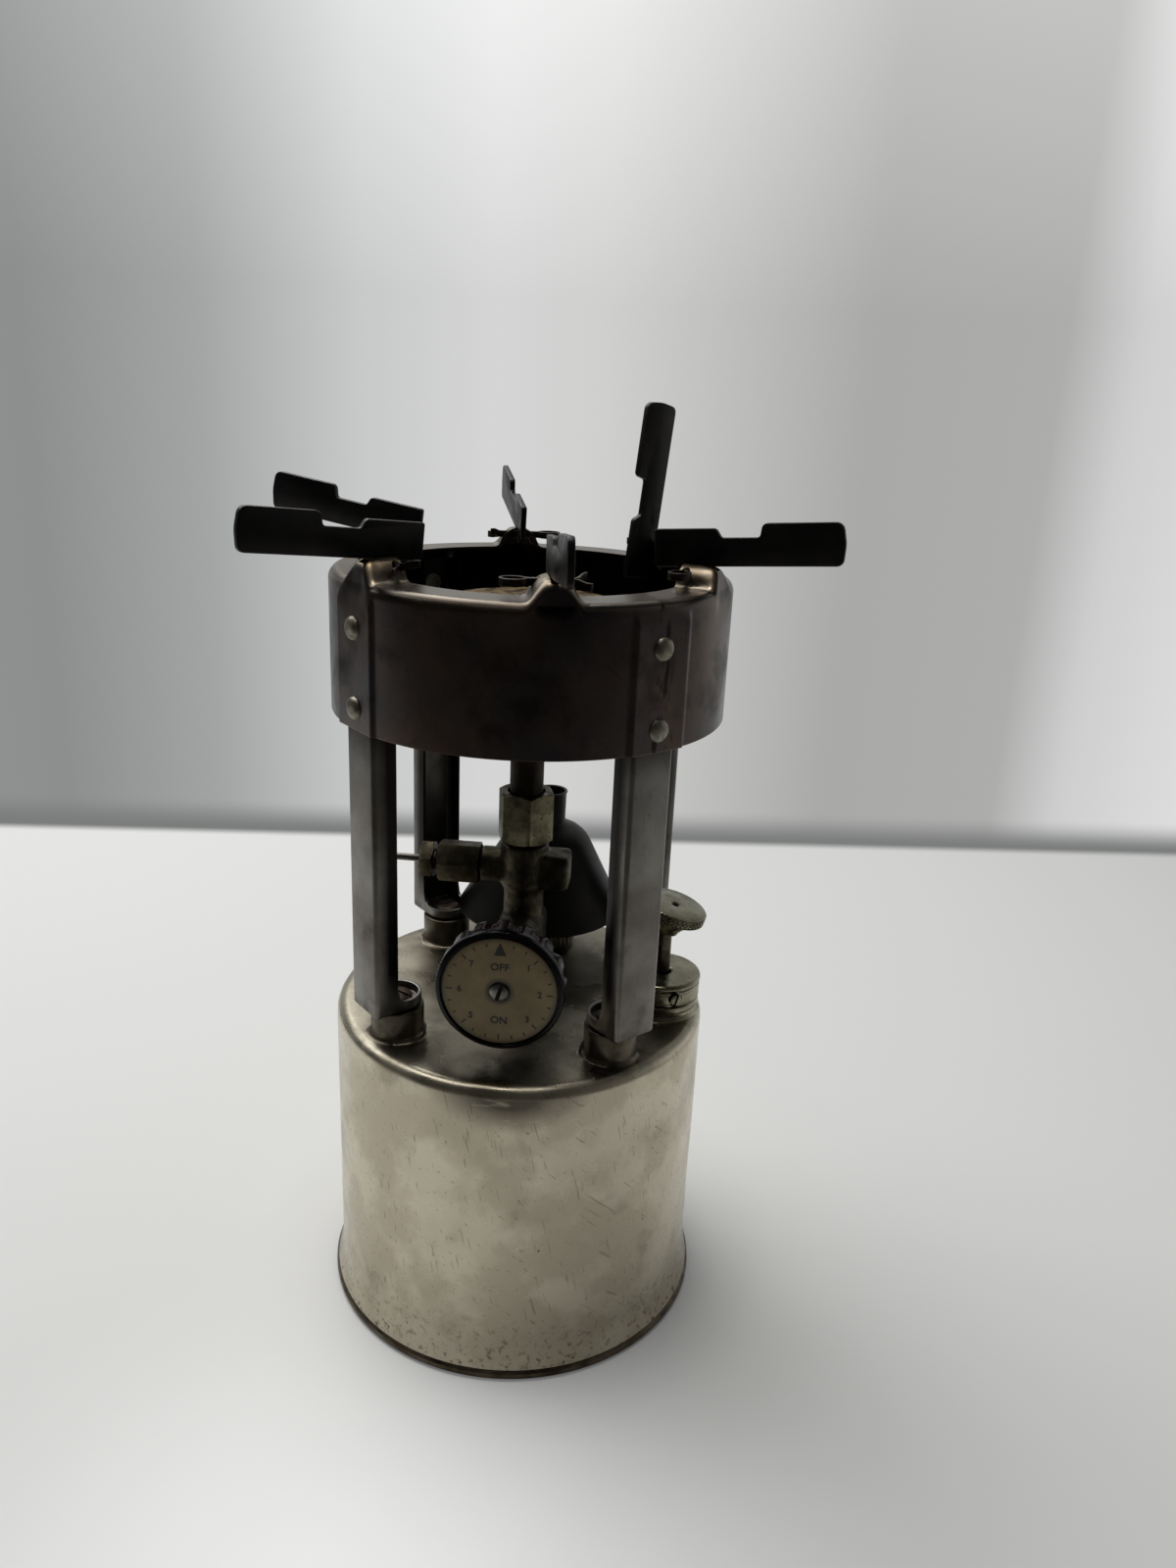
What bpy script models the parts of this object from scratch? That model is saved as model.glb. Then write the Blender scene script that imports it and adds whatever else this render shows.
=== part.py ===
"""A single burner camp stove: a round fuel tank with a hand pump and a valve, four legs, a burner case and
six folding grate arms. Metres, +Z up. The origin is the middle of the tank's foot, on the ground. The valve
knob faces -Y and the pump stands at +X. A bearing is counted in degrees from -Y towards +X."""

import math

import bmesh
import bpy
from mathutils import Matrix, Vector

# Clearances and working allowances
GAP = 0.0003
OVERRUN = 0.0020
WELD = 0.000002
SMOOTH_ANGLE = math.radians(34)

# Fuel tank
TANK_RADIUS = 0.0488
TANK_TOP = 0.0843
TANK_WALL = 0.0008
TANK_SHOULDER = 0.0030
TANK_FLARE_HEIGHT = 0.0120
TANK_FLARE = 0.0014
BEAD_OUT = 0.0020
BEAD_HEIGHT = 0.0030
BEAD_WIDTH = 0.0030
BASE_WALL = 0.0008
BASE_RISE = 0.0040
BASE_SLOPE = 0.0030
PICKUP_RADIUS = 0.0024
PICKUP_BORE = 0.0012
PICKUP_FLOOR_GAP = 0.0030

# Leg posts, legs and foot screws
LEG_BEARINGS = {"left_front": -45, "right_front": 45, "right_rear": 135, "left_rear": -135}
POST_INSET = 0.0092
POST_RADIUS = 0.0066
POST_HEIGHT = 0.0076
POST_EDGE = 0.0004
POST_SOLDER = 0.0009
LEG_INSET = 0.0016
LEG_WIDTH = 0.0120
LEG_DEPTH = 0.0062
LEG_SHEET = 0.0008
LEG_CORNER = 0.0007
LEG_LIP_HEIGHT = 0.0030
LEG_HEEL = 0.0009
SCREW_SHANK = 0.0016
SCREW_LENGTH = 0.0070
SCREW_HEAD_RADIUS = 0.0037
SCREW_HEAD_HEIGHT = 0.0018
SCREW_SLOT_WIDTH = 0.0008
SCREW_SLOT_DEPTH = 0.0008

# Burner case
CASE_SHEET = 0.0008
CASE_HEIGHT = 0.0333
CASE_FILLET = 0.0025
CASE_RIM = 0.0102
FLAT_RISE = 0.0001
FLAT_WIDTH = 0.0146
FLAT_CREASE = 0.0006
FLAT_DROP = 0.0040
EAR_BEARINGS = (15, 75, 135, 195, 255, 315)
EAR_HALF_WIDTH = 0.0068
EAR_INNER_RISE = 0.0050
EAR_OUTER_RISE = 0.0045
EAR_ARCH_RADIUS = 0.0050
EAR_SLOT_WIDTH = 0.0022
EAR_COLUMN_SHARES = (0, 0.36, 0.68, 1)
TOP_RING_SHARES = (0.45, 1)
ROUND_SHARE = 0.5
DOME_RADIUS_SHARE = 0.7
DOME_HEIGHT_SHARE = 0.7
FUNNEL_CURVE_SHARES = ((0.35, 0.22), (0.75, 0.52))
RIVET_RISE = 0.0050
RIVET_PITCH = 0.0181
RIVET_SHANK = 0.0014
RIVET_HEAD_RADIUS = 0.0030
RIVET_HEAD_HEIGHT = 0.0014
RIVET_TAIL_RADIUS = 0.0025
RIVET_TAIL_HEIGHT = 0.0007

# Grate arms and their split pins
PIN_INSET = 0.0013
PIN_RISE = 0.0032
PIN_WIRE = 0.0004
PIN_SPREAD = 0.00052
PIN_EAR_SIDE = 0.0060
PIN_EYE_CENTRE = 0.0078
PIN_EYE_RADIUS = 0.0013
PIN_TAIL_SIDE = 0.0056
PIN_TAIL_END = 0.0090
PIN_TAIL_RISE = 0.0016
ARM_TILT = 5.4
ARM_LOOSE_TILT = 6.9
ARM_RAISED = 82.8
ARM_THICKNESS = 0.0016
ARM_TAIL = 0.0082
ARM_REACH = 0.0354
ARM_EDGE_RISE = 0.0010
ARM_HINGE_HEIGHT = 0.0081
ARM_HINGE_LENGTH = 0.0060
ARM_NOTCH_HEIGHT = 0.0063
ARM_NOTCH_FROM = 0.0075
ARM_NOTCH_TO = 0.0158
ARM_OUTER_FROM = 0.0168
ARM_OUTER_HEIGHT = 0.0090
ARM_END_SAG = 0.0012
ARM_CORNER = 0.0016
ARM_LOBE_RADIUS = 0.0026

# Burner
BRACKET_RISE = 0.0053
BRACKET_SHEET = 0.0010
BRACKET_WIDTH = 0.0200
BRACKET_TAB = 0.0090
MIXER_RADIUS = 0.0075
MIXER_WALL = 0.0010
MIXER_DROP = 0.0100
MIXER_CLEAR = 0.0019
MIXER_FLANGE_RADIUS = 0.0130
MIXER_FLANGE = 0.0010
BOWL_BASE_HEIGHT = 0.0016
BOWL_RADIUS = 0.0225
BOWL_KNEE = 0.0084
BOWL_HEIGHT = 0.0116
BOWL_WALL = 0.0012
BOWL_BOSS_RADIUS = 0.0030
BOWL_BOSS_TOP = 0.0080
BOWL_BAR_WIDTH = 0.0030
BOWL_BAR_HEIGHT = 0.0022
RING_COUNT = 3
RING_THICKNESS = 0.0012
RING_INSET = 0.0005
RING_SPACE = 0.0004
RING_COMB = 0.0020
RING_BAND = 0.0045
CAP_INSET = 0.0008
CAP_THICKNESS = 0.0009
CAP_DISH = 0.0007
CAP_SCREW_SHANK = 0.0015
CAP_SCREW_HEAD = 0.0034
CAP_SCREW_HEAD_HEIGHT = 0.0012

# Valve
VALVE_TURN = 1.3
VALVE_COLUMN_RADIUS = 0.0062
VALVE_FLANGE_ACROSS = 0.0150
VALVE_FLANGE_HEIGHT = 0.0034
VALVE_BLOCK_RISE = 0.0132
VALVE_BLOCK_HEIGHT = 0.0125
VALVE_BLOCK_WIDTH = 0.0126
VALVE_BLOCK_FRONT = 0.0078
VALVE_BLOCK_BACK = 0.0060
VALVE_NECK_RADIUS = 0.0050
VALVE_NECK_LENGTH = 0.0058
VALVE_HEAD_RADIUS = 0.0062
VALVE_HEAD_HEIGHT = 0.0117
VALVE_SPIGOT_RADIUS = 0.0048
VALVE_SPIGOT_HEIGHT = 0.0062
VALVE_BORE = 0.0018
CLEANER_RISE = 0.0047
VALVE_ARM_RADIUS = 0.00466
VALVE_ARM_LEFT = 0.0113
VALVE_ARM_RIGHT = 0.0118
VALVE_ARM_EDGE = 0.0008
STEM_RISE = 0.0065
STEM_RADIUS = 0.0016
STEM_TIP = 0.0020
STEM_ENTRY = 0.0039
BONNET_RADIUS = 0.0056
BONNET_LENGTH = 0.0060
PACKING_ACROSS = 0.0105
PACKING_LENGTH = 0.0075
NUT_CHAMFER = 0.0009

# Generator
UNION_ACROSS = 0.0127
UNION_LENGTH = 0.0130
UNION_GAP = 0.0010
UNION_CORNER_BEARING = 17
UNION_CHAMFER = 0.0013
GENERATOR_RADIUS = 0.0043
GENERATOR_BORE = 0.0017
GENERATOR_FLANGE = 0.0015
GENERATOR_LENGTH = 0.0190
TIP_ACROSS = 0.0064
TIP_HEIGHT = 0.0048
TIP_BORE = 0.0007
NEEDLE_RADIUS = 0.0003
NEEDLE_LIFT = 0.0012

# Tip cleaner
CLEANER_GLAND_ACROSS = 0.0098
CLEANER_GLAND_LENGTH = 0.0108
CLEANER_NIPPLE_RADIUS = 0.0025
CLEANER_NIPPLE_LENGTH = 0.0026
CLEANER_NUT_GAP = 0.0014
CLEANER_NUT_LENGTH = 0.0033
CLEANER_NUT_ACROSS = 0.0090
CLEANER_NUT_FACE = 0.0013
CLEANER_ROD_RADIUS = 0.00095
CLEANER_ROD_START = 0.0012
CLEANER_ROD_LENGTH = 0.0161
CLEANER_CRANK_DROP = 0.0140
CLEANER_CRANK_BEND = 0.0030

# Knob
KNOB_RADIUS = 0.0155
KNOB_LENGTH = 0.0100
KNOB_CLEAR = 0.0065
KNOB_RIM = 0.0021
KNOB_FLUTES = 16
KNOB_FLUTE_DEPTH = 0.0011
KNOB_DISC_RADIUS = 0.0139
KNOB_DISC_THICKNESS = 0.0005
KNOB_DISC_SINK = 0.0002
KNOB_SCREW_SHANK = 0.0011
KNOB_SCREW_HEAD = 0.0025
KNOB_SCREW_HEAD_HEIGHT = 0.0009

# Pump
PUMP_INSET = 0.0112
BARREL_RADIUS = 0.0085
BARREL_WALL = 0.0008
BARREL_CLEAR = 0.0092
BARREL_RISE = 0.0040
BARREL_COLLAR = 0.0013
BARREL_COLLAR_HEIGHT = 0.0020
CHECK_SHANK = 0.0025
CHECK_HEAD = 0.0045
CHECK_HEAD_HEIGHT = 0.0012
CHECK_DROP = 0.0050
CHECK_BORE = 0.0013
AIR_STEM_RADIUS = 0.0010
AIR_STEM_DROP = 0.0010
AIR_STEM_RISE = 0.0037
PUMP_CAP_OUT = 0.00185
PUMP_CAP_HEIGHT = 0.0077
PUMP_CAP_SHEET = 0.0009
PUMP_CAP_ROLL = 0.0011
PUMP_CAP_SCREW_HEIGHT = 0.0018
PUMP_CAP_SCREW_SHANK = 0.0009
PUMP_CAP_SCREW_HEAD = 0.0021
PUMP_CAP_SCREW_HEAD_HEIGHT = 0.0010
PUMP_ROD_RADIUS = 0.0021
PUMP_ROD_BORE = 0.00135
PUMP_ROD_CLEAR = 0.0160
PUMP_KNOB_RISE = 0.0177
PUMP_KNOB_THICKNESS = 0.0025
PUMP_KNOB_RADIUS = 0.0091
PUMP_KNOB_EDGE = 0.0004
PUMP_KNOB_FLARE_RADIUS = 0.0046
PUMP_KNOB_FLARE_NECK = 0.0030
PUMP_KNOB_FLARE = 0.0040
PUMP_AIR_HOLE = 0.0010
LEATHER_THICKNESS = 0.0011
LEATHER_SKIRT = 0.0050
LEATHER_SHOULDER = 0.0006
LEATHER_NUT_RADIUS = 0.0042
LEATHER_NUT_HEIGHT = 0.0018

# Filler and funnel, both behind the valve
FILLER_OUTER = 0.0074
FILLER_WALL = 0.0012
FILLER_RISE = 0.0040
FILLER_DROP = 0.0026
FILLER_SOLDER = 0.0010
FILLER_CAP_CLEAR = 0.0008
FILLER_CAP_WALL = 0.0022
FILLER_CAP_SKIRT = 0.0046
FILLER_CAP_TOP = 0.0014
FILLER_CAP_EDGE = 0.0007
GASKET_THICKNESS = 0.0012
FUNNEL_MOUTH = 0.0233
FUNNEL_CLEAR = 0.0017
FUNNEL_SHEET = 0.0006
FUNNEL_RIM = 0.0008
FUNNEL_HALF_ANGLE = math.radians(28)
FUNNEL_CONE = 0.0218
FUNNEL_SHOULDER = 0.0046
FUNNEL_SPOUT_ROOT = 0.0049
FUNNEL_SPOUT_END = 0.0044
FUNNEL_HEIGHT = 0.0355

# Numbers of sides
TANK_SIDES = 48
ROUND_SIDES = 24
SMALL_SIDES = 12
RIVET_SIDES = 8
NUT_SIDES = 18
CUTTER_SIDES = 10
CASE_FILL_ANGLE = math.radians(8.5)

# Places worked out from the sizes above
TANK_FOOT_RADIUS = TANK_RADIUS + TANK_FLARE
BEAD_RADIUS = TANK_RADIUS + BEAD_OUT
BASE_PLATE = BASE_RISE + BASE_WALL
LEG_OUTSIDE = TANK_RADIUS - LEG_INSET
POST_CENTRE = LEG_OUTSIDE - POST_INSET
FLAT_DISTANCE = LEG_OUTSIDE + GAP + CASE_SHEET
CASE_RADIUS = FLAT_DISTANCE - FLAT_RISE
CASE_MOUTH = CASE_RADIUS - CASE_RIM
EAR_SLOT_END = CASE_RADIUS - EAR_SLOT_WIDTH
PIN_CENTRE = CASE_MOUTH + PIN_INSET
RING_RADIUS = BOWL_RADIUS - RING_INSET
RING_ROOT = RING_RADIUS - RING_COMB
RING_INNER = RING_RADIUS - RING_BAND
CAP_RADIUS = RING_RADIUS - CAP_INSET
VALVE_BLOCK_FOOT = TANK_TOP + VALVE_BLOCK_RISE
VALVE_BLOCK_TOP = VALVE_BLOCK_FOOT + VALVE_BLOCK_HEIGHT
VALVE_HEAD_FOOT = VALVE_BLOCK_TOP + VALVE_NECK_LENGTH
VALVE_TOP = VALVE_HEAD_FOOT + VALVE_HEAD_HEIGHT
ARM_AXIS_HEIGHT = VALVE_HEAD_FOOT + CLEANER_RISE
STEM_HEIGHT = VALVE_BLOCK_FOOT + STEM_RISE
SPIGOT_TOP = VALVE_TOP + VALVE_SPIGOT_HEIGHT
GENERATOR_FOOT = SPIGOT_TOP + GAP
GENERATOR_TOP = GENERATOR_FOOT + GENERATOR_LENGTH
TIP_TOP = GENERATOR_TOP + GAP + TIP_HEIGHT
MIXER_FOOT = TIP_TOP + MIXER_CLEAR
BRACKET_HEIGHT = MIXER_FOOT + MIXER_DROP
CASE_FOOT = BRACKET_HEIGHT - BRACKET_RISE
CASE_TOP = CASE_FOOT + CASE_HEIGHT
FLAT_TOP = CASE_TOP - FLAT_DROP
LEG_TOP = FLAT_TOP
RIVET_HEIGHTS = (CASE_FOOT + RIVET_RISE + RIVET_PITCH, CASE_FOOT + RIVET_RISE)
PIN_HEIGHT = CASE_TOP + PIN_RISE
PUMP_CENTRE = TANK_RADIUS - PUMP_INSET
BARREL_FOOT = BASE_PLATE + BARREL_CLEAR
BARREL_COLLAR_RADIUS = BARREL_RADIUS + BARREL_COLLAR
PUMP_CAP_RADIUS = BARREL_RADIUS + PUMP_CAP_OUT
AIR_STEM_FOOT = BARREL_FOOT - AIR_STEM_DROP
AIR_STEM_TOP = TANK_TOP + AIR_STEM_RISE
PUMP_ROD_FOOT = BARREL_FOOT + PUMP_ROD_CLEAR
FILLER_CENTRE = VALVE_BLOCK_BACK + FUNNEL_CLEAR + FUNNEL_MOUTH
FILLER_BORE = FILLER_OUTER - FILLER_WALL
FILLER_CAP_RADIUS = FILLER_OUTER + FILLER_CAP_CLEAR + FILLER_CAP_WALL
POST_FOOT = TANK_TOP + GAP
POST_TOP = POST_FOOT + POST_HEIGHT
LEG_FOOT = POST_TOP + GAP
LEG_PLATE = LEG_FOOT + LEG_SHEET
LEG_LIP = LEG_FOOT + LEG_LIP_HEIGHT
BRACKET_TOP = BRACKET_HEIGHT + BRACKET_SHEET
MIXER_SEAT = BRACKET_TOP + GAP
BOWL_FOOT = MIXER_SEAT + MIXER_FLANGE + GAP
BOWL_RIM = BOWL_FOOT + BOWL_HEIGHT
RINGS_FOOT = BOWL_RIM + GAP
RINGS_TOP = RINGS_FOOT + RING_COUNT * (RING_THICKNESS + RING_SPACE) - RING_SPACE
CAP_FOOT = RINGS_TOP + GAP
UNION_FOOT = VALVE_TOP + UNION_GAP
UNION_TOP = UNION_FOOT + UNION_LENGTH
SPIGOT_BORE = VALVE_SPIGOT_RADIUS + GAP
CLEANER_GLAND_FROM = VALVE_ARM_LEFT + GAP
CLEANER_GLAND_END = CLEANER_GLAND_FROM + CLEANER_GLAND_LENGTH
CLEANER_NIPPLE_END = CLEANER_GLAND_END + CLEANER_NIPPLE_LENGTH
CLEANER_NUT_FROM = CLEANER_GLAND_END + CLEANER_NUT_GAP
CLEANER_NUT_TO = CLEANER_NUT_FROM + CLEANER_NUT_LENGTH
CLEANER_ROD_END = CLEANER_NUT_TO + CLEANER_ROD_LENGTH
CLEANER_ROD_BORE = CLEANER_ROD_RADIUS + GAP
BONNET_END = VALVE_BLOCK_FRONT + BONNET_LENGTH
PACKING_FROM = BONNET_END + GAP
STEM_BORE = STEM_RADIUS + GAP
PACKING_END = PACKING_FROM + PACKING_LENGTH
KNOB_BACK = PACKING_END + KNOB_CLEAR
KNOB_FACE = KNOB_BACK + KNOB_LENGTH
STEM_END = KNOB_BACK + STEM_ENTRY
KNOB_DISC_FACE = KNOB_FACE - KNOB_DISC_SINK
KNOB_RECESS = KNOB_DISC_FACE - KNOB_DISC_THICKNESS - GAP
BARREL_INSIDE = BARREL_RADIUS - BARREL_WALL
BARREL_TOP = TANK_TOP + BARREL_RISE
COLLAR_TOP = TANK_TOP + GAP + BARREL_COLLAR_HEIGHT
PUMP_CAP_TOP = COLLAR_TOP + PUMP_CAP_HEIGHT
PUMP_KNOB_TOP = PUMP_CAP_TOP + PUMP_KNOB_RISE
PUMP_ROD_HOLE = PUMP_ROD_RADIUS + GAP
PUMP_KNOB_FOOT = PUMP_KNOB_TOP - PUMP_KNOB_THICKNESS
LEATHER_RADIUS = BARREL_INSIDE - GAP
LEATHER_NUT_TOP = PUMP_ROD_FOOT + LEATHER_NUT_HEIGHT
LEATHER_TOP = LEATHER_NUT_TOP + GAP + LEATHER_THICKNESS
FILLER_TOP = TANK_TOP + FILLER_RISE
GASKET_FOOT = FILLER_TOP + GAP
CAP_CEILING = GASKET_FOOT + GASKET_THICKNESS + GAP
FUNNEL_FOOT = LEG_LIP + GAP


def hex_colour(code):
    """Linear red, green, blue and alpha of an sRGB colour written as six hex digits."""
    channels = [int(code[start : start + 2], 16) / 255 for start in (0, 2, 4)]
    linear = [c / 12.92 if c <= 0.04045 else ((c + 0.055) / 1.055) ** 2.4 for c in channels]
    return (*linear, 1)


def make_finish(name, code, roughness, metallic):
    """A Principled material."""
    finish = bpy.data.materials.new(name)
    finish.use_nodes = True
    shader = finish.node_tree.nodes["Principled BSDF"]
    shader.inputs["Base Color"].default_value = hex_colour(code)
    shader.inputs["Roughness"].default_value = roughness
    shader.inputs["Metallic"].default_value = metallic
    finish.diffuse_color = hex_colour(code)
    return finish


def on_bearing(degrees, distance, height):
    """The point at that distance from the Z axis on a bearing."""
    angle = math.radians(degrees)
    return Vector((distance * math.sin(angle), -distance * math.cos(angle), height))


def arc(centre, radius, start, end, steps):
    """Points of an arc in a flat outline, from one angle to another in degrees."""
    points = []
    for step in range(steps + 1):
        angle = math.radians(start + (end - start) * step / steps)
        points.append((centre[0] + radius * math.cos(angle), centre[1] + radius * math.sin(angle)))
    return points


def walled(outside, wall):
    """Closed outline of a sheet whose outer side is the given line and whose wall lies on its right."""
    normals = []
    for (x0, z0), (x1, z1) in zip(outside, outside[1:]):
        length = math.hypot(x1 - x0, z1 - z0)
        normals.append(((z1 - z0) / length, (x0 - x1) / length))
    inside = []
    for index, (x, z) in enumerate(outside):
        before = normals[max(index - 1, 0)]
        after = normals[min(index, len(normals) - 1)]
        share = 1 + before[0] * after[0] + before[1] * after[1]
        inside.append((x + wall * (before[0] + after[0]) / share, z + wall * (before[1] + after[1]) / share))
    return outside + inside[::-1]


def turn(outline, sides, bm=None):
    """Spin an outline of (radius, height) points about Z. A first point off the axis makes it a ring."""
    bm = bm or bmesh.new()
    verts = [bm.verts.new((radius, 0, height)) for radius, height in outline]
    pairs = list(zip(verts, verts[1:]))
    if outline[0][0] > 0:
        pairs.append((verts[-1], verts[0]))
    edges = [bm.edges.new(pair) for pair in pairs]
    bmesh.ops.spin(
        bm, geom=verts + edges, cent=(0, 0, 0), axis=(0, 0, 1), angle=2 * math.pi, steps=sides, use_merge=True
    )
    bmesh.ops.remove_doubles(bm, verts=bm.verts, dist=WELD)
    return bm


def loft(rows, sides, closed=True):
    """Join rows round Z. A row is (radius at an angle, height). Closed joins the last row to the first."""
    bm = bmesh.new()
    loops = []
    for radius_at, height in rows:
        loop = []
        for side in range(sides):
            angle = 2 * math.pi * side / sides
            radius = radius_at(angle)
            loop.append(bm.verts.new((radius * math.cos(angle), radius * math.sin(angle), height)))
        loops.append(loop)
    joins = list(zip(loops, loops[1:]))
    if closed:
        joins.append((loops[-1], loops[0]))
    else:
        bm.faces.new(loops[0])
        bm.faces.new(loops[-1])
    for lower, upper in joins:
        for side in range(sides):
            following = (side + 1) % sides
            bm.faces.new((lower[side], lower[following], upper[following], upper[side]))
    return bm


def round_row(radius, height):
    """A loft row of one radius."""
    return (lambda angle: radius, height)


def hex_radius(across):
    """Radius of a hexagon with that width across its flats and a corner at +X, as a function of the angle."""

    def radius_at(angle):
        turned = angle % (math.pi / 3) - math.pi / 6
        return across / 2 / math.cos(turned)

    return radius_at


def nut(across, low, high, chamfer, bores):
    """A hexagon nut with chamfered ends. Bores are (radius, height) points from the top of its hole down."""
    corner = across / math.sqrt(3)
    face = corner - chamfer
    hexagon = hex_radius(across)

    def cut_row(limit, height):
        return (lambda angle: min(hexagon(angle), limit), height)

    slope = chamfer / 2
    rows = [
        cut_row(face, low),
        cut_row(corner, low + slope),
        cut_row(corner, high - slope),
        cut_row(face, high),
    ]
    rows += [round_row(radius, height) for radius, height in bores]
    return loft(rows, NUT_SIDES)


def box(low, high, bm=None):
    """A box between two corners."""
    bm = bm or bmesh.new()
    size = [b - a for a, b in zip(low, high)]
    middle = [(a + b) / 2 for a, b in zip(low, high)]
    scale = Matrix.Diagonal((*size, 1))
    bmesh.ops.create_cube(bm, size=1, matrix=Matrix.Translation(middle) @ scale)
    return bm


def rod(start, end, radius, sides, bm=None):
    """A cylinder from one point to another."""
    bm = bm or bmesh.new()
    start, end = Vector(start), Vector(end)
    line = end - start
    facing = line.to_track_quat("Z", "Y").to_matrix().to_4x4()
    bmesh.ops.create_cone(
        bm,
        cap_ends=True,
        segments=sides,
        radius1=radius,
        radius2=radius,
        depth=line.length,
        matrix=Matrix.Translation((start + end) / 2) @ facing,
    )
    return bm


def slab(outline, thickness):
    """An outline of (outward, up) points as a plate across X, outward along -Y."""
    bm = bmesh.new()
    verts = [bm.verts.new((-thickness / 2, -outward, up)) for outward, up in outline]
    face = bm.faces.new(verts)
    extruded = bmesh.ops.extrude_face_region(bm, geom=[face])
    moved = [item for item in extruded["geom"] if isinstance(item, bmesh.types.BMVert)]
    bmesh.ops.translate(bm, vec=(thickness, 0, 0), verts=moved)
    return bm


def copies(bm, matrices):
    """The same solid at each of several places, as one mesh."""
    mesh = bpy.data.meshes.new("pattern")
    bm.to_mesh(mesh)
    bm.free()
    joined = bmesh.new()
    for matrix in matrices:
        placed = mesh.copy()
        placed.transform(matrix)
        joined.from_mesh(placed)
        bpy.data.meshes.remove(placed)
    bpy.data.meshes.remove(mesh)
    return joined


def link(name, data, parent=None, location=(0, 0, 0), rotation=(0, 0, 0)):
    """An object in the scene, placed under its parent."""
    thing = bpy.data.objects.new(name, data)
    bpy.context.scene.collection.objects.link(thing)
    thing.parent = parent
    thing.location = location
    thing.rotation_euler = rotation
    return thing


def solid(name, bm, finish, parent=None, location=(0, 0, 0), rotation=(0, 0, 0)):
    """A named piece from a mesh, with outward faces and smooth round sides."""
    bmesh.ops.recalc_face_normals(bm, faces=bm.faces)
    mesh = bpy.data.meshes.new(name)
    bm.to_mesh(mesh)
    bm.free()
    mesh.materials.append(finish)
    mesh.shade_smooth()
    mesh.set_sharp_from_angle(angle=SMOOTH_ANGLE)
    return link(name, mesh, parent, location, rotation)


def cutter(name, bm, parent=None, location=(0, 0, 0), rotation=(0, 0, 0)):
    """A helper solid that other pieces are cut by or joined with."""
    bmesh.ops.recalc_face_normals(bm, faces=bm.faces)
    mesh = bpy.data.meshes.new(name)
    bm.to_mesh(mesh)
    bm.free()
    helper = link(name, mesh, parent, location, rotation)
    helper.hide_render = True
    helper.display_type = "WIRE"
    return helper


def combine(piece, helper, operation="DIFFERENCE"):
    """Cut a piece by a helper, or join the helper to it."""
    boolean = piece.modifiers.new(helper.name, "BOOLEAN")
    boolean.operation = operation
    boolean.solver = "EXACT"
    boolean.object = helper


def wire(name, run, radius, sides_level, finish, parent=None, location=(0, 0, 0), rotation=(0, 0, 0)):
    """Round wire along a run of points."""
    curve = bpy.data.curves.new(name, "CURVE")
    curve.dimensions = "3D"
    curve.bevel_depth = radius
    curve.bevel_resolution = sides_level
    curve.use_fill_caps = True
    spline = curve.splines.new("POLY")
    spline.points.add(len(run) - 1)
    for point, place in zip(spline.points, run):
        point.co = (*place, 1)
    curve.materials.append(finish)
    return link(name, curve, parent, location, rotation)


def bearing_matrix(degrees):
    """Turns a shape made for bearing 0 to another bearing."""
    return Matrix.Rotation(math.radians(degrees), 4, "Z")


def make_tank(finishes):
    """The tank's shell, its base and the fuel pick-up tube."""
    shoulder = (TANK_RADIUS - TANK_SHOULDER, TANK_TOP - TANK_SHOULDER)
    outside = [(0, TANK_TOP)] + arc(shoulder, TANK_SHOULDER, 90, 0, 3)
    flare_steps = 2
    seam = BEAD_HEIGHT + GAP
    for step in range(flare_steps + 1):
        share = step / flare_steps
        radius = TANK_RADIUS + (TANK_FOOT_RADIUS - TANK_RADIUS) * share**2
        outside.append((radius, TANK_FLARE_HEIGHT + (seam - TANK_FLARE_HEIGHT) * share))
    shell = solid("fuel_tank", turn(walled(outside, TANK_WALL), TANK_SIDES), finishes["nickel"])
    through = TANK_WALL + OVERRUN
    holes = rod((0, 0, TANK_TOP - through), (0, 0, TANK_TOP + OVERRUN), PICKUP_RADIUS + GAP, CUTTER_SIDES)
    pump_hole = on_bearing(90, PUMP_CENTRE, TANK_TOP)
    filler_hole = on_bearing(180, FILLER_CENTRE, TANK_TOP)
    for centre, radius in ((pump_hole, BARREL_RADIUS + GAP), (filler_hole, FILLER_OUTER + GAP)):
        lift = Vector((0, 0, through))
        rod(centre - lift, centre + lift, radius, ROUND_SIDES, holes)
    combine(shell, cutter("tank_top_holes", holes))

    bead = BEAD_HEIGHT / 2
    bead_centre = BEAD_RADIUS - bead
    plate = BASE_PLATE
    slope_out = bead_centre - BEAD_WIDTH / 2
    outline = [(0, plate), (slope_out - BASE_SLOPE, plate), (slope_out - BASE_WALL, BEAD_HEIGHT)]
    outline += arc((bead_centre, bead), bead, 90, -90, 4)
    outline += [(slope_out, 0), (slope_out - BASE_SLOPE, BASE_RISE), (0, BASE_RISE)]
    solid("tank_base", turn(outline, TANK_SIDES), finishes["nickel"])

    foot = plate + PICKUP_FLOOR_GAP
    head = TANK_TOP + GAP + VALVE_FLANGE_HEIGHT
    tube = [(PICKUP_BORE, head), (PICKUP_RADIUS, head), (PICKUP_RADIUS, foot), (PICKUP_BORE, foot)]
    solid("fuel_pickup_tube", turn(tube, SMALL_SIDES), finishes["brass"])


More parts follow.
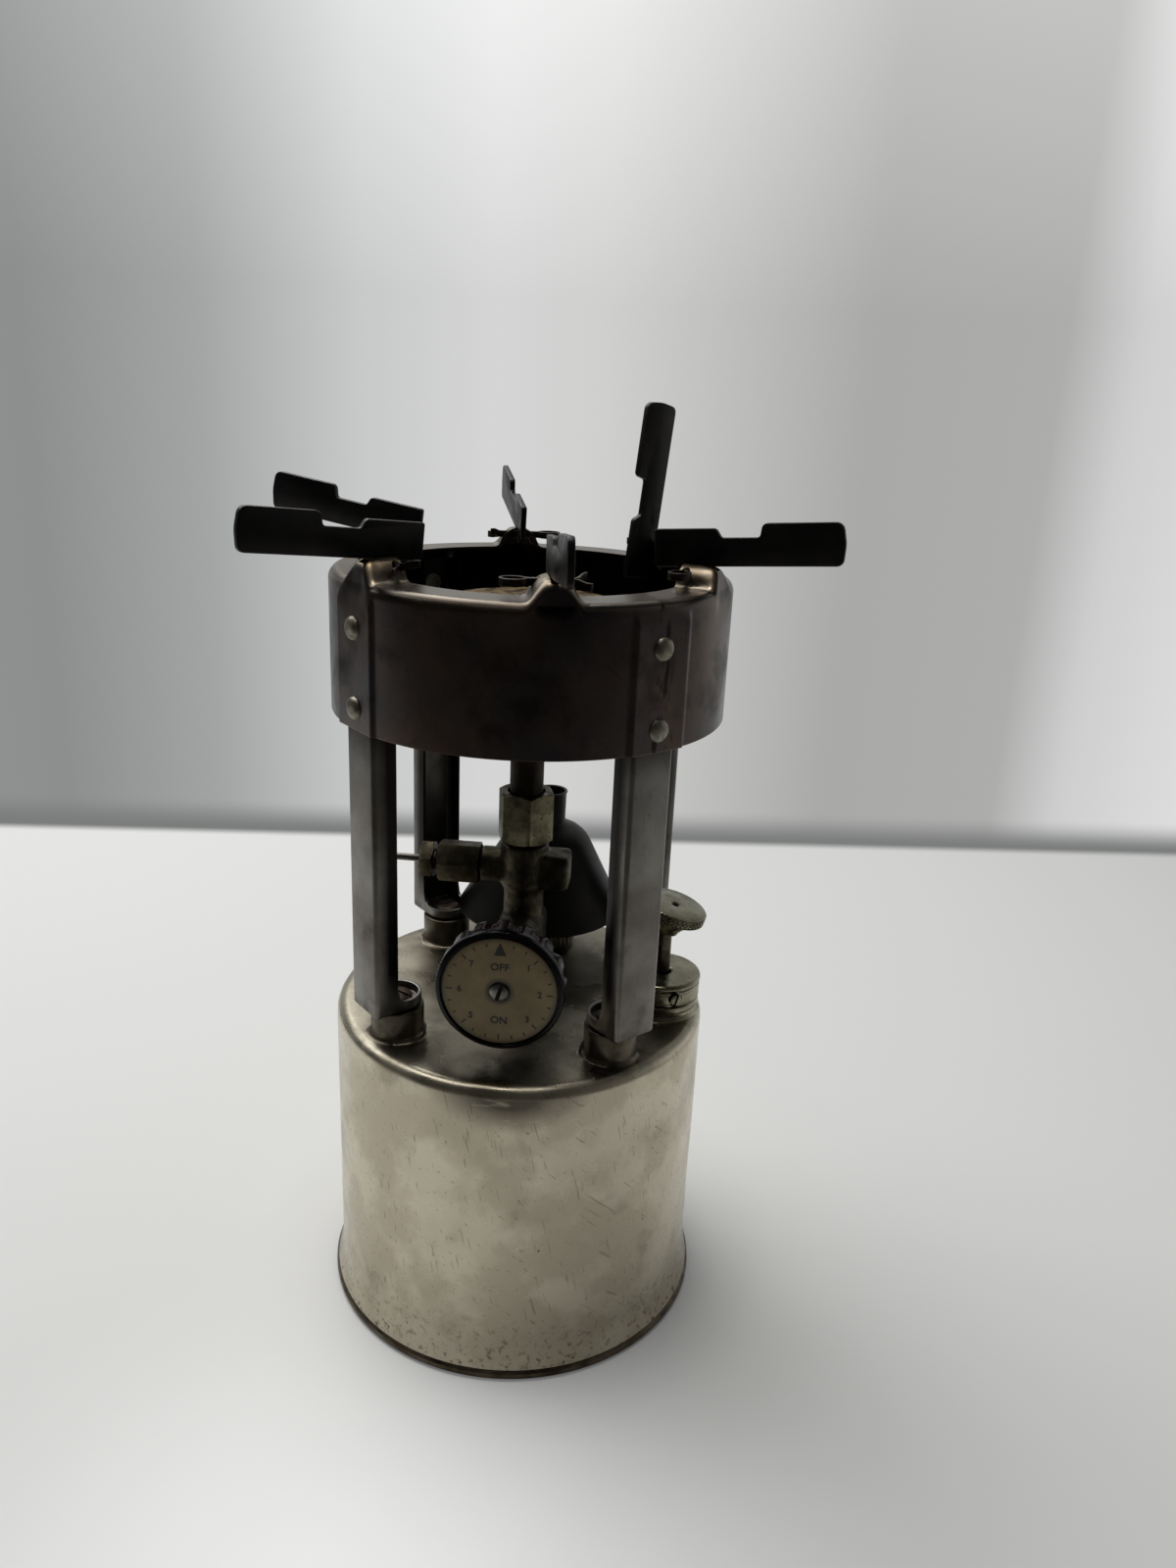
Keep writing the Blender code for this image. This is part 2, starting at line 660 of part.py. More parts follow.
def make_posts(finishes):
    """Four round posts on the tank's top, bored for the foot screws."""
    bore = SCREW_SHANK + GAP
    outline = [
        (bore, POST_HEIGHT),
        (POST_RADIUS - POST_EDGE, POST_HEIGHT),
        (POST_RADIUS, POST_HEIGHT - POST_EDGE),
        (POST_RADIUS, POST_SOLDER),
        (POST_RADIUS + POST_SOLDER, 0),
        (bore, 0),
    ]
    for place, bearing in LEG_BEARINGS.items():
        centre = on_bearing(bearing, POST_CENTRE, POST_FOOT)
        solid(f"post_{place}", turn(outline, SMALL_SIDES), finishes["tin"], location=centre)


def leg_plan(inset):
    """Plan of a leg from flange end to flange end round the web, then on round the inner end of its pan."""
    half = LEG_WIDTH / 2 - inset
    outside = LEG_OUTSIDE - inset
    corner = LEG_CORNER if inset == 0 else LEG_CORNER / 2
    flange_end = LEG_OUTSIDE - LEG_DEPTH
    channel = [(half, flange_end), (half, outside - corner), (half - corner, outside)]
    channel += [(-x, distance) for x, distance in channel[::-1]]
    pan = arc((0, 0), half, 180, 360, 8)
    return channel, [(x, POST_CENTRE + across) for x, across in pan]


def leg_mesh():
    """A sheet leg for bearing 0: a channel with a round pan at its foot."""
    bm = bmesh.new()
    rings = []
    for inset in (0, LEG_SHEET):
        channel, pan = leg_plan(inset)
        rings.append(channel + pan)
        channel_count = len(channel)
    outer, inner = rings

    def level(points, height):
        return [bm.verts.new((x, -distance, height)) for x, distance in points]

    outer_foot = level(outer, LEG_FOOT)
    outer_lip = level(outer, LEG_LIP)
    inner_plate = level(inner, LEG_PLATE)
    inner_lip = level(inner, LEG_LIP)
    outer_top = level(outer[:channel_count], LEG_TOP)
    inner_top = level(inner[:channel_count], LEG_TOP)
    count = len(outer)
    bm.faces.new(outer_foot)
    bm.faces.new(inner_plate)
    for index in range(count):
        following = (index + 1) % count
        bm.faces.new((outer_foot[index], outer_foot[following], outer_lip[following], outer_lip[index]))
        bm.faces.new((inner_plate[index], inner_plate[following], inner_lip[following], inner_lip[index]))
        if index >= channel_count - 1:
            bm.faces.new((outer_lip[index], outer_lip[following], inner_lip[following], inner_lip[index]))
            continue
        bm.faces.new((outer_lip[index], outer_lip[following], outer_top[following], outer_top[index]))
        bm.faces.new((inner_lip[index], inner_lip[following], inner_top[following], inner_top[index]))
        bm.faces.new((outer_top[index], outer_top[following], inner_top[following], inner_top[index]))
    for index in (0, channel_count - 1):
        bm.faces.new((outer_lip[index], inner_lip[index], inner_top[index], outer_top[index]))
    web_edge = [outer_foot[index] for index in range(1, channel_count - 1)]
    heel = [edge for edge in bm.edges if edge.verts[0] in web_edge and edge.verts[1] in web_edge]
    bmesh.ops.bevel(bm, geom=heel, offset=LEG_HEEL, segments=2, profile=ROUND_SHARE, affect="EDGES")
    return bm


def outward_line(bearing, height):
    """Matrix that turns a shape made along Z to point outwards on a bearing, at that height."""
    outwards = Matrix.Rotation(math.radians(90), 4, "X")
    return Matrix.Translation((0, 0, height)) @ bearing_matrix(bearing) @ outwards


def make_legs(finishes, rivet_holes):
    """Four legs, each its own piece, with holes for a foot screw and two rivets."""
    clear = SCREW_SHANK + GAP
    holes = bmesh.new()
    for bearing in LEG_BEARINGS.values():
        place = on_bearing(bearing, POST_CENTRE, LEG_FOOT)
        reach = Vector((0, 0, LEG_SHEET + OVERRUN))
        rod(place - reach, place + reach, clear, CUTTER_SIDES, holes)
    foot_holes = cutter("foot_screw_holes", holes)
    for place, bearing in LEG_BEARINGS.items():
        turned = (0, 0, math.radians(bearing))
        leg = solid(f"leg_{place}", leg_mesh(), finishes["satin_nickel"], rotation=turned)
        combine(leg, foot_holes)
        combine(leg, rivet_holes)


def make_foot_screws(finishes):
    """Four slotted round-head screws in the legs' pans."""
    head_foot = LEG_PLATE + GAP
    head_top = head_foot + SCREW_HEAD_HEIGHT
    tip = head_foot - SCREW_LENGTH
    outline = [(0, head_top)]
    outline += [(SCREW_HEAD_RADIUS * DOME_RADIUS_SHARE, head_top)]
    outline += [(SCREW_HEAD_RADIUS, head_foot + SCREW_HEAD_HEIGHT / 2)]
    outline += [(SCREW_HEAD_RADIUS, head_foot), (SCREW_SHANK, head_foot), (SCREW_SHANK, tip), (0, tip)]
    places = [Matrix.Translation(on_bearing(b, POST_CENTRE, 0)) for b in LEG_BEARINGS.values()]
    reach = SCREW_HEAD_RADIUS + OVERRUN
    slot = box(
        (-reach, -SCREW_SLOT_WIDTH / 2, head_top - SCREW_SLOT_DEPTH),
        (reach, SCREW_SLOT_WIDTH / 2, head_top + OVERRUN),
    )
    slots = cutter("foot_screw_slots", copies(slot, places))
    for place, bearing in LEG_BEARINGS.items():
        centre = on_bearing(bearing, POST_CENTRE, 0)
        screw = solid(f"foot_screw_{place}", turn(outline, SMALL_SIDES), finishes["zinc"], location=centre)
        combine(screw, slots)


def ear_rise(offset, radius):
    """How far the case's top is raised by an ear, at an offset across it and a distance from the axis."""
    if abs(offset) >= EAR_HALF_WIDTH:
        return 0
    bell = EAR_OUTER_RISE * math.cos(math.pi / 2 * offset / EAR_HALF_WIDTH) ** 2
    inside = max(0, 1 - (offset / EAR_ARCH_RADIUS) ** 2)
    arch = EAR_INNER_RISE * max(math.sqrt(inside), bell / EAR_OUTER_RISE / 2)
    share = min(1, max(0, (radius - CASE_MOUTH) / (CASE_RADIUS - CASE_MOUTH)))
    return arch + (bell - arch) * share


def case_columns():
    """Grid lines round the case, as (bearing they belong to, offset across it, in a flat)."""
    flats = [bearing % 360 for bearing in LEG_BEARINGS.values()]
    columns = []
    for bearing in EAR_BEARINGS:
        offsets = [share * EAR_HALF_WIDTH for share in EAR_COLUMN_SHARES]
        for offset in sorted({sign * value for value in offsets for sign in (-1, 1)}):
            columns.append((bearing, offset, bearing in flats))
    edge = FLAT_WIDTH / 2
    for bearing in flats:
        columns += [(bearing, offset, True) for offset in (-edge, edge)]
        columns += [(bearing, side * (edge + FLAT_CREASE), False) for side in (-1, 1)]

    def at_rim(column):
        return (column[0] + math.degrees(math.asin(column[1] / CASE_RADIUS))) % 360

    columns.sort(key=at_rim)
    filled = []
    for column, following in zip(columns, columns[1:] + columns[:1]):
        filled.append(column)
        start = at_rim(column)
        span = (at_rim(following) - start) % 360
        extra = int(math.radians(span) / CASE_FILL_ANGLE)
        for step in range(1, extra + 1):
            filled.append((start + span * step / (extra + 1), 0, False))
    return filled


def case_rows():
    """Rows of the case from its lower edge over the fillet to its mouth: (radius, height, raised, flat)."""
    fillet = CASE_TOP - CASE_FILLET
    rows = [(CASE_RADIUS, CASE_FOOT, False, True), (CASE_RADIUS, FLAT_TOP, False, True)]
    centre = (CASE_RADIUS - CASE_FILLET, fillet)
    rows += [(radius, height, True, False) for radius, height in arc(centre, CASE_FILLET, 0, 90, 3)]
    sheet = centre[0] - CASE_MOUTH
    for share in TOP_RING_SHARES:
        rows.append((centre[0] - sheet * share, CASE_TOP, True, False))
    return rows


def make_case(finishes, pin_holes):
    """The burner case: one sheet, with flats for the legs and slotted ears for the arms."""
    bm = bmesh.new()
    grid = []
    columns = case_columns()
    for radius, height, raised, flat in case_rows():
        line = []
        for bearing, offset, in_flat in columns:
            in_ear = bearing in EAR_BEARINGS
            lift = ear_rise(offset, radius) if raised and in_ear else 0
            outward = FLAT_DISTANCE if flat and in_flat else math.sqrt(radius**2 - offset**2)
            place = bearing_matrix(bearing) @ Vector((offset, -outward, height + lift))
            line.append(bm.verts.new(place))
        grid.append(line)
    count = len(columns)
    for lower, upper in zip(grid, grid[1:]):
        for index in range(count):
            following = (index + 1) % count
            bm.faces.new((lower[index], lower[following], upper[following], upper[index]))
    mesh = bpy.data.meshes.new("burner_case")
    bm.to_mesh(mesh)
    bm.free()
    mesh.materials.append(finishes["scorched"])
    mesh.shade_smooth()
    mesh.set_sharp_from_angle(angle=SMOOTH_ANGLE)
    case = link("burner_case", mesh)
    sheet = case.modifiers.new("sheet", "SOLIDIFY")
    sheet.thickness = CASE_SHEET
    sheet.offset = -1
    sheet.use_even_offset = True
    slot = box(
        (-EAR_SLOT_WIDTH / 2, -EAR_SLOT_END, CASE_TOP + EAR_SLOT_WIDTH / 2),
        (EAR_SLOT_WIDTH / 2, -CASE_MOUTH + OVERRUN, CASE_TOP + EAR_INNER_RISE + OVERRUN),
    )
    slots = cutter("ear_slots", copies(slot, [bearing_matrix(b) for b in EAR_BEARINGS]))
    combine(case, make_rivets(), "UNION")
    for helper in (slots, pin_holes):
        combine(case, helper)


def make_rivets():
    """Eight rivets closed tight in the case, domed heads outside and flat tails inside the legs."""
    head = FLAT_DISTANCE - CASE_SHEET / 4
    tail = LEG_OUTSIDE - LEG_SHEET - GAP
    crown = head + RIVET_HEAD_HEIGHT
    outline = [
        (0, crown),
        (RIVET_HEAD_RADIUS * DOME_RADIUS_SHARE, head + RIVET_HEAD_HEIGHT * DOME_HEIGHT_SHARE),
        (RIVET_HEAD_RADIUS, head),
        (RIVET_SHANK, head),
        (RIVET_SHANK, tail),
        (RIVET_TAIL_RADIUS, tail),
        (RIVET_TAIL_RADIUS, tail - RIVET_TAIL_HEIGHT),
        (0, tail - RIVET_TAIL_HEIGHT),
    ]
    places = [outward_line(bearing, height) for bearing in LEG_BEARINGS.values() for height in RIVET_HEIGHTS]
    return cutter("case_rivets", copies(turn(outline, RIVET_SIDES), places))


def arm_outline():
    """A grate arm as (outward, up) points from its pin: straight below, notched above, a lobe round the pin."""
    low = ARM_EDGE_RISE
    lobe_angle = math.degrees(math.asin(low / ARM_LOBE_RADIUS))
    corner = ARM_CORNER
    hinge_top = low + ARM_HINGE_HEIGHT
    outer_top = low + ARM_OUTER_HEIGHT
    notch = low + ARM_NOTCH_HEIGHT
    points = [(-ARM_TAIL, low)]
    points += arc((0, 0), ARM_LOBE_RADIUS, 180 - lobe_angle, 360 + lobe_angle, 8)
    end = ARM_REACH - ARM_END_SAG
    points += arc((end - corner, low + corner), corner, -90, -15, 3)
    points.append((ARM_REACH, (low + outer_top) / 2))
    points += arc((end - corner, outer_top - corner), corner, 15, 90, 3)
    points += [(ARM_OUTER_FROM + corner / 2, outer_top), (ARM_OUTER_FROM, outer_top - corner / 4)]
    points += [(ARM_NOTCH_TO, notch + corner / 4), (ARM_NOTCH_TO - corner / 2, notch)]
    points += [(ARM_NOTCH_FROM + corner / 2, notch), (ARM_NOTCH_FROM, notch + corner / 4)]
    points += [(ARM_HINGE_LENGTH, hinge_top - corner / 4), (ARM_HINGE_LENGTH - corner / 2, hinge_top)]
    points += [(-ARM_TAIL + corner / 4, hinge_top), (-ARM_TAIL, hinge_top - corner / 4)]
    return points


def make_arms(finishes, pin_holes):
    """Six grate arms, each with its origin on its own pin."""
    tilts = {255: ARM_LOOSE_TILT, 135: ARM_RAISED}
    for number, bearing in enumerate(EAR_BEARINGS, start=1):
        tilt = math.radians(tilts.get(bearing, ARM_TILT))
        arm = solid(
            f"grate_arm_{number}",
            slab(arm_outline(), ARM_THICKNESS),
            finishes["black_steel"],
            location=on_bearing(bearing, PIN_CENTRE, PIN_HEIGHT),
            rotation=(-tilt, 0, math.radians(bearing)),
        )
        combine(arm, pin_holes)


def pin_run():
    """A split pin across X: from one bent tail through the ears, round its eye and back to the other tail."""
    eye = arc((-PIN_EYE_CENTRE, 0), PIN_EYE_RADIUS, 40, 320, 7)
    flat = [
        (PIN_TAIL_END, PIN_SPREAD + PIN_TAIL_RISE),
        (PIN_TAIL_SIDE, PIN_SPREAD),
        (-PIN_EAR_SIDE + PIN_EYE_RADIUS / 2, PIN_SPREAD),
        *eye,
        (-PIN_EAR_SIDE + PIN_EYE_RADIUS / 2, -PIN_SPREAD),
        (PIN_TAIL_SIDE, -PIN_SPREAD),
        (PIN_TAIL_END, -PIN_SPREAD - PIN_TAIL_RISE),
    ]
    return [(across, 0, up) for across, up in flat]


def make_burner(finishes):
    """The bracket across the case, the mixing tube, the bowl with its rings and cap, and their screws."""
    inner_wall = CASE_RADIUS - CASE_SHEET
    reach = math.sqrt(inner_wall**2 - (BRACKET_WIDTH / 2) ** 2) - GAP
    outline = [
        (-reach, BRACKET_HEIGHT),
        (reach, BRACKET_HEIGHT),
        (reach, BRACKET_HEIGHT + BRACKET_TAB),
        (reach - BRACKET_SHEET, BRACKET_HEIGHT + BRACKET_TAB),
        (reach - BRACKET_SHEET, BRACKET_TOP),
        (-reach + BRACKET_SHEET, BRACKET_TOP),
        (-reach + BRACKET_SHEET, BRACKET_HEIGHT + BRACKET_TAB),
        (-reach, BRACKET_HEIGHT + BRACKET_TAB),
    ]
    bracket = solid("burner_bracket", slab(outline, BRACKET_WIDTH), finishes["scorched"])
    gap = MIXER_RADIUS + GAP
    middle = rod((0, 0, BRACKET_HEIGHT - OVERRUN), (0, 0, BRACKET_TOP + OVERRUN), gap, ROUND_SIDES)
    combine(bracket, cutter("bracket_middle", middle))

    bore = MIXER_RADIUS - MIXER_WALL
    tube = [
        (bore, MIXER_SEAT + MIXER_FLANGE),
        (MIXER_FLANGE_RADIUS, MIXER_SEAT + MIXER_FLANGE),
        (MIXER_FLANGE_RADIUS, MIXER_SEAT),
        (MIXER_RADIUS, MIXER_SEAT),
        (MIXER_RADIUS, MIXER_FOOT),
        (bore, MIXER_FOOT),
    ]
    solid("mixing_tube", turn(tube, ROUND_SIDES), finishes["brass"])

    knee = BOWL_FOOT + BOWL_KNEE
    outer = [(MIXER_FLANGE_RADIUS, BOWL_FOOT), (MIXER_FLANGE_RADIUS, BOWL_FOOT + BOWL_BASE_HEIGHT)]
    outer += [(BOWL_RADIUS, knee), (BOWL_RADIUS, BOWL_RIM)]
    inside_radius = BOWL_RADIUS - BOWL_WALL
    inner = [(inside_radius, BOWL_RIM), (inside_radius, knee + BOWL_WALL / 2)]
    inner += [(MIXER_FLANGE_RADIUS - BOWL_WALL, BOWL_FOOT + 2 * BOWL_BASE_HEIGHT)]
    inner += [(bore, BOWL_FOOT + 2 * BOWL_BASE_HEIGHT), (bore, BOWL_FOOT)]
    bowl = solid("burner_bowl", turn(outer + inner, ROUND_SIDES), finishes["burner_brass"])
    bar_foot = BOWL_FOOT + BOWL_BASE_HEIGHT / 2
    half = BOWL_BAR_WIDTH / 2
    bar_reach = bore + BOWL_WALL
    bar = box((-bar_reach, -half, bar_foot), (bar_reach, half, bar_foot + BOWL_BAR_HEIGHT))
    combine(bowl, cutter("bowl_bar", bar), "UNION")
    boss_foot = bar_foot + BOWL_BAR_HEIGHT / 4
    boss_top = BOWL_FOOT + BOWL_BOSS_TOP
    boss = rod((0, 0, boss_foot), (0, 0, boss_top), BOWL_BOSS_RADIUS, SMALL_SIDES)
    combine(bowl, cutter("bowl_boss", boss), "UNION")
    thread_foot = bar_foot + BOWL_BAR_HEIGHT
    tapped = rod((0, 0, thread_foot), (0, 0, boss_top + OVERRUN), CAP_SCREW_SHANK + GAP, CUTTER_SIDES)
    combine(bowl, cutter("bowl_thread", tapped))

    outside = []
    for index in range(RING_COUNT):
        high = RINGS_TOP - index * (RING_THICKNESS + RING_SPACE)
        outside += [(RING_RADIUS, high), (RING_RADIUS, high - RING_THICKNESS)]
        if index < RING_COUNT - 1:
            outside += [(RING_ROOT, high - RING_THICKNESS), (RING_ROOT, high - RING_THICKNESS - RING_SPACE)]
    rings = [(RING_INNER, RINGS_TOP), *outside, (RING_INNER, RINGS_FOOT)]
    solid("flame_rings", turn(rings, ROUND_SIDES), finishes["burner_steel"])

    hole = CAP_SCREW_SHANK + GAP
    rim_top = CAP_FOOT + CAP_THICKNESS
    dish = CAP_SCREW_HEAD + 2 * CAP_DISH
    plate = [
        (hole, rim_top - CAP_DISH),
        (dish, rim_top - CAP_DISH),
        (dish + CAP_DISH, rim_top),
        (CAP_RADIUS - CAP_DISH, rim_top),
        (CAP_RADIUS, CAP_FOOT + CAP_THICKNESS / 2),
        (CAP_RADIUS, CAP_FOOT),
        (dish + CAP_DISH, CAP_FOOT),
        (dish, CAP_FOOT - CAP_DISH),
        (hole, CAP_FOOT - CAP_DISH),
    ]
    solid("burner_cap", turn(plate, ROUND_SIDES), finishes["burner_steel"])
    head_foot = rim_top - CAP_DISH + GAP
    head_top = head_foot + CAP_SCREW_HEAD_HEIGHT
    tip = thread_foot + GAP
    screw = [
        (0, head_top),
        (CAP_SCREW_HEAD * DOME_RADIUS_SHARE, head_top),
        (CAP_SCREW_HEAD, head_foot + CAP_SCREW_HEAD_HEIGHT / 2),
        (CAP_SCREW_HEAD, head_foot),
        (CAP_SCREW_SHANK, head_foot),
        (CAP_SCREW_SHANK, tip),
        (0, tip),
    ]
    cap_screw = solid("burner_cap_screw", turn(screw, SMALL_SIDES), finishes["burner_steel"])
    reach = CAP_SCREW_HEAD + OVERRUN
    half_slot = SCREW_SLOT_WIDTH / 2
    slot = box(
        (-reach, -half_slot, head_top - SCREW_SLOT_DEPTH),
        (reach, half_slot, head_top + OVERRUN),
    )
    combine(cap_screw, cutter("cap_screw_slot", slot))


def make_valve_body(finishes, axis):
    """The valve casting: a column with a block for the stem and a cross head for the cleaner."""
    foot = TANK_TOP + GAP
    flange_top = foot + VALVE_FLANGE_HEIGHT
    sides = NUT_SIDES
    flange = hex_radius(VALVE_FLANGE_ACROSS)
    bore = VALVE_BORE
    seat = PICKUP_RADIUS + GAP
    rows = [
        (flange, foot),
        (flange, flange_top),
        round_row(VALVE_COLUMN_RADIUS, flange_top),
        round_row(VALVE_COLUMN_RADIUS, VALVE_BLOCK_FOOT + GAP),
        round_row(VALVE_NECK_RADIUS, VALVE_BLOCK_TOP - GAP),
        round_row(VALVE_NECK_RADIUS, VALVE_HEAD_FOOT - 2 * GAP),
        round_row(VALVE_HEAD_RADIUS, VALVE_HEAD_FOOT + GAP),
        round_row(VALVE_HEAD_RADIUS, VALVE_TOP),
        round_row(VALVE_SPIGOT_RADIUS, VALVE_TOP),
        round_row(VALVE_SPIGOT_RADIUS, SPIGOT_TOP),
        round_row(bore, SPIGOT_TOP),
        round_row(bore, flange_top + 2 * GAP),
        round_row(seat, flange_top + GAP),
        round_row(seat, foot),
    ]
    body = solid("valve_body", loft(rows, sides), finishes["valve_brass"], axis)

    block = box(
        (-VALVE_BLOCK_WIDTH / 2, -VALVE_BLOCK_FRONT, VALVE_BLOCK_FOOT),
        (VALVE_BLOCK_WIDTH / 2, VALVE_BLOCK_BACK, VALVE_BLOCK_TOP),
    )
    upright = [edge for edge in block.edges if abs(edge.verts[0].co.z - edge.verts[1].co.z) > GAP]
    edge = VALVE_ARM_EDGE
    bmesh.ops.bevel(block, geom=upright, offset=2 * edge, segments=2, profile=ROUND_SHARE, affect="EDGES")
    combine(body, cutter("valve_block", block, axis), "UNION")

    length = VALVE_ARM_RIGHT + VALVE_ARM_LEFT
    arms = [
        (0, length),
        (VALVE_ARM_RADIUS - edge, length),
        (VALVE_ARM_RADIUS, length - edge),
        (VALVE_ARM_RADIUS, 0),
        (0, 0),
    ]
    rightwards = (0, math.radians(90), 0)
    arm_start = (-VALVE_ARM_LEFT, 0, ARM_AXIS_HEIGHT)
    crossing = cutter("valve_arms", turn(arms, NUT_SIDES), axis, arm_start, rightwards)
    combine(body, crossing, "UNION")

    passage = rod((0, 0, flange_top), (0, 0, SPIGOT_TOP + OVERRUN), bore, CUTTER_SIDES)
    combine(body, cutter("valve_passage", passage, axis))
    bonnet = rod((0, 0, STEM_HEIGHT), (0, -BONNET_END, STEM_HEIGHT), BONNET_RADIUS, NUT_SIDES)
    combine(body, cutter("valve_bonnet", bonnet, axis), "UNION")
    stem_way = rod((0, 0, STEM_HEIGHT), (0, -BONNET_END - OVERRUN, STEM_HEIGHT), STEM_BORE, CUTTER_SIDES)
    combine(body, cutter("valve_stem_way", stem_way, axis))
    way_end = (-VALVE_ARM_LEFT - OVERRUN, 0, ARM_AXIS_HEIGHT)
    rod_way = rod((0, 0, ARM_AXIS_HEIGHT), way_end, CLEANER_ROD_BORE, CUTTER_SIDES)
    combine(body, cutter("valve_rod_way", rod_way, axis))


def make_valve_trim(finishes, axis):
    """Packing nut and stem, both on the stem's line."""
    forwards = {"location": (0, 0, STEM_HEIGHT), "rotation": (math.radians(90), 0, 0)}
    bores = [(STEM_BORE, PACKING_END), (STEM_BORE, PACKING_FROM)]
    packing_nut = nut(PACKING_ACROSS, PACKING_FROM, PACKING_END, NUT_CHAMFER, bores)
    solid("valve_packing_nut", packing_nut, finishes["valve_brass"], axis, **forwards)
    stem = [
        (0, STEM_END),
        (STEM_RADIUS, STEM_END),
        (STEM_RADIUS, 2 * STEM_TIP),
        (0, STEM_TIP),
    ]
    solid("valve_stem", turn(stem, SMALL_SIDES), finishes["steel"], axis, **forwards)


def make_knob(finishes, axis):
    """The fluted knob with its sunk disc and its screw."""
    forwards = {"location": (0, 0, STEM_HEIGHT), "rotation": (math.radians(90), 0, 0)}
    sides = KNOB_FLUTES * 4

    def fluted(limit):
        def radius_at(angle):
            wave = (1 - math.cos(KNOB_FLUTES * angle)) / 2
            return limit - KNOB_FLUTE_DEPTH * wave

        return radius_at

    rim = KNOB_FACE - KNOB_RIM
    bore_end = STEM_END + GAP
    screw_hole = KNOB_SCREW_SHANK + GAP
    edge = KNOB_DISC_SINK * 2
    recess = KNOB_DISC_RADIUS + GAP
    rows = [
        (fluted(KNOB_RADIUS - 2 * edge), KNOB_BACK),
        (fluted(KNOB_RADIUS - edge / 2), KNOB_BACK + 2 * edge),
        (fluted(KNOB_RADIUS - edge / 2), rim),
        round_row(KNOB_RADIUS, rim + edge),
        round_row(KNOB_RADIUS, KNOB_FACE - edge),
        round_row(KNOB_RADIUS - edge, KNOB_FACE),
        round_row(recess, KNOB_FACE),
        round_row(recess, KNOB_RECESS),
    ]
    knob = solid("valve_knob", loft(rows, sides, closed=False), finishes["bakelite"], axis, **forwards)
    bore = [(0, KNOB_FACE), (screw_hole, KNOB_FACE), (screw_hole, bore_end), (STEM_BORE, bore_end)]
    bore += [(STEM_BORE, KNOB_BACK - OVERRUN), (0, KNOB_BACK - OVERRUN)]
    combine(knob, cutter("knob_bore", turn(bore, CUTTER_SIDES), axis, **forwards))

    back = KNOB_RECESS + GAP
    disc = [(screw_hole, KNOB_DISC_FACE), (KNOB_DISC_RADIUS, KNOB_DISC_FACE)]
    disc += [(KNOB_DISC_RADIUS, back), (screw_hole, back)]
    solid("knob_disc", turn(disc, ROUND_SIDES), finishes["cream"], axis, **forwards)

    head = KNOB_DISC_FACE + GAP
    head_top = head + KNOB_SCREW_HEAD_HEIGHT
    tip = bore_end + GAP
    screw = [
        (0, head_top),
        (KNOB_SCREW_HEAD * DOME_RADIUS_SHARE, head_top - KNOB_SCREW_HEAD_HEIGHT / 4),
        (KNOB_SCREW_HEAD, head + KNOB_SCREW_HEAD_HEIGHT / 3),
        (KNOB_SCREW_HEAD, head),
        (KNOB_SCREW_SHANK, head),
        (KNOB_SCREW_SHANK, tip),
        (0, tip),
    ]
    screw_piece = solid("knob_screw", turn(screw, SMALL_SIDES), finishes["steel"], axis, **forwards)
    reach = KNOB_SCREW_HEAD + OVERRUN
    half = SCREW_SLOT_WIDTH / 2
    slot = box((-half, -reach, head + KNOB_SCREW_HEAD_HEIGHT / 3), (half, reach, head_top + OVERRUN))
    combine(screw_piece, cutter("knob_screw_slot", slot, axis, **forwards))


def make_generator(finishes, axis):
    """Union nut, generator tube, gas tip and the needle inside them."""
    corner = (0, 0, math.radians(UNION_CORNER_BEARING - 90 - VALVE_TURN))
    bores = [
        (GENERATOR_RADIUS + GAP, UNION_TOP),
        (GENERATOR_RADIUS + GAP, GENERATOR_FOOT + GENERATOR_FLANGE + GAP),
        (SPIGOT_BORE, GENERATOR_FOOT + GENERATOR_FLANGE + GAP),
        (SPIGOT_BORE, UNION_FOOT),
    ]
    union = nut(UNION_ACROSS, UNION_FOOT, UNION_TOP, UNION_CHAMFER, bores)
    solid("generator_nut", union, finishes["valve_brass"], axis, rotation=corner)
    tube = [
        (GENERATOR_BORE, GENERATOR_TOP),
        (GENERATOR_RADIUS, GENERATOR_TOP),
        (GENERATOR_RADIUS, GENERATOR_FOOT + GENERATOR_FLANGE),
        (VALVE_SPIGOT_RADIUS, GENERATOR_FOOT + GENERATOR_FLANGE),
        (VALVE_SPIGOT_RADIUS, GENERATOR_FOOT),
        (GENERATOR_BORE, GENERATOR_FOOT),
    ]
    solid("generator_tube", turn(tube, NUT_SIDES), finishes["valve_brass"], axis)
    tip_foot = GENERATOR_TOP + GAP
    tip_top = TIP_TOP
    tip = nut(TIP_ACROSS, tip_foot, tip_top, NUT_CHAMFER, [(TIP_BORE, tip_top), (TIP_BORE, tip_foot)])
    solid("gas_tip", tip, finishes["brass"], axis)
    foot = ARM_AXIS_HEIGHT + CLEANER_ROD_RADIUS + GAP
    top = tip_top - NEEDLE_LIFT / 2
    needle = rod((0, 0, foot), (0, 0, top), NEEDLE_RADIUS, RIVET_SIDES // 2)
    solid("tip_needle", needle, finishes["steel"], axis)


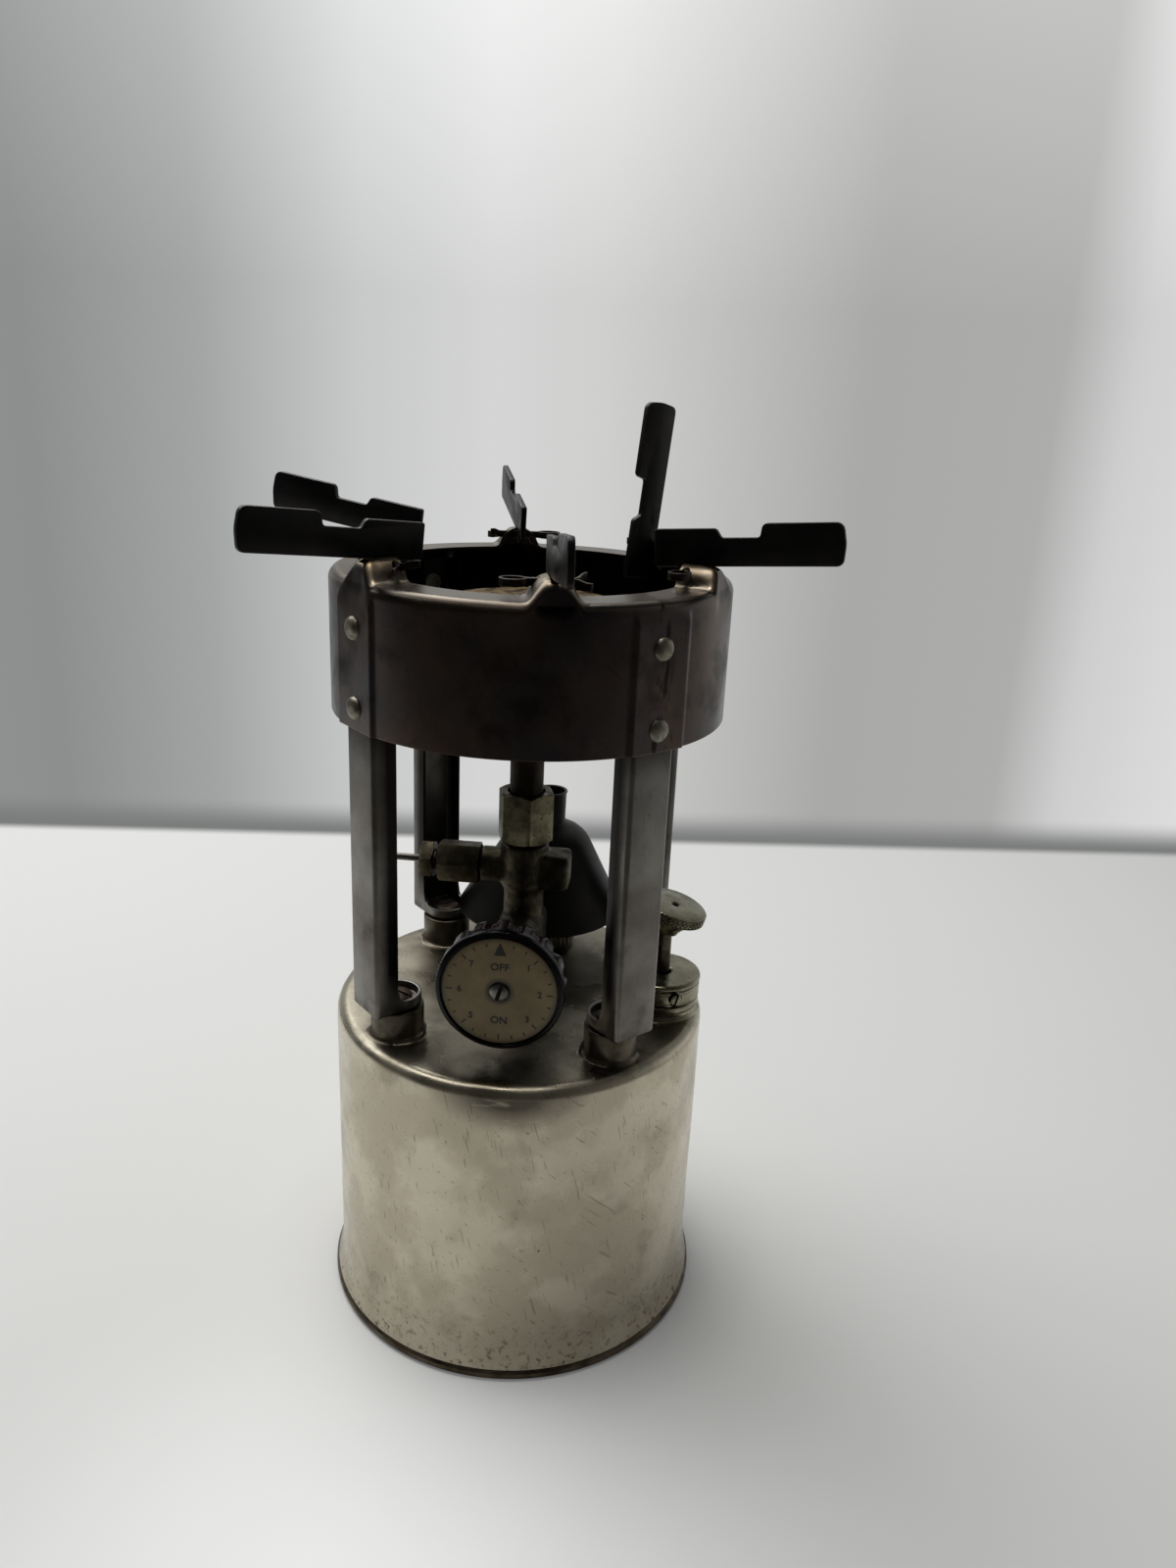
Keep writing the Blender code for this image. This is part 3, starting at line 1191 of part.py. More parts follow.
def make_cleaner(finishes, axis):
    """Gland, packing nut and cranked rod on the left arm of the valve."""
    leftwards = {"location": (0, 0, ARM_AXIS_HEIGHT), "rotation": (0, math.radians(-90), 0)}
    bore = CLEANER_ROD_BORE
    hexagon = hex_radius(CLEANER_GLAND_ACROSS)
    slope = NUT_CHAMFER / 2
    corner = CLEANER_GLAND_ACROSS / math.sqrt(3)

    def cut_row(limit, height):
        return (lambda angle: min(hexagon(angle), limit), height)

    rows = [
        cut_row(corner - slope, CLEANER_GLAND_FROM),
        cut_row(corner, CLEANER_GLAND_FROM + slope),
        cut_row(corner, CLEANER_GLAND_END - slope),
        cut_row(corner - NUT_CHAMFER, CLEANER_GLAND_END),
        round_row(CLEANER_NIPPLE_RADIUS, CLEANER_GLAND_END),
        round_row(CLEANER_NIPPLE_RADIUS, CLEANER_NIPPLE_END),
        round_row(bore, CLEANER_NIPPLE_END),
        round_row(bore, CLEANER_GLAND_FROM),
    ]
    solid("cleaner_gland", loft(rows, NUT_SIDES), finishes["valve_brass"], axis, **leftwards)
    hollow = CLEANER_NIPPLE_RADIUS + GAP
    face = CLEANER_NUT_TO - CLEANER_NUT_FACE
    bores = [(bore, CLEANER_NUT_TO), (bore, face), (hollow, face), (hollow, CLEANER_NUT_FROM)]
    packing = nut(CLEANER_NUT_ACROSS, CLEANER_NUT_FROM, CLEANER_NUT_TO, NUT_CHAMFER, bores)
    solid("cleaner_packing_nut", packing, finishes["valve_brass"], axis, **leftwards)
    bend = CLEANER_CRANK_BEND
    corner = arc((0, 0), bend, 90, 0, 4)
    run = [(-CLEANER_ROD_START, 0, 0)]
    run += [(-(CLEANER_ROD_END - bend + outward), 0, up - bend) for outward, up in corner]
    run.append((-CLEANER_ROD_END, 0, -CLEANER_CRANK_DROP))
    place = (0, 0, ARM_AXIS_HEIGHT)
    wire("cleaner_rod", run, CLEANER_ROD_RADIUS, 2, finishes["steel"], axis, place)


def make_pump(finishes):
    """The pump's barrel, cap and plunger, on their own upright axis."""
    axis = link("pump_axis", None, location=on_bearing(90, PUMP_CENTRE, 0))
    foot = BARREL_FOOT + BARREL_WALL
    collar_foot = TANK_TOP + GAP
    valve_hole = CHECK_SHANK + GAP
    barrel = [
        (BARREL_INSIDE, BARREL_TOP),
        (BARREL_RADIUS, BARREL_TOP),
        (BARREL_RADIUS, COLLAR_TOP),
        (BARREL_COLLAR_RADIUS, COLLAR_TOP),
        (BARREL_COLLAR_RADIUS, collar_foot),
        (BARREL_RADIUS, collar_foot),
        (BARREL_RADIUS, BARREL_FOOT),
        (valve_hole, BARREL_FOOT),
        (valve_hole, foot),
        (BARREL_INSIDE, foot),
    ]
    solid("pump_barrel", turn(barrel, ROUND_SIDES), finishes["brass"], axis)
    head_foot = foot + GAP
    head = head_foot + CHECK_HEAD_HEIGHT
    check = [
        (CHECK_BORE, head),
        (CHECK_HEAD, head),
        (CHECK_HEAD, head_foot),
        (CHECK_SHANK, head_foot),
        (CHECK_SHANK, BARREL_FOOT - CHECK_DROP),
        (CHECK_BORE, BARREL_FOOT - CHECK_DROP),
    ]
    solid("check_valve", turn(check, SMALL_SIDES), finishes["brass"], axis)
    stem = [(0, AIR_STEM_TOP), (AIR_STEM_RADIUS, AIR_STEM_TOP)]
    stem += [(AIR_STEM_RADIUS, AIR_STEM_FOOT + AIR_STEM_RADIUS), (0, AIR_STEM_FOOT)]
    solid("air_stem", turn(stem, RIVET_SIDES), finishes["steel"], axis)

    roll = PUMP_CAP_ROLL
    cap_foot = COLLAR_TOP + GAP
    outside = [(PUMP_ROD_HOLE, PUMP_CAP_TOP)]
    outside += arc((PUMP_CAP_RADIUS - roll, PUMP_CAP_TOP - roll), roll, 90, 0, 3)
    outside.append((PUMP_CAP_RADIUS, cap_foot))
    cap = solid("pump_cap", turn(walled(outside, PUMP_CAP_SHEET), ROUND_SIDES), finishes["nickel"], axis)
    screw_height = cap_foot + PUMP_CAP_SCREW_HEIGHT
    screw_tip = BARREL_RADIUS + GAP
    screw_head = PUMP_CAP_RADIUS + GAP
    screw_end = screw_head + PUMP_CAP_SCREW_HEAD_HEIGHT
    shank = [
        (0, screw_end),
        (PUMP_CAP_SCREW_HEAD * DOME_RADIUS_SHARE, screw_end),
        (PUMP_CAP_SCREW_HEAD, screw_head + PUMP_CAP_SCREW_HEAD_HEIGHT / 2),
        (PUMP_CAP_SCREW_HEAD, screw_head),
        (PUMP_CAP_SCREW_SHANK, screw_head),
        (PUMP_CAP_SCREW_SHANK, screw_tip),
        (0, screw_tip),
    ]
    forwards = {"location": (0, 0, screw_height), "rotation": (math.radians(90), 0, 0)}
    screw = solid("pump_cap_screw", turn(shank, RIVET_SIDES), finishes["zinc"], axis, **forwards)
    half = SCREW_SLOT_WIDTH / 3
    deep = screw_end - PUMP_CAP_SCREW_HEAD_HEIGHT / 2
    reach = PUMP_CAP_SCREW_HEAD + OVERRUN
    slot = box((-reach, -half, deep), (reach, half, screw_end + OVERRUN))
    combine(screw, cutter("pump_cap_screw_slot", slot, axis, **forwards))
    start = (0, -screw_tip, screw_height)
    end = (0, -PUMP_CAP_RADIUS - OVERRUN, screw_height)
    hole = rod(start, end, PUMP_CAP_SCREW_SHANK + GAP, CUTTER_SIDES)
    combine(cap, cutter("pump_cap_hole", hole, axis))

    rod_top = PUMP_KNOB_TOP - PUMP_KNOB_EDGE - 2 * GAP
    tube = [(PUMP_ROD_BORE, rod_top), (PUMP_ROD_RADIUS, rod_top)]
    tube += [(PUMP_ROD_RADIUS, PUMP_ROD_FOOT), (PUMP_ROD_BORE, PUMP_ROD_FOOT)]
    solid("pump_rod", turn(tube, SMALL_SIDES), finishes["nickel"], axis)
    edge = PUMP_KNOB_EDGE
    flare_foot = PUMP_KNOB_FOOT - PUMP_KNOB_FLARE
    knob = [
        (PUMP_AIR_HOLE, PUMP_KNOB_TOP),
        (PUMP_KNOB_RADIUS - edge, PUMP_KNOB_TOP),
        (PUMP_KNOB_RADIUS, PUMP_KNOB_TOP - edge),
        (PUMP_KNOB_RADIUS, PUMP_KNOB_FOOT + edge),
        (PUMP_KNOB_RADIUS - edge, PUMP_KNOB_FOOT),
        (PUMP_KNOB_FLARE_RADIUS, PUMP_KNOB_FOOT),
        (PUMP_KNOB_FLARE_NECK, flare_foot),
        (PUMP_ROD_HOLE, flare_foot),
        (PUMP_ROD_HOLE, rod_top + GAP),
        (PUMP_AIR_HOLE, rod_top + GAP),
    ]
    solid("pump_knob", turn(knob, ROUND_SIDES), finishes["nickel"], axis)

    hole = PUMP_ROD_HOLE
    nut_outline = [(hole, LEATHER_NUT_TOP), (LEATHER_NUT_RADIUS, LEATHER_NUT_TOP)]
    nut_outline += [(LEATHER_NUT_RADIUS, PUMP_ROD_FOOT), (hole, PUMP_ROD_FOOT)]
    solid("leather_nut", turn(nut_outline, SMALL_SIDES), finishes["brass"], axis)
    shoulder = LEATHER_SHOULDER
    cup = [(hole, LEATHER_TOP), (LEATHER_RADIUS - shoulder, LEATHER_TOP)]
    cup += [(LEATHER_RADIUS, LEATHER_TOP - shoulder), (LEATHER_RADIUS, LEATHER_TOP - LEATHER_SKIRT)]
    solid("pump_leather", turn(walled(cup, LEATHER_THICKNESS), NUT_SIDES), finishes["leather"], axis)


def make_filler(finishes):
    """The filler's neck, gasket and screw cap, behind the valve."""
    axis = link("filler_axis", None, location=on_bearing(180, FILLER_CENTRE, 0))
    foot = TANK_TOP + GAP
    drop = TANK_TOP - FILLER_DROP
    neck = [
        (FILLER_BORE, FILLER_TOP),
        (FILLER_OUTER, FILLER_TOP),
        (FILLER_OUTER, foot + FILLER_SOLDER),
        (FILLER_OUTER + FILLER_SOLDER, foot),
        (FILLER_OUTER, foot),
        (FILLER_OUTER, drop),
        (FILLER_BORE, drop),
    ]
    solid("filler_neck", turn(neck, ROUND_SIDES), finishes["brass"], axis)
    seal = FILLER_OUTER
    gasket = [(0, GASKET_FOOT + GASKET_THICKNESS), (seal, GASKET_FOOT + GASKET_THICKNESS)]
    gasket += [(seal, GASKET_FOOT), (0, GASKET_FOOT)]
    solid("filler_gasket", turn(gasket, SMALL_SIDES), finishes["rubber"], axis)
    inside = FILLER_CAP_RADIUS - FILLER_CAP_WALL
    top = CAP_CEILING + FILLER_CAP_TOP
    skirt = CAP_CEILING - FILLER_CAP_SKIRT
    edge = FILLER_CAP_EDGE

    def knurled(limit):
        return lambda angle: limit - edge / 4 * (1 - math.cos(ROUND_SIDES / 2 * angle))

    rows = [
        round_row(inside, CAP_CEILING),
        round_row(inside, skirt),
        (knurled(FILLER_CAP_RADIUS), skirt),
        (knurled(FILLER_CAP_RADIUS), top - edge),
        (knurled(FILLER_CAP_RADIUS - edge), top),
    ]
    cap = loft(rows, ROUND_SIDES, closed=False)
    solid("filler_cap", cap, finishes["nickel"], axis)


def make_funnel(finishes):
    """The sheet funnel, upside down on the rear legs' pans, spout up."""
    axis = link("funnel_axis", None, location=on_bearing(180, FILLER_CENTRE, FUNNEL_FOOT))
    cone_end = FUNNEL_MOUTH - FUNNEL_CONE * math.tan(FUNNEL_HALF_ANGLE)
    shoulder = FUNNEL_RIM + FUNNEL_CONE
    spout_foot = shoulder + FUNNEL_SHOULDER
    outside = [(FUNNEL_SPOUT_END, FUNNEL_HEIGHT), (FUNNEL_SPOUT_ROOT, spout_foot)]
    for across_share, down_share in FUNNEL_CURVE_SHARES:
        radius = FUNNEL_SPOUT_ROOT + (cone_end - FUNNEL_SPOUT_ROOT) * across_share
        outside.append((radius, spout_foot - FUNNEL_SHOULDER * down_share))
    outside += [(cone_end, shoulder), (FUNNEL_MOUTH, FUNNEL_RIM), (FUNNEL_MOUTH, 0)]
    solid("funnel", turn(walled(outside, FUNNEL_SHEET), ROUND_SIDES + 8), finishes["dark_sheet"], axis)


def make_hole_cutters():
    """The cutters that several pieces share: rivet holes and the arms' pin holes."""
    holes = bmesh.new()
    for bearing in LEG_BEARINGS.values():
        for height in RIVET_HEIGHTS:
            start = on_bearing(bearing, LEG_OUTSIDE - LEG_SHEET - OVERRUN, height)
            end = on_bearing(bearing, FLAT_DISTANCE + OVERRUN, height)
            rod(start, end, RIVET_SHANK + GAP, RIVET_SIDES, holes)
    rivet_holes = cutter("rivet_holes", holes)
    pins = bmesh.new()
    hole = PIN_SPREAD + PIN_WIRE + GAP
    for bearing in EAR_BEARINGS:
        turned = bearing_matrix(bearing)
        start = turned @ Vector((-EAR_HALF_WIDTH, -PIN_CENTRE, PIN_HEIGHT))
        end = turned @ Vector((EAR_HALF_WIDTH, -PIN_CENTRE, PIN_HEIGHT))
        rod(start, end, hole, CUTTER_SIDES, pins)
    return rivet_holes, cutter("pin_holes", pins)


def make_finishes():
    """The finish of every kind of piece."""
    table = {
        "nickel": ("8D857A", 0.38, 0.9),
        "tin": ("77716A", 0.45, 0.85),
        "satin_nickel": ("8C8A86", 0.4, 0.85),
        "scorched": ("2E2925", 0.5, 0.7),
        "black_steel": ("121011", 0.55, 0.4),
        "zinc": ("8F8D88", 0.45, 0.85),
        "steel": ("7C7C7A", 0.35, 0.9),
        "brass": ("8A7444", 0.42, 0.9),
        "valve_brass": ("5B523E", 0.48, 0.85),
        "burner_brass": ("7A653F", 0.45, 0.85),
        "burner_steel": ("4A413A", 0.5, 0.75),
        "bakelite": ("2C1216", 0.25, 0),
        "cream": ("A08F6E", 0.5, 0),
        "rubber": ("1B1B1B", 0.7, 0),
        "leather": ("5A3D26", 0.7, 0),
        "dark_sheet": ("34332F", 0.45, 0.75),
    }
    return {name: make_finish(name, *values) for name, values in table.items()}


def main():
    """Build every piece of the stove in an emptied scene."""
    for thing in list(bpy.data.objects):
        bpy.data.objects.remove(thing)
    finishes = make_finishes()
    rivet_holes, pin_holes = make_hole_cutters()
    make_tank(finishes)
    make_posts(finishes)
    make_legs(finishes, rivet_holes)
    make_foot_screws(finishes)
    make_case(finishes, pin_holes)
    make_arms(finishes, pin_holes)
    for number, bearing in enumerate(EAR_BEARINGS, start=1):
        place = on_bearing(bearing, PIN_CENTRE, PIN_HEIGHT)
        turned = (0, 0, math.radians(bearing))
        wire(f"split_pin_{number}", pin_run(), PIN_WIRE, 1, finishes["zinc"], None, place, turned)
    make_burner(finishes)
    valve_axis = link("valve_axis", None, rotation=(0, 0, math.radians(VALVE_TURN)))
    make_valve_body(finishes, valve_axis)
    make_valve_trim(finishes, valve_axis)
    make_knob(finishes, valve_axis)
    make_generator(finishes, valve_axis)
    make_cleaner(finishes, valve_axis)
    make_pump(finishes)
    make_filler(finishes)
    make_funnel(finishes)


main()
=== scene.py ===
"""The looks of a single burner camp stove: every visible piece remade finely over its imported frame.

Shapes are written in millimetres and made in metres, +Z up, the valve knob towards -Y, the pump at +X.
A bearing is counted in degrees from -Y towards +X.
"""

import logging
import math
from collections.abc import Callable, Iterator, Sequence
from contextlib import contextmanager
from dataclasses import dataclass
from enum import Enum

import bpy
from mathutils import Matrix, Vector, noise

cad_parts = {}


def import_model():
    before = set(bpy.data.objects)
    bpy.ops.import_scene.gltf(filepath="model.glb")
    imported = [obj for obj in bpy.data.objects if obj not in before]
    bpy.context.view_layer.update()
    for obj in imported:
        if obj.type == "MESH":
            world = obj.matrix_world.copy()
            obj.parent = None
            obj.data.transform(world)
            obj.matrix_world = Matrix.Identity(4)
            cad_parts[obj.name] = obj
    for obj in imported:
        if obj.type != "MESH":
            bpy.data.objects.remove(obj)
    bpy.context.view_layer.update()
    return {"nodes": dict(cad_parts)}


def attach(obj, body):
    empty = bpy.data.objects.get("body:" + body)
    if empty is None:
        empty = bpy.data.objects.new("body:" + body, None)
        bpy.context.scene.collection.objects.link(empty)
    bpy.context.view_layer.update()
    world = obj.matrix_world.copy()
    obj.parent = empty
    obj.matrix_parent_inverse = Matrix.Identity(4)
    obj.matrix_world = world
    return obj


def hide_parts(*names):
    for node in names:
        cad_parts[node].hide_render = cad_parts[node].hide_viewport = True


log = logging.getLogger("camp_stove")
MM = 0.001
WELD = 0.000004
FULL_TURN = 2 * math.pi
Point = tuple[float, float, float]
Flat = tuple[float, float]
Piece = bpy.types.Object
Socket = bpy.types.NodeSocket

LEG_BEARINGS = {"left_front": -45, "right_front": 45, "right_rear": 135, "left_rear": -135}
EAR_BEARINGS = (15, 75, 135, 195, 255, 315)
VALVE_TURN = 1.3
TANK_TOP = 84.3
POST_CENTRE = 38.0
PUMP_CENTRE = 37.6
FILLER_CENTRE = 31.0
PIN_CENTRE = 39.3
PIN_HEIGHT = 201.2
STEM_HEIGHT = 104.0


# Modelling tools
def spot(x: float, y: float, z: float) -> Vector:
    """A point given in millimetres, in metres."""
    return Vector((x, y, z)) * MM


def at(x: float, y: float, z: float) -> Matrix:
    """The place x, y, z, in millimetres."""
    return Matrix.Translation(spot(x, y, z))


def turned(axis: str, degrees: float) -> Matrix:
    """A turn round one axis."""
    return Matrix.Rotation(math.radians(degrees), 4, axis)


def smooth_step(value: float, start: float, end: float) -> float:
    """How far value has come from start to end, eased from 0 to 1.

    Args:
        value: the number looked at.
        start: where the share is 0.
        end: where the share is 1.

    Returns:
        The eased share.
    """
    share = min(1.0, max(0.0, (value - start) / (end - start)))
    return share * share * (3 - 2 * share)


def arc(across: float, up: float, radius: float, start: float, end: float, steps: int) -> list[Flat]:
    """Points on a circle round (across, up).

    Args:
        across: the centre's first coordinate.
        up: the centre's second coordinate.
        radius: the circle's radius.
        start: the first angle, in degrees.
        end: the last angle, in degrees.
        steps: how many steps lie between them.

    Returns:
        steps + 1 points.
    """
    angles = [math.radians(start + (end - start) * step / steps) for step in range(steps + 1)]
    return [(across + radius * math.cos(a), up + radius * math.sin(a)) for a in angles]


def rounded(corners: Sequence[tuple[float, float, float]], steps: int = 4) -> list[Flat]:
    """A closed outline whose corners are rounded.

    Args:
        corners: (across, up, radius) for each corner, in order.
        steps: steps in each rounding.

    Returns:
        The outline's points.
    """
    points: list[Flat] = []
    for index, (x, y, radius) in enumerate(corners):
        here = Vector((x, y))
        before = (Vector(corners[index - 1][:2]) - here).normalized()
        after = (Vector(corners[(index + 1) % len(corners)][:2]) - here).normalized()
        opening = before.angle(after)
        if radius <= 0 or opening > math.pi - 0.02:
            points.append((x, y))
            continue
        away = radius / math.tan(opening / 2)
        centre = here + (before + after).normalized() * (radius / math.sin(opening / 2))
        first = here + before * away - centre
        sweep = first.angle_signed(here + after * away - centre)
        for step in range(steps + 1):
            angle = sweep * step / steps
            cos, sin = math.cos(angle), math.sin(angle)
            ray = Vector((first.x * cos + first.y * sin, first.y * cos - first.x * sin))
            points.append(tuple(centre + ray))
    return points


def pick(piece: Piece) -> None:
    """Selects one piece alone and makes it active.

    Args:
        piece: the piece.
    """
    bpy.ops.object.select_all(action="DESELECT")
    piece.select_set(True)
    bpy.context.view_layer.objects.active = piece


@contextmanager
def edit_mode(piece: Piece, kept: bool = False) -> Iterator[None]:
    """Edit mode on one piece, and Object mode again after it.

    Args:
        piece: the piece.
        kept: whether the points selected before stay the selection, and not all of the piece.

    Yields:
        Nothing.
    """
    pick(piece)
    bpy.ops.object.mode_set(mode="EDIT")
    if kept:
        bpy.ops.mesh.select_mode(type="VERT")
    else:
        bpy.ops.mesh.select_all(action="SELECT")
    yield
    bpy.ops.object.mode_set(mode="OBJECT")


def tidy_faces() -> None:
    """In edit mode: merges doubles, then turns all faces outwards."""
    bpy.ops.mesh.select_all(action="SELECT")
    bpy.ops.mesh.remove_doubles(threshold=WELD)
    bpy.ops.mesh.normals_make_consistent(inside=False)


def draw(name: str, points: Sequence[Point], closed: bool = False) -> Piece:
    """Draws a run of edges, one extrusion after another from a single point.

    Args:
        name: the piece's name.
        points: the run, in millimetres.
        closed: whether the run goes back to its first point.

    Returns:
        The piece, edges only.
    """
    bpy.ops.object.select_all(action="DESELECT")
    bpy.ops.mesh.primitive_plane_add(size=MM)
    piece = bpy.context.object
    piece.name = piece.data.name = name
    run = [spot(*point) for point in points]
    run += run[:1] if closed else []
    with edit_mode(piece):
        bpy.ops.mesh.merge(type="CENTER")
        bpy.ops.transform.translate(value=run[0])
        for near, far in zip(run, run[1:]):
            bpy.ops.mesh.extrude_region_move(TRANSFORM_OT_translate={"value": far - near})
        bpy.ops.mesh.select_all(action="SELECT")
        bpy.ops.mesh.remove_doubles(threshold=WELD)
    return piece


def turn(name: str, outline: Sequence[Flat], sides: int = 64, closed: bool = True) -> Piece:
    """Turns an outline round the upright axis, as on a lathe.

    Args:
        name: the piece's name.
        outline: (radius, height) points of the wall's section.
        sides: steps round the axis.
        closed: whether the outline is a closed section, or runs from the axis to the axis.

    Returns:
        The turned piece.
    """
    piece = draw(name, [(radius, 0, height) for radius, height in outline], closed)
    with edit_mode(piece):
        bpy.ops.mesh.spin(steps=sides, angle=FULL_TURN, center=(0, 0, 0), axis=(0, 0, 1))
        tidy_faces()
    return piece


def plate(name: str, outline: Sequence[Point], thickness: Point) -> Piece:
    """Cuts a plate from its outline and gives it its thickness.

    Args:
        name: the piece's name.
        outline: its corners in order, all in one plane.
        thickness: the way and how far it is extruded.

    Returns:
        The plate.
    """
    piece = draw(name, outline, closed=True)
    with edit_mode(piece):
        bpy.ops.mesh.edge_face_add()
        bpy.ops.mesh.extrude_region_move(TRANSFORM_OT_translate={"value": spot(*thickness)})
        tidy_faces()
    return piece


def tube(name: str, points: Sequence[Point], radius: float, rings: int = 3) -> Piece:
    """Bends a round wire along points.

    Args:
        name: the piece's name.
        points: the wire's middle line.
        radius: the wire's radius.
        rings: how finely it is rounded.

    Returns:
        The wire, closed at its ends.
    """
    piece = draw(name, points)
    pick(piece)
    bpy.ops.object.convert(target="CURVE")
    curve = bpy.context.object
    curve.data.bevel_depth = radius * MM
    curve.data.bevel_resolution = rings
    curve.data.use_fill_caps = True
    bpy.ops.object.convert(target="MESH")
    piece = bpy.context.object
    with edit_mode(piece):
        tidy_faces()
    return piece


def shape(piece: Piece, kind: str, **settings: object) -> Piece:
    """Adds a modifier with its settings and applies it.

    Args:
        piece: what it works on.
        kind: the modifier's type.
        **settings: its settings.

    Returns:
        The same piece.
    """
    pick(piece)
    modifier = piece.modifiers.new(kind.title(), kind)
    for key, value in settings.items():
        setattr(modifier, key, value)
    bpy.ops.object.modifier_apply(modifier=modifier.name)
    return piece


def carve(piece: Piece, tool: Piece, operation: str = "DIFFERENCE") -> Piece:
    """Cuts a piece with a tool, or joins the tool to it, and throws the tool away.

    Args:
        piece: what is changed.
        tool: the closed shape that cuts or joins.
        operation: the Boolean's operation.

    Returns:
        The same piece.
    """
    shape(piece, "BOOLEAN", operation=operation, object=tool, solver="EXACT")
    bpy.data.objects.remove(tool)
    return piece


def soften(piece: Piece, width: float, segments: int = 2, angle: float = 35) -> Piece:
    """Breaks a piece's sharp edges.

    Args:
        piece: what is softened.
        width: the rounding's width, in millimetres.
        segments: its steps.
        angle: edges sharper than this are taken, in degrees.

    Returns:
        The same piece.
    """
    limit = math.radians(angle)
    return shape(
        piece, "BEVEL", width=width * MM, segments=segments, limit_method="ANGLE", angle_limit=limit
    )


def settle(piece: Piece, place: Matrix) -> Piece:
    """Moves a piece to its place and keeps the place in its mesh.

    Args:
        piece: the piece.
        place: where it goes.

    Returns:
        The same piece, its object at the origin.
    """
    pick(piece)
    piece.matrix_world = place
    bpy.ops.object.transform_apply(location=True, rotation=True, scale=True)
    return piece


def twin(piece: Piece, name: str, place: Matrix) -> Piece:
    """A copy of a piece with a mesh of its own.

    Args:
        piece: the pattern.
        name: the copy's name.
        place: how it is moved from the pattern's place.

    Returns:
        The copy.
    """
    pick(piece)
    bpy.ops.object.duplicate()
    copy = bpy.context.object
    copy.name = copy.data.name = name
    return settle(copy, place)


def press(piece: Piece, move: Callable[[float, float, float], Point]) -> Piece:
    """Presses a piece into form point by point.

    Args:
        piece: what is pressed.
        move: gives a point's new place from its old one, in millimetres.

    Returns:
        The same piece.
    """
    for vertex in piece.data.vertices:
        vertex.co = spot(*move(*(vertex.co / MM)))
    piece.data.update()
    return piece


def drill(radius: float, low: float, high: float, place: Matrix, sides: int = 32) -> Piece:
    """A round cutting tool along its own Z.

    Args:
        radius: its radius.
        low: its lower end.
        high: its upper end.
        place: where it is put.
        sides: how many sides it has.

    Returns:
        The tool.
    """
    bpy.ops.object.select_all(action="DESELECT")
    bpy.ops.mesh.primitive_cylinder_add(
        vertices=sides, radius=radius * MM, depth=(high - low) * MM, location=(0, 0, (low + high) / 2 * MM)
    )
    return settle(bpy.context.object, place @ bpy.context.object.matrix_world)


def block(low: Point, high: Point, place: Matrix) -> Piece:
    """A square cutting tool.

    Args:
        low: its lowest corner.
        high: its highest corner.
        place: where it is put.

    Returns:
        The tool.
    """
    bpy.ops.object.select_all(action="DESELECT")
    middle = (spot(*low) + spot(*high)) / 2
    bpy.ops.mesh.primitive_cube_add(size=1, location=middle, scale=spot(*high) - spot(*low))
    return settle(bpy.context.object, place @ bpy.context.object.matrix_world)


def hexagon(name: str, across: float, low: float, high: float, bore: float, corner: float = 0) -> Piece:
    """A hexagon nut with turned chamfers at both ends.

    Args:
        name: the piece's name.
        across: the size across its flats.
        low: its lower end.
        high: its upper end.
        bore: the radius of its hole.
        corner: the angle of one corner round its axis, in degrees.

    Returns:
        The nut, along Z.
    """
    limit = across / math.sqrt(3)
    chamfer = across * 0.07
    outline = [
        (bore, low),
        (limit - chamfer, low),
        (limit + 0.1, low + chamfer * 0.62),
        (limit + 0.1, high - chamfer * 0.62),
        (limit - chamfer, high),
        (bore, high),
    ]
    nut = turn(name, outline, 72)
    prism = drill(limit, low - 1, high + 1, turned("Z", corner), 6)
    carve(nut, prism, "INTERSECT")
    return soften(nut, across * 0.012, 2, 25)


# Colour and surface
def linear(code: str) -> tuple[float, float, float, float]:
    """A hex sRGB colour as linear red, green, blue and alpha.

    Args:
        code: the colour, such as "#8A8071".

    Returns:
        The linear colour, opaque.
    """
    parts = [int(code[index : index + 2], 16) / 255 for index in (1, 3, 5)]
    red, green, blue = [p / 12.92 if p <= 0.04045 else ((p + 0.055) / 1.055) ** 2.4 for p in parts]
    return red, green, blue, 1.0


def add(
    tree: bpy.types.NodeTree,
    kind: str,
    inputs: dict | None = None,
    stops: Sequence = (),
    out: int | str = 0,
    **settings: object,
) -> Socket:
    """Adds one node, sets it up, links it, and gives one of its outputs.

    Args:
        tree: the material's nodes.
        kind: the node's type.
        inputs: socket names or numbers, each with a value or another node's output.
        stops: a ramp's (position, linear colour or grey) stops.
        out: the name or number of the output that is wanted.
        **settings: the node's own settings.

    Returns:
        The node's output.
    """
    node = tree.nodes.new(kind)
    for key, value in settings.items():
        setattr(node, key, value)
    for key, value in (inputs or {}).items():
        if isinstance(value, Socket):
            tree.links.new(value, node.inputs[key])
        else:
            node.inputs[key].default_value = value
    if stops:
        elements = node.color_ramp.elements
        while len(elements) < len(stops):
            elements.new(0.5)
        for element, (position, colour) in zip(elements, stops):
            element.position = position
            element.color = colour if isinstance(colour, tuple) else (colour, colour, colour, 1)
    return node.outputs[out]


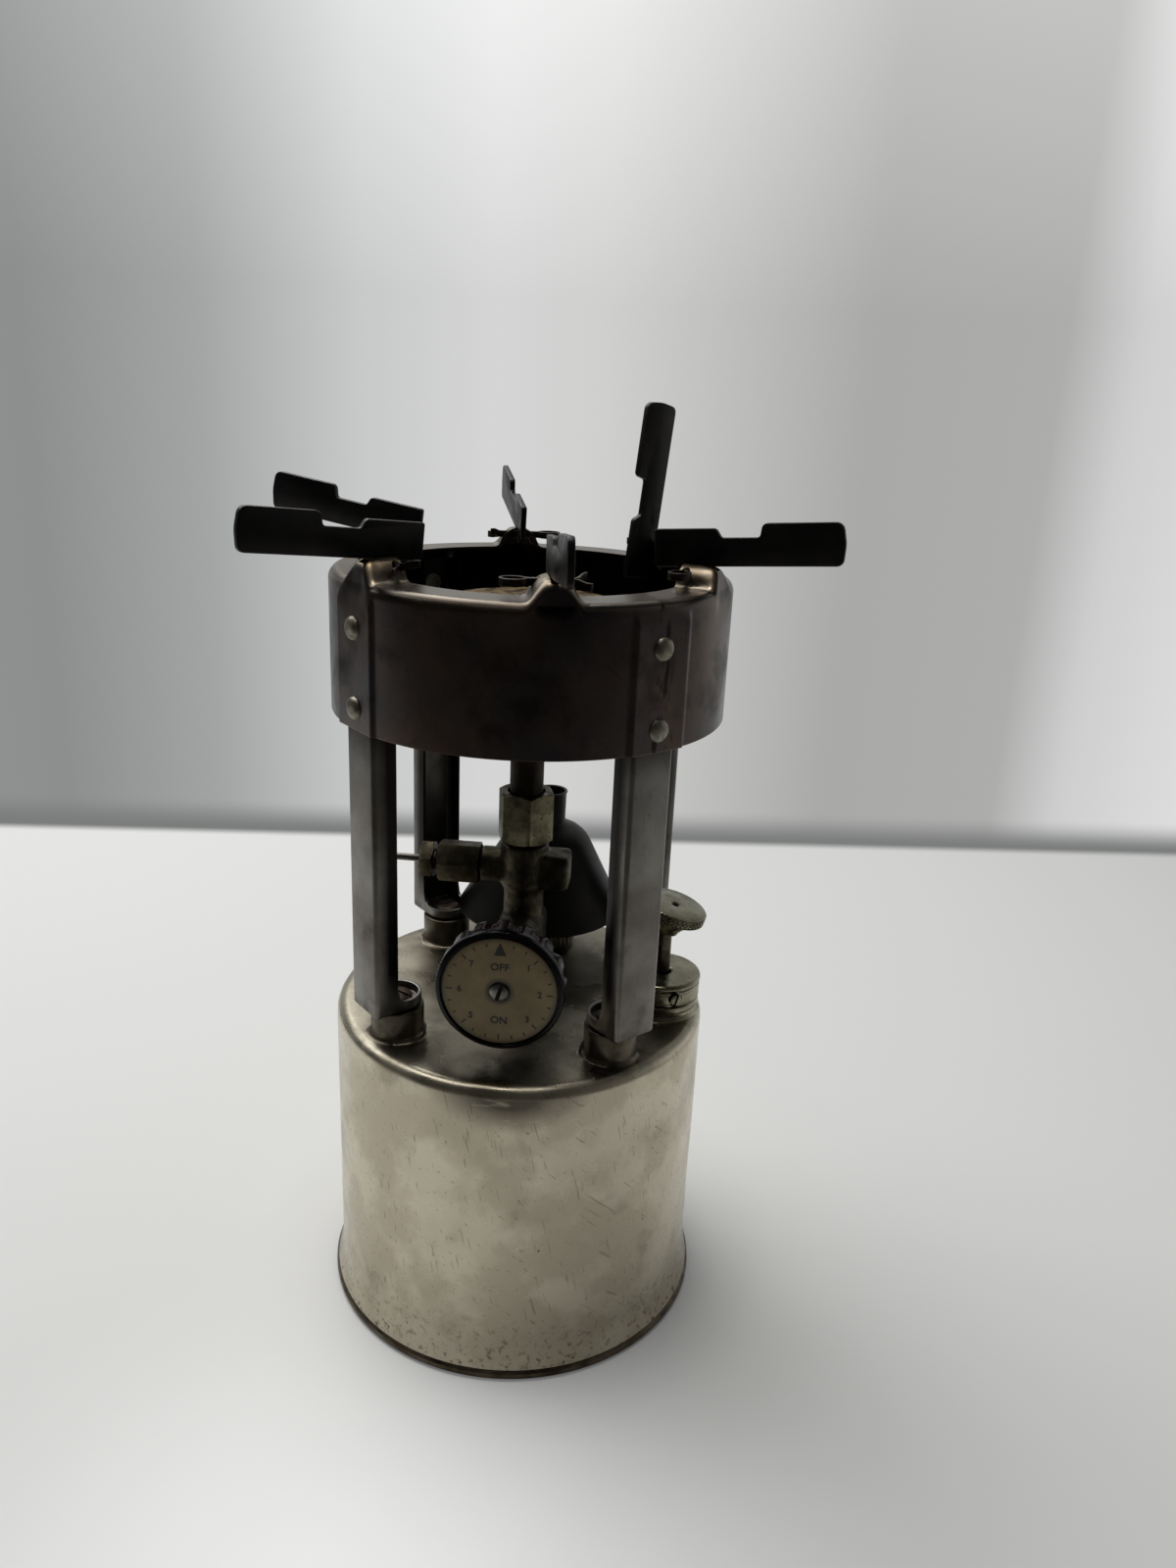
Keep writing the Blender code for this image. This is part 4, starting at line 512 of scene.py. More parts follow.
@dataclass(frozen=True)
class Blotches:
    """Cloudy patches about size millimetres wide, from where the noise passes start to full strength."""

    size: float
    detail: float
    start: float
    full: float

    def share(self, tree: bpy.types.NodeTree, where: Socket) -> Socket:
        """The patches as a share.

        Args:
            tree: the material's nodes.
            where: the object's coordinates.

        Returns:
            1 in a patch, 0 between them.
        """
        inputs = {"Vector": where, "Scale": 1000 / self.size, "Detail": self.detail, "Roughness": 0.55}
        cloud = add(tree, "ShaderNodeTexNoise", inputs)
        return add(tree, "ShaderNodeValToRGB", {0: cloud}, [(self.start, 0.0), (self.full, 1.0)])


@dataclass(frozen=True)
class Layer:
    """A thin layer over a finish, such as soot, rust, painted shade and painted light, and where it lies.
    Lengths are in millimetres.

    It lies only where all of these that are given agree: in its blotches, squeezed along an axis by
    stretch; on faces that look up, between the two values of the normal in upward; past the fade, from
    the first place along its axis to the second; and near one of its spots, each x, y, z and the
    distances at which there is none of it and all of it, measured with each axis times its weight.
    """

    colour: str
    most: float = 1.0
    blotches: Blotches | None = None
    stretch: Point = (1, 1, 1)
    upward: Flat | None = None
    fade: Flat | None = None
    axis: int = 2
    spots: tuple[tuple[float, float, float, float, float], ...] = ()
    weights: Point = (1, 1, 0)

    def nearness(self, tree: bpy.types.NodeTree, where: Socket) -> Socket:
        """How near the spots a point is.

        Args:
            tree: the material's nodes.
            where: the object's coordinates.

        Returns:
            1 on a spot, 0 away from all of them.
        """
        shares = []
        for x, y, z, none, full in self.spots:
            inputs = {0: where, 1: spot(x, y, z)}
            away = add(tree, "ShaderNodeVectorMath", inputs, operation="SUBTRACT")
            away = add(tree, "ShaderNodeVectorMath", {0: away, 1: self.weights}, operation="MULTIPLY")
            away = add(tree, "ShaderNodeVectorMath", {0: away}, operation="LENGTH", out="Value")
            inputs = {"Value": away, 1: none * MM, 2: full * MM, 3: 0.0, 4: 1.0}
            shares.append(add(tree, "ShaderNodeMapRange", inputs))
        nearest = shares[0]
        for share in shares[1:]:
            nearest = add(tree, "ShaderNodeMath", {0: nearest, 1: share}, operation="MAXIMUM")
        return nearest

    def share(self, tree: bpy.types.NodeTree, where: Socket) -> Socket | float:
        """Where the layer lies.

        Args:
            tree: the material's nodes.
            where: the object's coordinates.

        Returns:
            The layer's share of the colour.
        """
        found = []
        if self.blotches:
            squeezed = add(tree, "ShaderNodeMapping", {"Vector": where, "Scale": self.stretch})
            found.append(self.blotches.share(tree, squeezed))
        if self.upward:
            normal = add(tree, "ShaderNodeNewGeometry", out="Normal")
            up = add(tree, "ShaderNodeSeparateXYZ", {0: normal}, out=2)
            found.append(add(tree, "ShaderNodeValToRGB", {0: up}, list(zip(self.upward, (0.0, 1.0)))))
        if self.fade:
            place = add(tree, "ShaderNodeSeparateXYZ", {0: where}, out=self.axis)
            inputs = {"Value": place, 1: self.fade[0] * MM, 2: self.fade[1] * MM, 3: 0.0, 4: 1.0}
            found.append(add(tree, "ShaderNodeMapRange", inputs))
        if self.spots:
            found.append(self.nearness(tree, where))
        share: Socket | float = self.most
        for mask in found:
            share = add(tree, "ShaderNodeMath", {0: mask, 1: share}, operation="MULTIPLY")
        return share


@dataclass(frozen=True)
class Finish:
    """A real surface: its colours, what has happened to it, and its grain, with sizes in millimetres."""

    slot: str
    base: str
    patch: str
    patch_mm: float = 14
    patch_low: float = 0.38
    patch_high: float = 0.66
    stain: str = "#2A221A"
    stain_mm: float = 9
    stain_from: float = 0.62
    stain_to: float = 0.78
    stain_share: float = 0.5
    speck: str = "#1A140F"
    speck_mm: float = 0.9
    speck_from: float = 0.74
    edge: str = "#B9B2A4"
    edge_mm: float = 0.35
    edge_share: float = 0.5
    metallic: float = 1.0
    roughness: float = 0.35
    spread: float = 0.18
    grain_mm: float = 0.6
    grain_depth: float = 0.02
    brush: Point = (1, 1, 1)
    scratch: float = 0.0
    specular: float = 0.5
    layers: tuple[Layer, ...] = ()

    def worn_edge(self, tree: bpy.types.NodeTree) -> Socket:
        """Where the surface turns sharply within edge_mm.

        Args:
            tree: the material's nodes.

        Returns:
            edge_share on an edge, 0 on a flat.
        """
        near = add(tree, "ShaderNodeBevel", {"Radius": self.edge_mm * MM}, samples=4)
        normal = add(tree, "ShaderNodeNewGeometry", out="Normal")
        dot = add(tree, "ShaderNodeVectorMath", {0: near, 1: normal}, operation="DOT_PRODUCT", out="Value")
        worn = add(tree, "ShaderNodeValToRGB", {0: dot}, [(0.80, 1.0), (0.985, 0.0)])
        return add(tree, "ShaderNodeMath", {0: worn, 1: self.edge_share}, operation="MULTIPLY")

    def scratches(self, tree: bpy.types.NodeTree, where: Socket, depth: float) -> Socket:
        """Fine lines about 15 mm long, in two directions.

        Args:
            tree: the material's nodes.
            where: the object's coordinates.
            depth: how strong a finish with scratch 1 shows them.

        Returns:
            The lines' strength.
        """
        found = []
        for angles, width, start in (((0.0, 1.35, 0.2), 0.7, 0.66), ((0.3, 0.75, 0.6), 0.9, 0.67)):
            inputs = {"Vector": where, "Rotation": angles, "Scale": (22, 1, 1)}
            along = add(tree, "ShaderNodeMapping", inputs, vector_type="TEXTURE")
            found.append(Blotches(width, 2, start, start + 0.03).share(tree, along))
        lines = add(tree, "ShaderNodeMath", {0: found[0], 1: found[1]}, operation="MAXIMUM")
        return add(tree, "ShaderNodeMath", {0: lines, 1: depth * self.scratch}, operation="MULTIPLY")

    def colour(self, tree: bpy.types.NodeTree, where: Socket) -> tuple[Socket, Socket]:
        """Lays patches, worn edges, stains, scratches, specks and the finish's own layers over the base.

        Args:
            tree: the material's nodes.
            where: the object's coordinates.

        Returns:
            The colour and the share of stain.
        """
        patches = Blotches(self.patch_mm, 5, self.patch_low, self.patch_high).share(tree, where)
        stains = Blotches(self.stain_mm, 9, self.stain_from, self.stain_to).share(tree, where)
        stains = add(tree, "ShaderNodeMath", {0: stains, 1: self.stain_share}, operation="MULTIPLY")
        specks = Blotches(self.speck_mm, 2, self.speck_from, self.speck_from + 0.04).share(tree, where)
        coats = [(patches, self.patch)]
        if self.edge_share > 0:
            coats.append((self.worn_edge(tree), self.edge))
        coats.append((stains, self.stain))
        if self.scratch > 0:
            coats.append((self.scratches(tree, where, 0.5), self.stain))
        coats.append((specks, self.speck))
        coats += [(layer.share(tree, where), layer.colour) for layer in self.layers]
        tone = linear(self.base)
        for share, colour in coats:
            inputs = {0: share, 6: tone, 7: linear(colour)}
            tone = add(tree, "ShaderNodeMix", inputs, data_type="RGBA", out=2)
        return tone, stains

    def relief(self, tree: bpy.types.NodeTree, where: Socket) -> Socket:
        """The bumps of grain and scratches.

        Args:
            tree: the material's nodes.
            where: the object's coordinates.

        Returns:
            The bumped normal.
        """
        drawn = add(tree, "ShaderNodeMapping", {"Vector": where, "Scale": self.brush})
        inputs = {"Vector": drawn, "Scale": 1000 / self.grain_mm, "Detail": 4, "Roughness": 0.55}
        height = add(tree, "ShaderNodeTexNoise", inputs)
        if self.scratch > 0:
            inputs = {0: height, 1: self.scratches(tree, where, 0.35)}
            height = add(tree, "ShaderNodeMath", inputs, operation="SUBTRACT")
        inputs = {"Height": height, "Distance": self.grain_depth * MM, "Strength": 1.0}
        return add(tree, "ShaderNodeBump", inputs)

    def sheen(self, tree: bpy.types.NodeTree, where: Socket, stains: Socket) -> Socket:
        """The roughness, cloudy and duller on stains.

        Args:
            tree: the material's nodes.
            where: the object's coordinates.
            stains: the share of stain.

        Returns:
            The roughness.
        """
        inputs = {"Vector": where, "Scale": 1000 / (self.patch_mm * 0.6), "Detail": 6, "Roughness": 0.55}
        cloud = add(tree, "ShaderNodeTexNoise", inputs)
        limits = [(0.3, max(0.05, self.roughness - self.spread)), (0.7, self.roughness + self.spread)]
        rough = add(tree, "ShaderNodeValToRGB", {0: cloud}, limits)
        dull = add(tree, "ShaderNodeMath", {0: stains, 1: 0.25}, operation="MULTIPLY")
        return add(tree, "ShaderNodeMath", {0: rough, 1: dull})

    def material(self, name: str) -> bpy.types.Material:
        """Makes the finish's material once, and gives the same one after that.

        Args:
            name: the material's name, which says what the surface is.

        Returns:
            The material.
        """
        found = bpy.data.materials.get(name)
        if found:
            return found
        made = bpy.data.materials.new(name)
        made.use_nodes = True
        tree = made.node_tree
        shader = tree.nodes["Principled BSDF"]
        where = add(tree, "ShaderNodeTexCoord", out="Object")
        tone, stains = self.colour(tree, where)
        tree.links.new(tone, shader.inputs["Base Color"])
        tree.links.new(self.sheen(tree, where, stains), shader.inputs["Roughness"])
        tree.links.new(self.relief(tree, where), shader.inputs["Normal"])
        shader.inputs["Metallic"].default_value = self.metallic
        if self.metallic < 1:
            shader.inputs["Specular IOR Level"].default_value = self.specular
        return made


# What stands on the tank, and a spot under the knob, as x, y and radius, and the soot with painted
# shade within 9 mm of each; under the knob it is painted shade alone
POSTS = [math.radians(bearing) for bearing in LEG_BEARINGS.values()]
STANDING_AND_KNOB_SHADE = [(POST_CENTRE * math.sin(angle), -POST_CENTRE * math.cos(angle), 6.6) for angle in POSTS]
STANDING_AND_KNOB_SHADE += [(0, 0, 7.5), (PUMP_CENTRE, 0, 10), (0, FILLER_CENTRE, 10), (1, -39, 2.5)]
SOOT_AND_SHADE_SPOTS = tuple((x, y, 0, radius + 9, radius) for x, y, radius in STANDING_AND_KNOB_SHADE)


class Look(Enum):
    """The stove's finishes. Each value is a finish and the name of its material."""

    # Nickel plate on steel, turned and buffed: a warm soft shine, clouded by age and finely scratched. Soot
    # lies round what stands on its top with painted shade, and painted shade lies under the knob. A painted
    # dark reflection of the knob lies on the front shoulder, the top face is painted darker as a dark
    # reflection, the shell turns darker towards the foot, and rust lies near the foot
    TANK = (
        Finish(
            "nickel", base="#CBC3AF", patch="#B9B09C", patch_mm=19, patch_low=0.44, patch_high=0.56,
            stain="#6B6151", stain_mm=11, stain_from=0.60, stain_share=0.32, speck="#3A2C20", speck_mm=1.1,
            speck_from=0.75, edge="#CFC7B6", edge_share=0.35, roughness=0.30, spread=0.10, grain_mm=0.5,
            grain_depth=0.006, brush=(1, 1, 0.25), scratch=0.9,
            layers=(
                # soot with painted shade round what stands on the top, and painted shade under the knob
                Layer("#1D1A16", 0.85, Blotches(4.5, 9, 0.36, 0.66), fade=(81.5, 84.2), spots=SOOT_AND_SHADE_SPOTS),
                # a painted dark reflection of the knob on the front shoulder
                Layer(
                    "#2E2823", 0.85, Blotches(9, 4, 0.16, 0.40), stretch=(1, 1, 6), fade=(82.6, 81.4),
                    spots=((5.5, -49, 82.5, 10.5, 3.5),), weights=(0.5, 0.5, 1),
                ),
                # the top face painted darker: a painted dark reflection
                Layer("#575145", 0.5, fade=(83.2, 84.0)),
                # the shell darker towards the foot
                Layer("#7A7160", 0.22, fade=(34, 6)),
                Layer("#4A3727", 0.9, Blotches(1.6, 8, 0.55, 0.70), fade=(20, 3.5)),
            ),
        ),
        "aged nickel plate, turned",
    )
    # The bead at the foot, where plating has gone: darker, browner and rougher
    BEAD = (
        Finish(
            "nickel", base="#6B6253", patch="#463B2F", patch_mm=9, stain="#2C2018", stain_mm=5,
            stain_from=0.5, stain_share=0.7, speck="#5A3A22", speck_from=0.7, edge="#A79D8B", roughness=0.42,
            grain_depth=0.02,
        ),
        "worn nickel plate, rolled bead",
    )
    # Tinned brass posts with their ring of solder: dull grey with brown flux marks
    POST = (
        Finish(
            "tin", base="#6E685B", patch="#544C3F", patch_mm=6, stain="#2A231A", stain_mm=5, stain_from=0.52,
            stain_share=0.8, edge="#BFB8A8", roughness=0.36, spread=0.12, grain_mm=0.8, grain_depth=0.02,
        ),
        "tinned brass, soldered",
    )
    # Satin nickel on pressed sheet: grey, drawn lengthwise, near black from just under the case upwards,
    # painted shade on the channel's inner sides, grimy in the cups
    LEG = (
        Finish(
            "satin_nickel", base="#85827C", patch="#645F59", patch_mm=20, stain="#3A342D", stain_mm=12,
            stain_from=0.58, stain_share=0.6, edge="#C9C5BD", edge_mm=0.5, edge_share=0.55, roughness=0.36,
            spread=0.10, grain_mm=0.6, grain_depth=0.012, brush=(1, 1, 0.06), scratch=0.4,
            layers=(
                # near black from just under the case's foot upwards
                Layer("#0F0D0C", 0.95, fade=(158, 172)),
                # painted shade on the channel's inner sides, above the cup
                Layer("#171412", 0.94, fade=(96, 104), spots=((0, 0, 0, 47.0, 43.8),)),
                Layer("#2A1F17", 0.7, Blotches(3.2, 8, 0.40, 0.62), fade=(96, 92.6)),
            ),
        ),
        "satin nickel plate, drawn",
    )
    # Rusted screws in the feet: brown crust over grey zinc
    SCREW = (
        Finish(
            "zinc", base="#55504A", patch="#3B2A1F", patch_mm=2.6, stain="#5B3320", stain_mm=1.6,
            stain_from=0.50, stain_share=0.8, edge="#8F8880", edge_share=0.4, roughness=0.55, spread=0.15,
            grain_mm=0.4, grain_depth=0.05,
        ),
        "rusted zinc, turned screw",
    )
    # Split pins: dark wire with bare bright edges
    PIN = (
        Finish(
            "zinc", base="#403A33", patch="#29231E", patch_mm=3, stain="#1E1813", stain_mm=2, stain_share=0.7,
            edge="#ADA599", edge_mm=0.25, edge_share=0.6, roughness=0.42, grain_mm=0.4, grain_depth=0.02,
        ),
        "heat-dulled steel wire",
    )
    # The case: nickel scorched brown by years of flame, still glossy. Its ears are rubbed lighter, painted
    # light lies on the upward faces of its top, a dark run comes down from one rivet, and it is near black
    # inside
    CASE = (
        Finish(
            "scorched", base="#564940", patch="#3E3B3C", patch_mm=24, patch_low=0.34, patch_high=0.64,
            stain="#1D1713", stain_mm=13, stain_from=0.52, stain_to=0.70, stain_share=0.7, speck="#120D0A",
            speck_mm=1.1, speck_from=0.75, edge="#9A8B79", edge_mm=0.5, edge_share=0.5, roughness=0.30,
            spread=0.08, grain_mm=0.5, grain_depth=0.006, brush=(1, 1, 0.2), scratch=0.4,
            layers=(
                # painted light on the upward faces of the top, its rim's fillet with them
                Layer("#82786A", 0.7, upward=(0.25, 0.75), fade=(195.5, 198.2)),
                Layer("#6F5C3C", 0.7, Blotches(5, 6, 0.35, 0.60), upward=(0.25, 0.75), fade=(198.6, 202.5)),
                Layer(
                    "#1C120B", 0.85, Blotches(2.6, 6, 0.50, 0.58), stretch=(1, 1, 0.3),
                    spots=((34.3, -34.3, 0, 4.2, 1.6),),
                ),
                # near black on the inside of the ring
                Layer("#0E0C0B", 0.94, fade=(197.9, 197.3), spots=((0, 0, 0, 47.75, 47.4),)),
            ),
        ),
        "heat-scorched nickel plate",
    )
    # Rivet heads: grey soft steel, lighter than the case
    RIVET = (
        Finish(
            "scorched", base="#878375", patch="#625D50", patch_mm=2.5, stain="#2A251D", stain_mm=1.8,
            stain_share=0.6, edge="#B0AA9A", roughness=0.42, grain_mm=0.4, grain_depth=0.03,
        ),
        "soft steel rivet",
    )
    # Grate arms: blued strip steel, almost black, edges rubbed bare
    ARM = (
        Finish(
            "black_steel", base="#2A2A2A", patch="#312F2D", patch_mm=10, stain="#0C0B0B", stain_mm=6,
            stain_share=0.6, speck="#5A554E", speck_mm=1.0, speck_from=0.79, edge="#8B857C", edge_mm=0.3,
            edge_share=0.6, roughness=0.40, spread=0.10, grain_mm=0.5, grain_depth=0.02,
        ),
        "blued strip steel",
    )
    # Bracket and other steel inside the case: dry, dark and sooted
    SOOTED = (
        Finish(
            "scorched", base="#4B4038", patch="#2C2521", patch_mm=9, stain="#120F0D", stain_mm=7,
            stain_from=0.5, stain_share=0.8, edge="#7C7062", roughness=0.55, grain_mm=0.5, grain_depth=0.03,
        ),
        "sooted sheet steel",
    )
    # Burner bowl: spun brass gone brown and matt with heat, yellow where it is rubbed
    BOWL = (
        Finish(
            "burner_brass", base="#8A6B33", patch="#5A4426", patch_mm=8, stain="#241B12", stain_mm=6,
            stain_from=0.52, stain_share=0.75, edge="#C8A558", roughness=0.42, grain_mm=0.5, grain_depth=0.02,
        ),
        "heat-browned spun brass",
    )
    # Flame rings and cap: steel tempered blue-grey and straw
    RING = (
        Finish(
            "burner_steel", base="#85704A", patch="#57493A", patch_mm=6, stain="#2A1F17", stain_mm=4,
            stain_from=0.52, stain_share=0.7, edge="#B39B66", roughness=0.40, grain_mm=0.4, grain_depth=0.02,
        ),
        "tempered ring steel",
    )
    # Valve: sand-cast and machined brass once nickelled: olive grey, granular and greasy
    CAST = (
        Finish(
            "valve_brass", base="#7B755E", patch="#4F4A3A", patch_mm=4.5, stain="#221D13", stain_mm=4,
            stain_from=0.50, stain_share=0.75, speck="#15110B", speck_mm=0.7, speck_from=0.66, edge="#B3AA8A",
            edge_mm=0.4, edge_share=0.6, roughness=0.38, spread=0.10, grain_mm=0.7, grain_depth=0.06,
        ),
        "cast brass, worn nickel",
    )
    # The valve's body and small nuts: the same brass, darkened by fuel and smoke
    GREASY = (
        Finish(
            "valve_brass", base="#575140", patch="#37322A", patch_mm=4.0, stain="#17130D", stain_mm=3.5,
            stain_from=0.48, stain_share=0.8, speck="#A39A7E", speck_mm=0.6, speck_from=0.73, edge="#A89F82",
            edge_mm=0.4, edge_share=0.6, roughness=0.42, spread=0.12, grain_mm=0.55, grain_depth=0.10,
        ),
        "cast brass, greasy and smoked",
    )
    # Generator tube: the same brass, blackened by heat
    BURNT = (
        Finish(
            "valve_brass", base="#3A342B", patch="#241F1A", patch_mm=7, stain="#100D0A", stain_mm=6,
            stain_share=0.6, edge="#7E7462", roughness=0.45, grain_mm=0.5, grain_depth=0.02,
            brush=(1, 1, 0.2),
        ),
        "heat-blackened brass tube",
    )
    # Plain turned brass of the inner fittings
    BRASS = (
        Finish(
            "brass", base="#B08A48", patch="#8A6A34", patch_mm=7, stain="#4A3719", stain_mm=6,
            stain_share=0.6, edge="#D8B56C", roughness=0.34, grain_mm=0.5, grain_depth=0.01,
        ),
        "turned brass",
    )
    # Steel spindle, rod and needle: grey, lightly oiled
    STEEL = (
        Finish(
            "steel", base="#85827C", patch="#5D5952", patch_mm=4, stain="#2C251D", stain_mm=3,
            stain_share=0.6, edge="#C2BEB5", roughness=0.34, grain_mm=0.4, grain_depth=0.015,
        ),
        "bright drawn steel",
    )
    # The knob's screw: the same steel, with painted shade in its slot and behind its face
    HEAD = (
        Finish(
            "steel", base="#85827C", patch="#5D5952", patch_mm=4, stain="#2C251D", stain_mm=3,
            stain_share=0.6, edge="#C2BEB5", edge_share=0.25, roughness=0.34, grain_mm=0.4, grain_depth=0.015,
            # painted shade in the slot and behind the head's face
            layers=(Layer("#070605", 0.95, fade=(-38.45, -38.2), axis=1),),
        ),
        "drawn steel, slotted",
    )
    # Pump cap, knob and filler cap: nickel on brass, yellow-grey where the plate is thin
    FITTING = (
        Finish(
            "nickel", base="#98937F", patch="#78735F", patch_mm=5, stain="#3C3626", stain_mm=4,
            stain_from=0.56, stain_share=0.6, speck="#1E1A12", speck_mm=0.8, speck_from=0.70, edge="#D2CBB4",
            edge_share=0.5, roughness=0.26, spread=0.10, grain_mm=0.5, grain_depth=0.02, scratch=0.4,
        ),
        "worn nickel on brass",
    )
    # Plunger rod: the same plate, greasy and dark
    ROD = (
        Finish(
            "nickel", base="#5F5A4B", patch="#403B30", patch_mm=4, stain="#221E16", stain_mm=3,
            stain_from=0.5, stain_share=0.7, edge="#A29B86", edge_share=0.4, roughness=0.36, grain_mm=0.5,
            grain_depth=0.02,
        ),
        "greasy nickel on brass",
    )
    # The pump's side screw: bright head, with painted shade in its slot and round it
    SIDE = (
        Finish(
            "nickel", base="#98937F", patch="#78735F", patch_mm=5, stain="#3C3626", stain_mm=4,
            edge="#D2CBB4", edge_share=0.3, roughness=0.30, grain_mm=0.5, grain_depth=0.02,
            # painted shade in the slot and round the head
            layers=(Layer("#0B0A08", 0.95, spots=((PUMP_CENTRE, 0, 0, 10.85, 10.65),)),),
        ),
        "nickel screw, slotted",
    )
    # Knob: maroon phenolic moulding, glossy, with pale scuffs on its ridges and a black rim in front
    PHENOLIC = (
        Finish(
            "bakelite", base="#260C10", patch="#1B080B", patch_mm=7, stain="#0D0606", stain_mm=5,
            stain_share=0.5, speck="#6B5358", speck_mm=0.8, speck_from=0.78, edge="#7A5A5E", edge_mm=0.4,
            edge_share=0.35, metallic=0.0, roughness=0.24, spread=0.08, grain_mm=0.5, grain_depth=0.006,
            specular=0.22, layers=(Layer("#060405", fade=(-35.7, -36.1), axis=1),),
        ),
        "maroon phenolic, moulded",
    )
    # The knob's disc: cream celluloid yellowed to tan, browned at its rim, with a painted shadow ring round
    # the screw
    DISC = (
        Finish(
            "cream", base="#7B6B44", patch="#6B5B37", patch_mm=7, stain="#6E5A37", stain_mm=5,
            stain_from=0.55, stain_share=0.45, speck="#4A3820", speck_mm=0.6, speck_from=0.72, edge="#7C6A44",
            edge_share=0.3, metallic=0.0, roughness=0.38, spread=0.08, grain_mm=0.5, grain_depth=0.004,
            layers=(
                # a painted shadow ring round the screw
                Layer("#2A1E12", 0.9, spots=((0.86, 0, STEM_HEIGHT, 3.9, 2.7),), weights=(1, 0, 1)),
                Layer("#3A2C1A", 0.75, spots=((0.86, 0, STEM_HEIGHT, 12.4, 13.8),), weights=(1, 0, 1)),
            ),
        ),
        "yellowed celluloid",
    )
    # The disc's marks: black print
    PRINT = (
        Finish(
            "cream", base="#0B0806", patch="#14100C", patch_mm=1.5, stain="#1E1710", stain_mm=1.2,
            stain_share=0.4, edge_share=0.0, metallic=0.0, roughness=0.5, grain_mm=0.4, grain_depth=0.002,
        ),
        "black print",
    )
    # Funnel: blackened tinplate, satin, with a few rust pricks
    FUNNEL = (
        Finish(
            "dark_sheet", base="#2B2A27", patch="#1F1E1B", patch_mm=16, stain="#14120F", stain_mm=10,
            stain_share=0.5, speck="#8A7A62", speck_mm=0.9, speck_from=0.785, edge="#76716A", edge_mm=0.5,
            edge_share=0.5, metallic=0.85, roughness=0.46, spread=0.08, grain_mm=0.5, grain_depth=0.012,
        ),
        "blackened tinplate",
    )
    # Pump leather: oiled and dark
    LEATHER = (
        Finish(
            "leather", base="#5A3A20", patch="#432A17", patch_mm=3, stain="#241408", stain_mm=3,
            edge="#7A5534", metallic=0.0, roughness=0.6, grain_mm=0.5, grain_depth=0.05,
        ),
        "oiled cup leather",
    )
    # Filler gasket: black moulded rubber, matt
    RUBBER = (
        Finish(
            "rubber", base="#1E1D1C", patch="#2A2826", patch_mm=3, stain="#111010", stain_mm=3,
            edge="#3A3836", metallic=0.0, roughness=0.7, grain_mm=0.4, grain_depth=0.02,
        ),
        "black rubber, moulded",
    )


def dress(thing: Piece, look: Look) -> None:
    """Gives a mesh one of the stove's finishes.

    Args:
        thing: the mesh.
        look: the finish.
    """
    finish, name = look.value
    thing.data.materials.clear()
    thing.data.materials.append(finish.material(name))


def hand_over(piece: Piece, look: Look, body: str, *nodes: str, angle: float = 32) -> Piece:
    """Finishes a piece: smooth where it is round, its material, its body and the CAD nodes it stands for.

    Args:
        piece: the finished shape.
        look: its finish.
        body: the CAD body it moves with.
        *nodes: the CAD nodes it replaces.
        angle: faces that meet at less than this, in degrees, look round.

    Returns:
        The same piece.
    """
    pick(piece)
    bpy.ops.object.shade_smooth_by_angle(angle=math.radians(angle))
    dress(piece, look)
    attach(piece, body)
    if nodes:
        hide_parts(*nodes)
    log.info("%s: %d faces, on %s, for %s", piece.name, len(piece.data.polygons), body, nodes or "no node")
    return piece


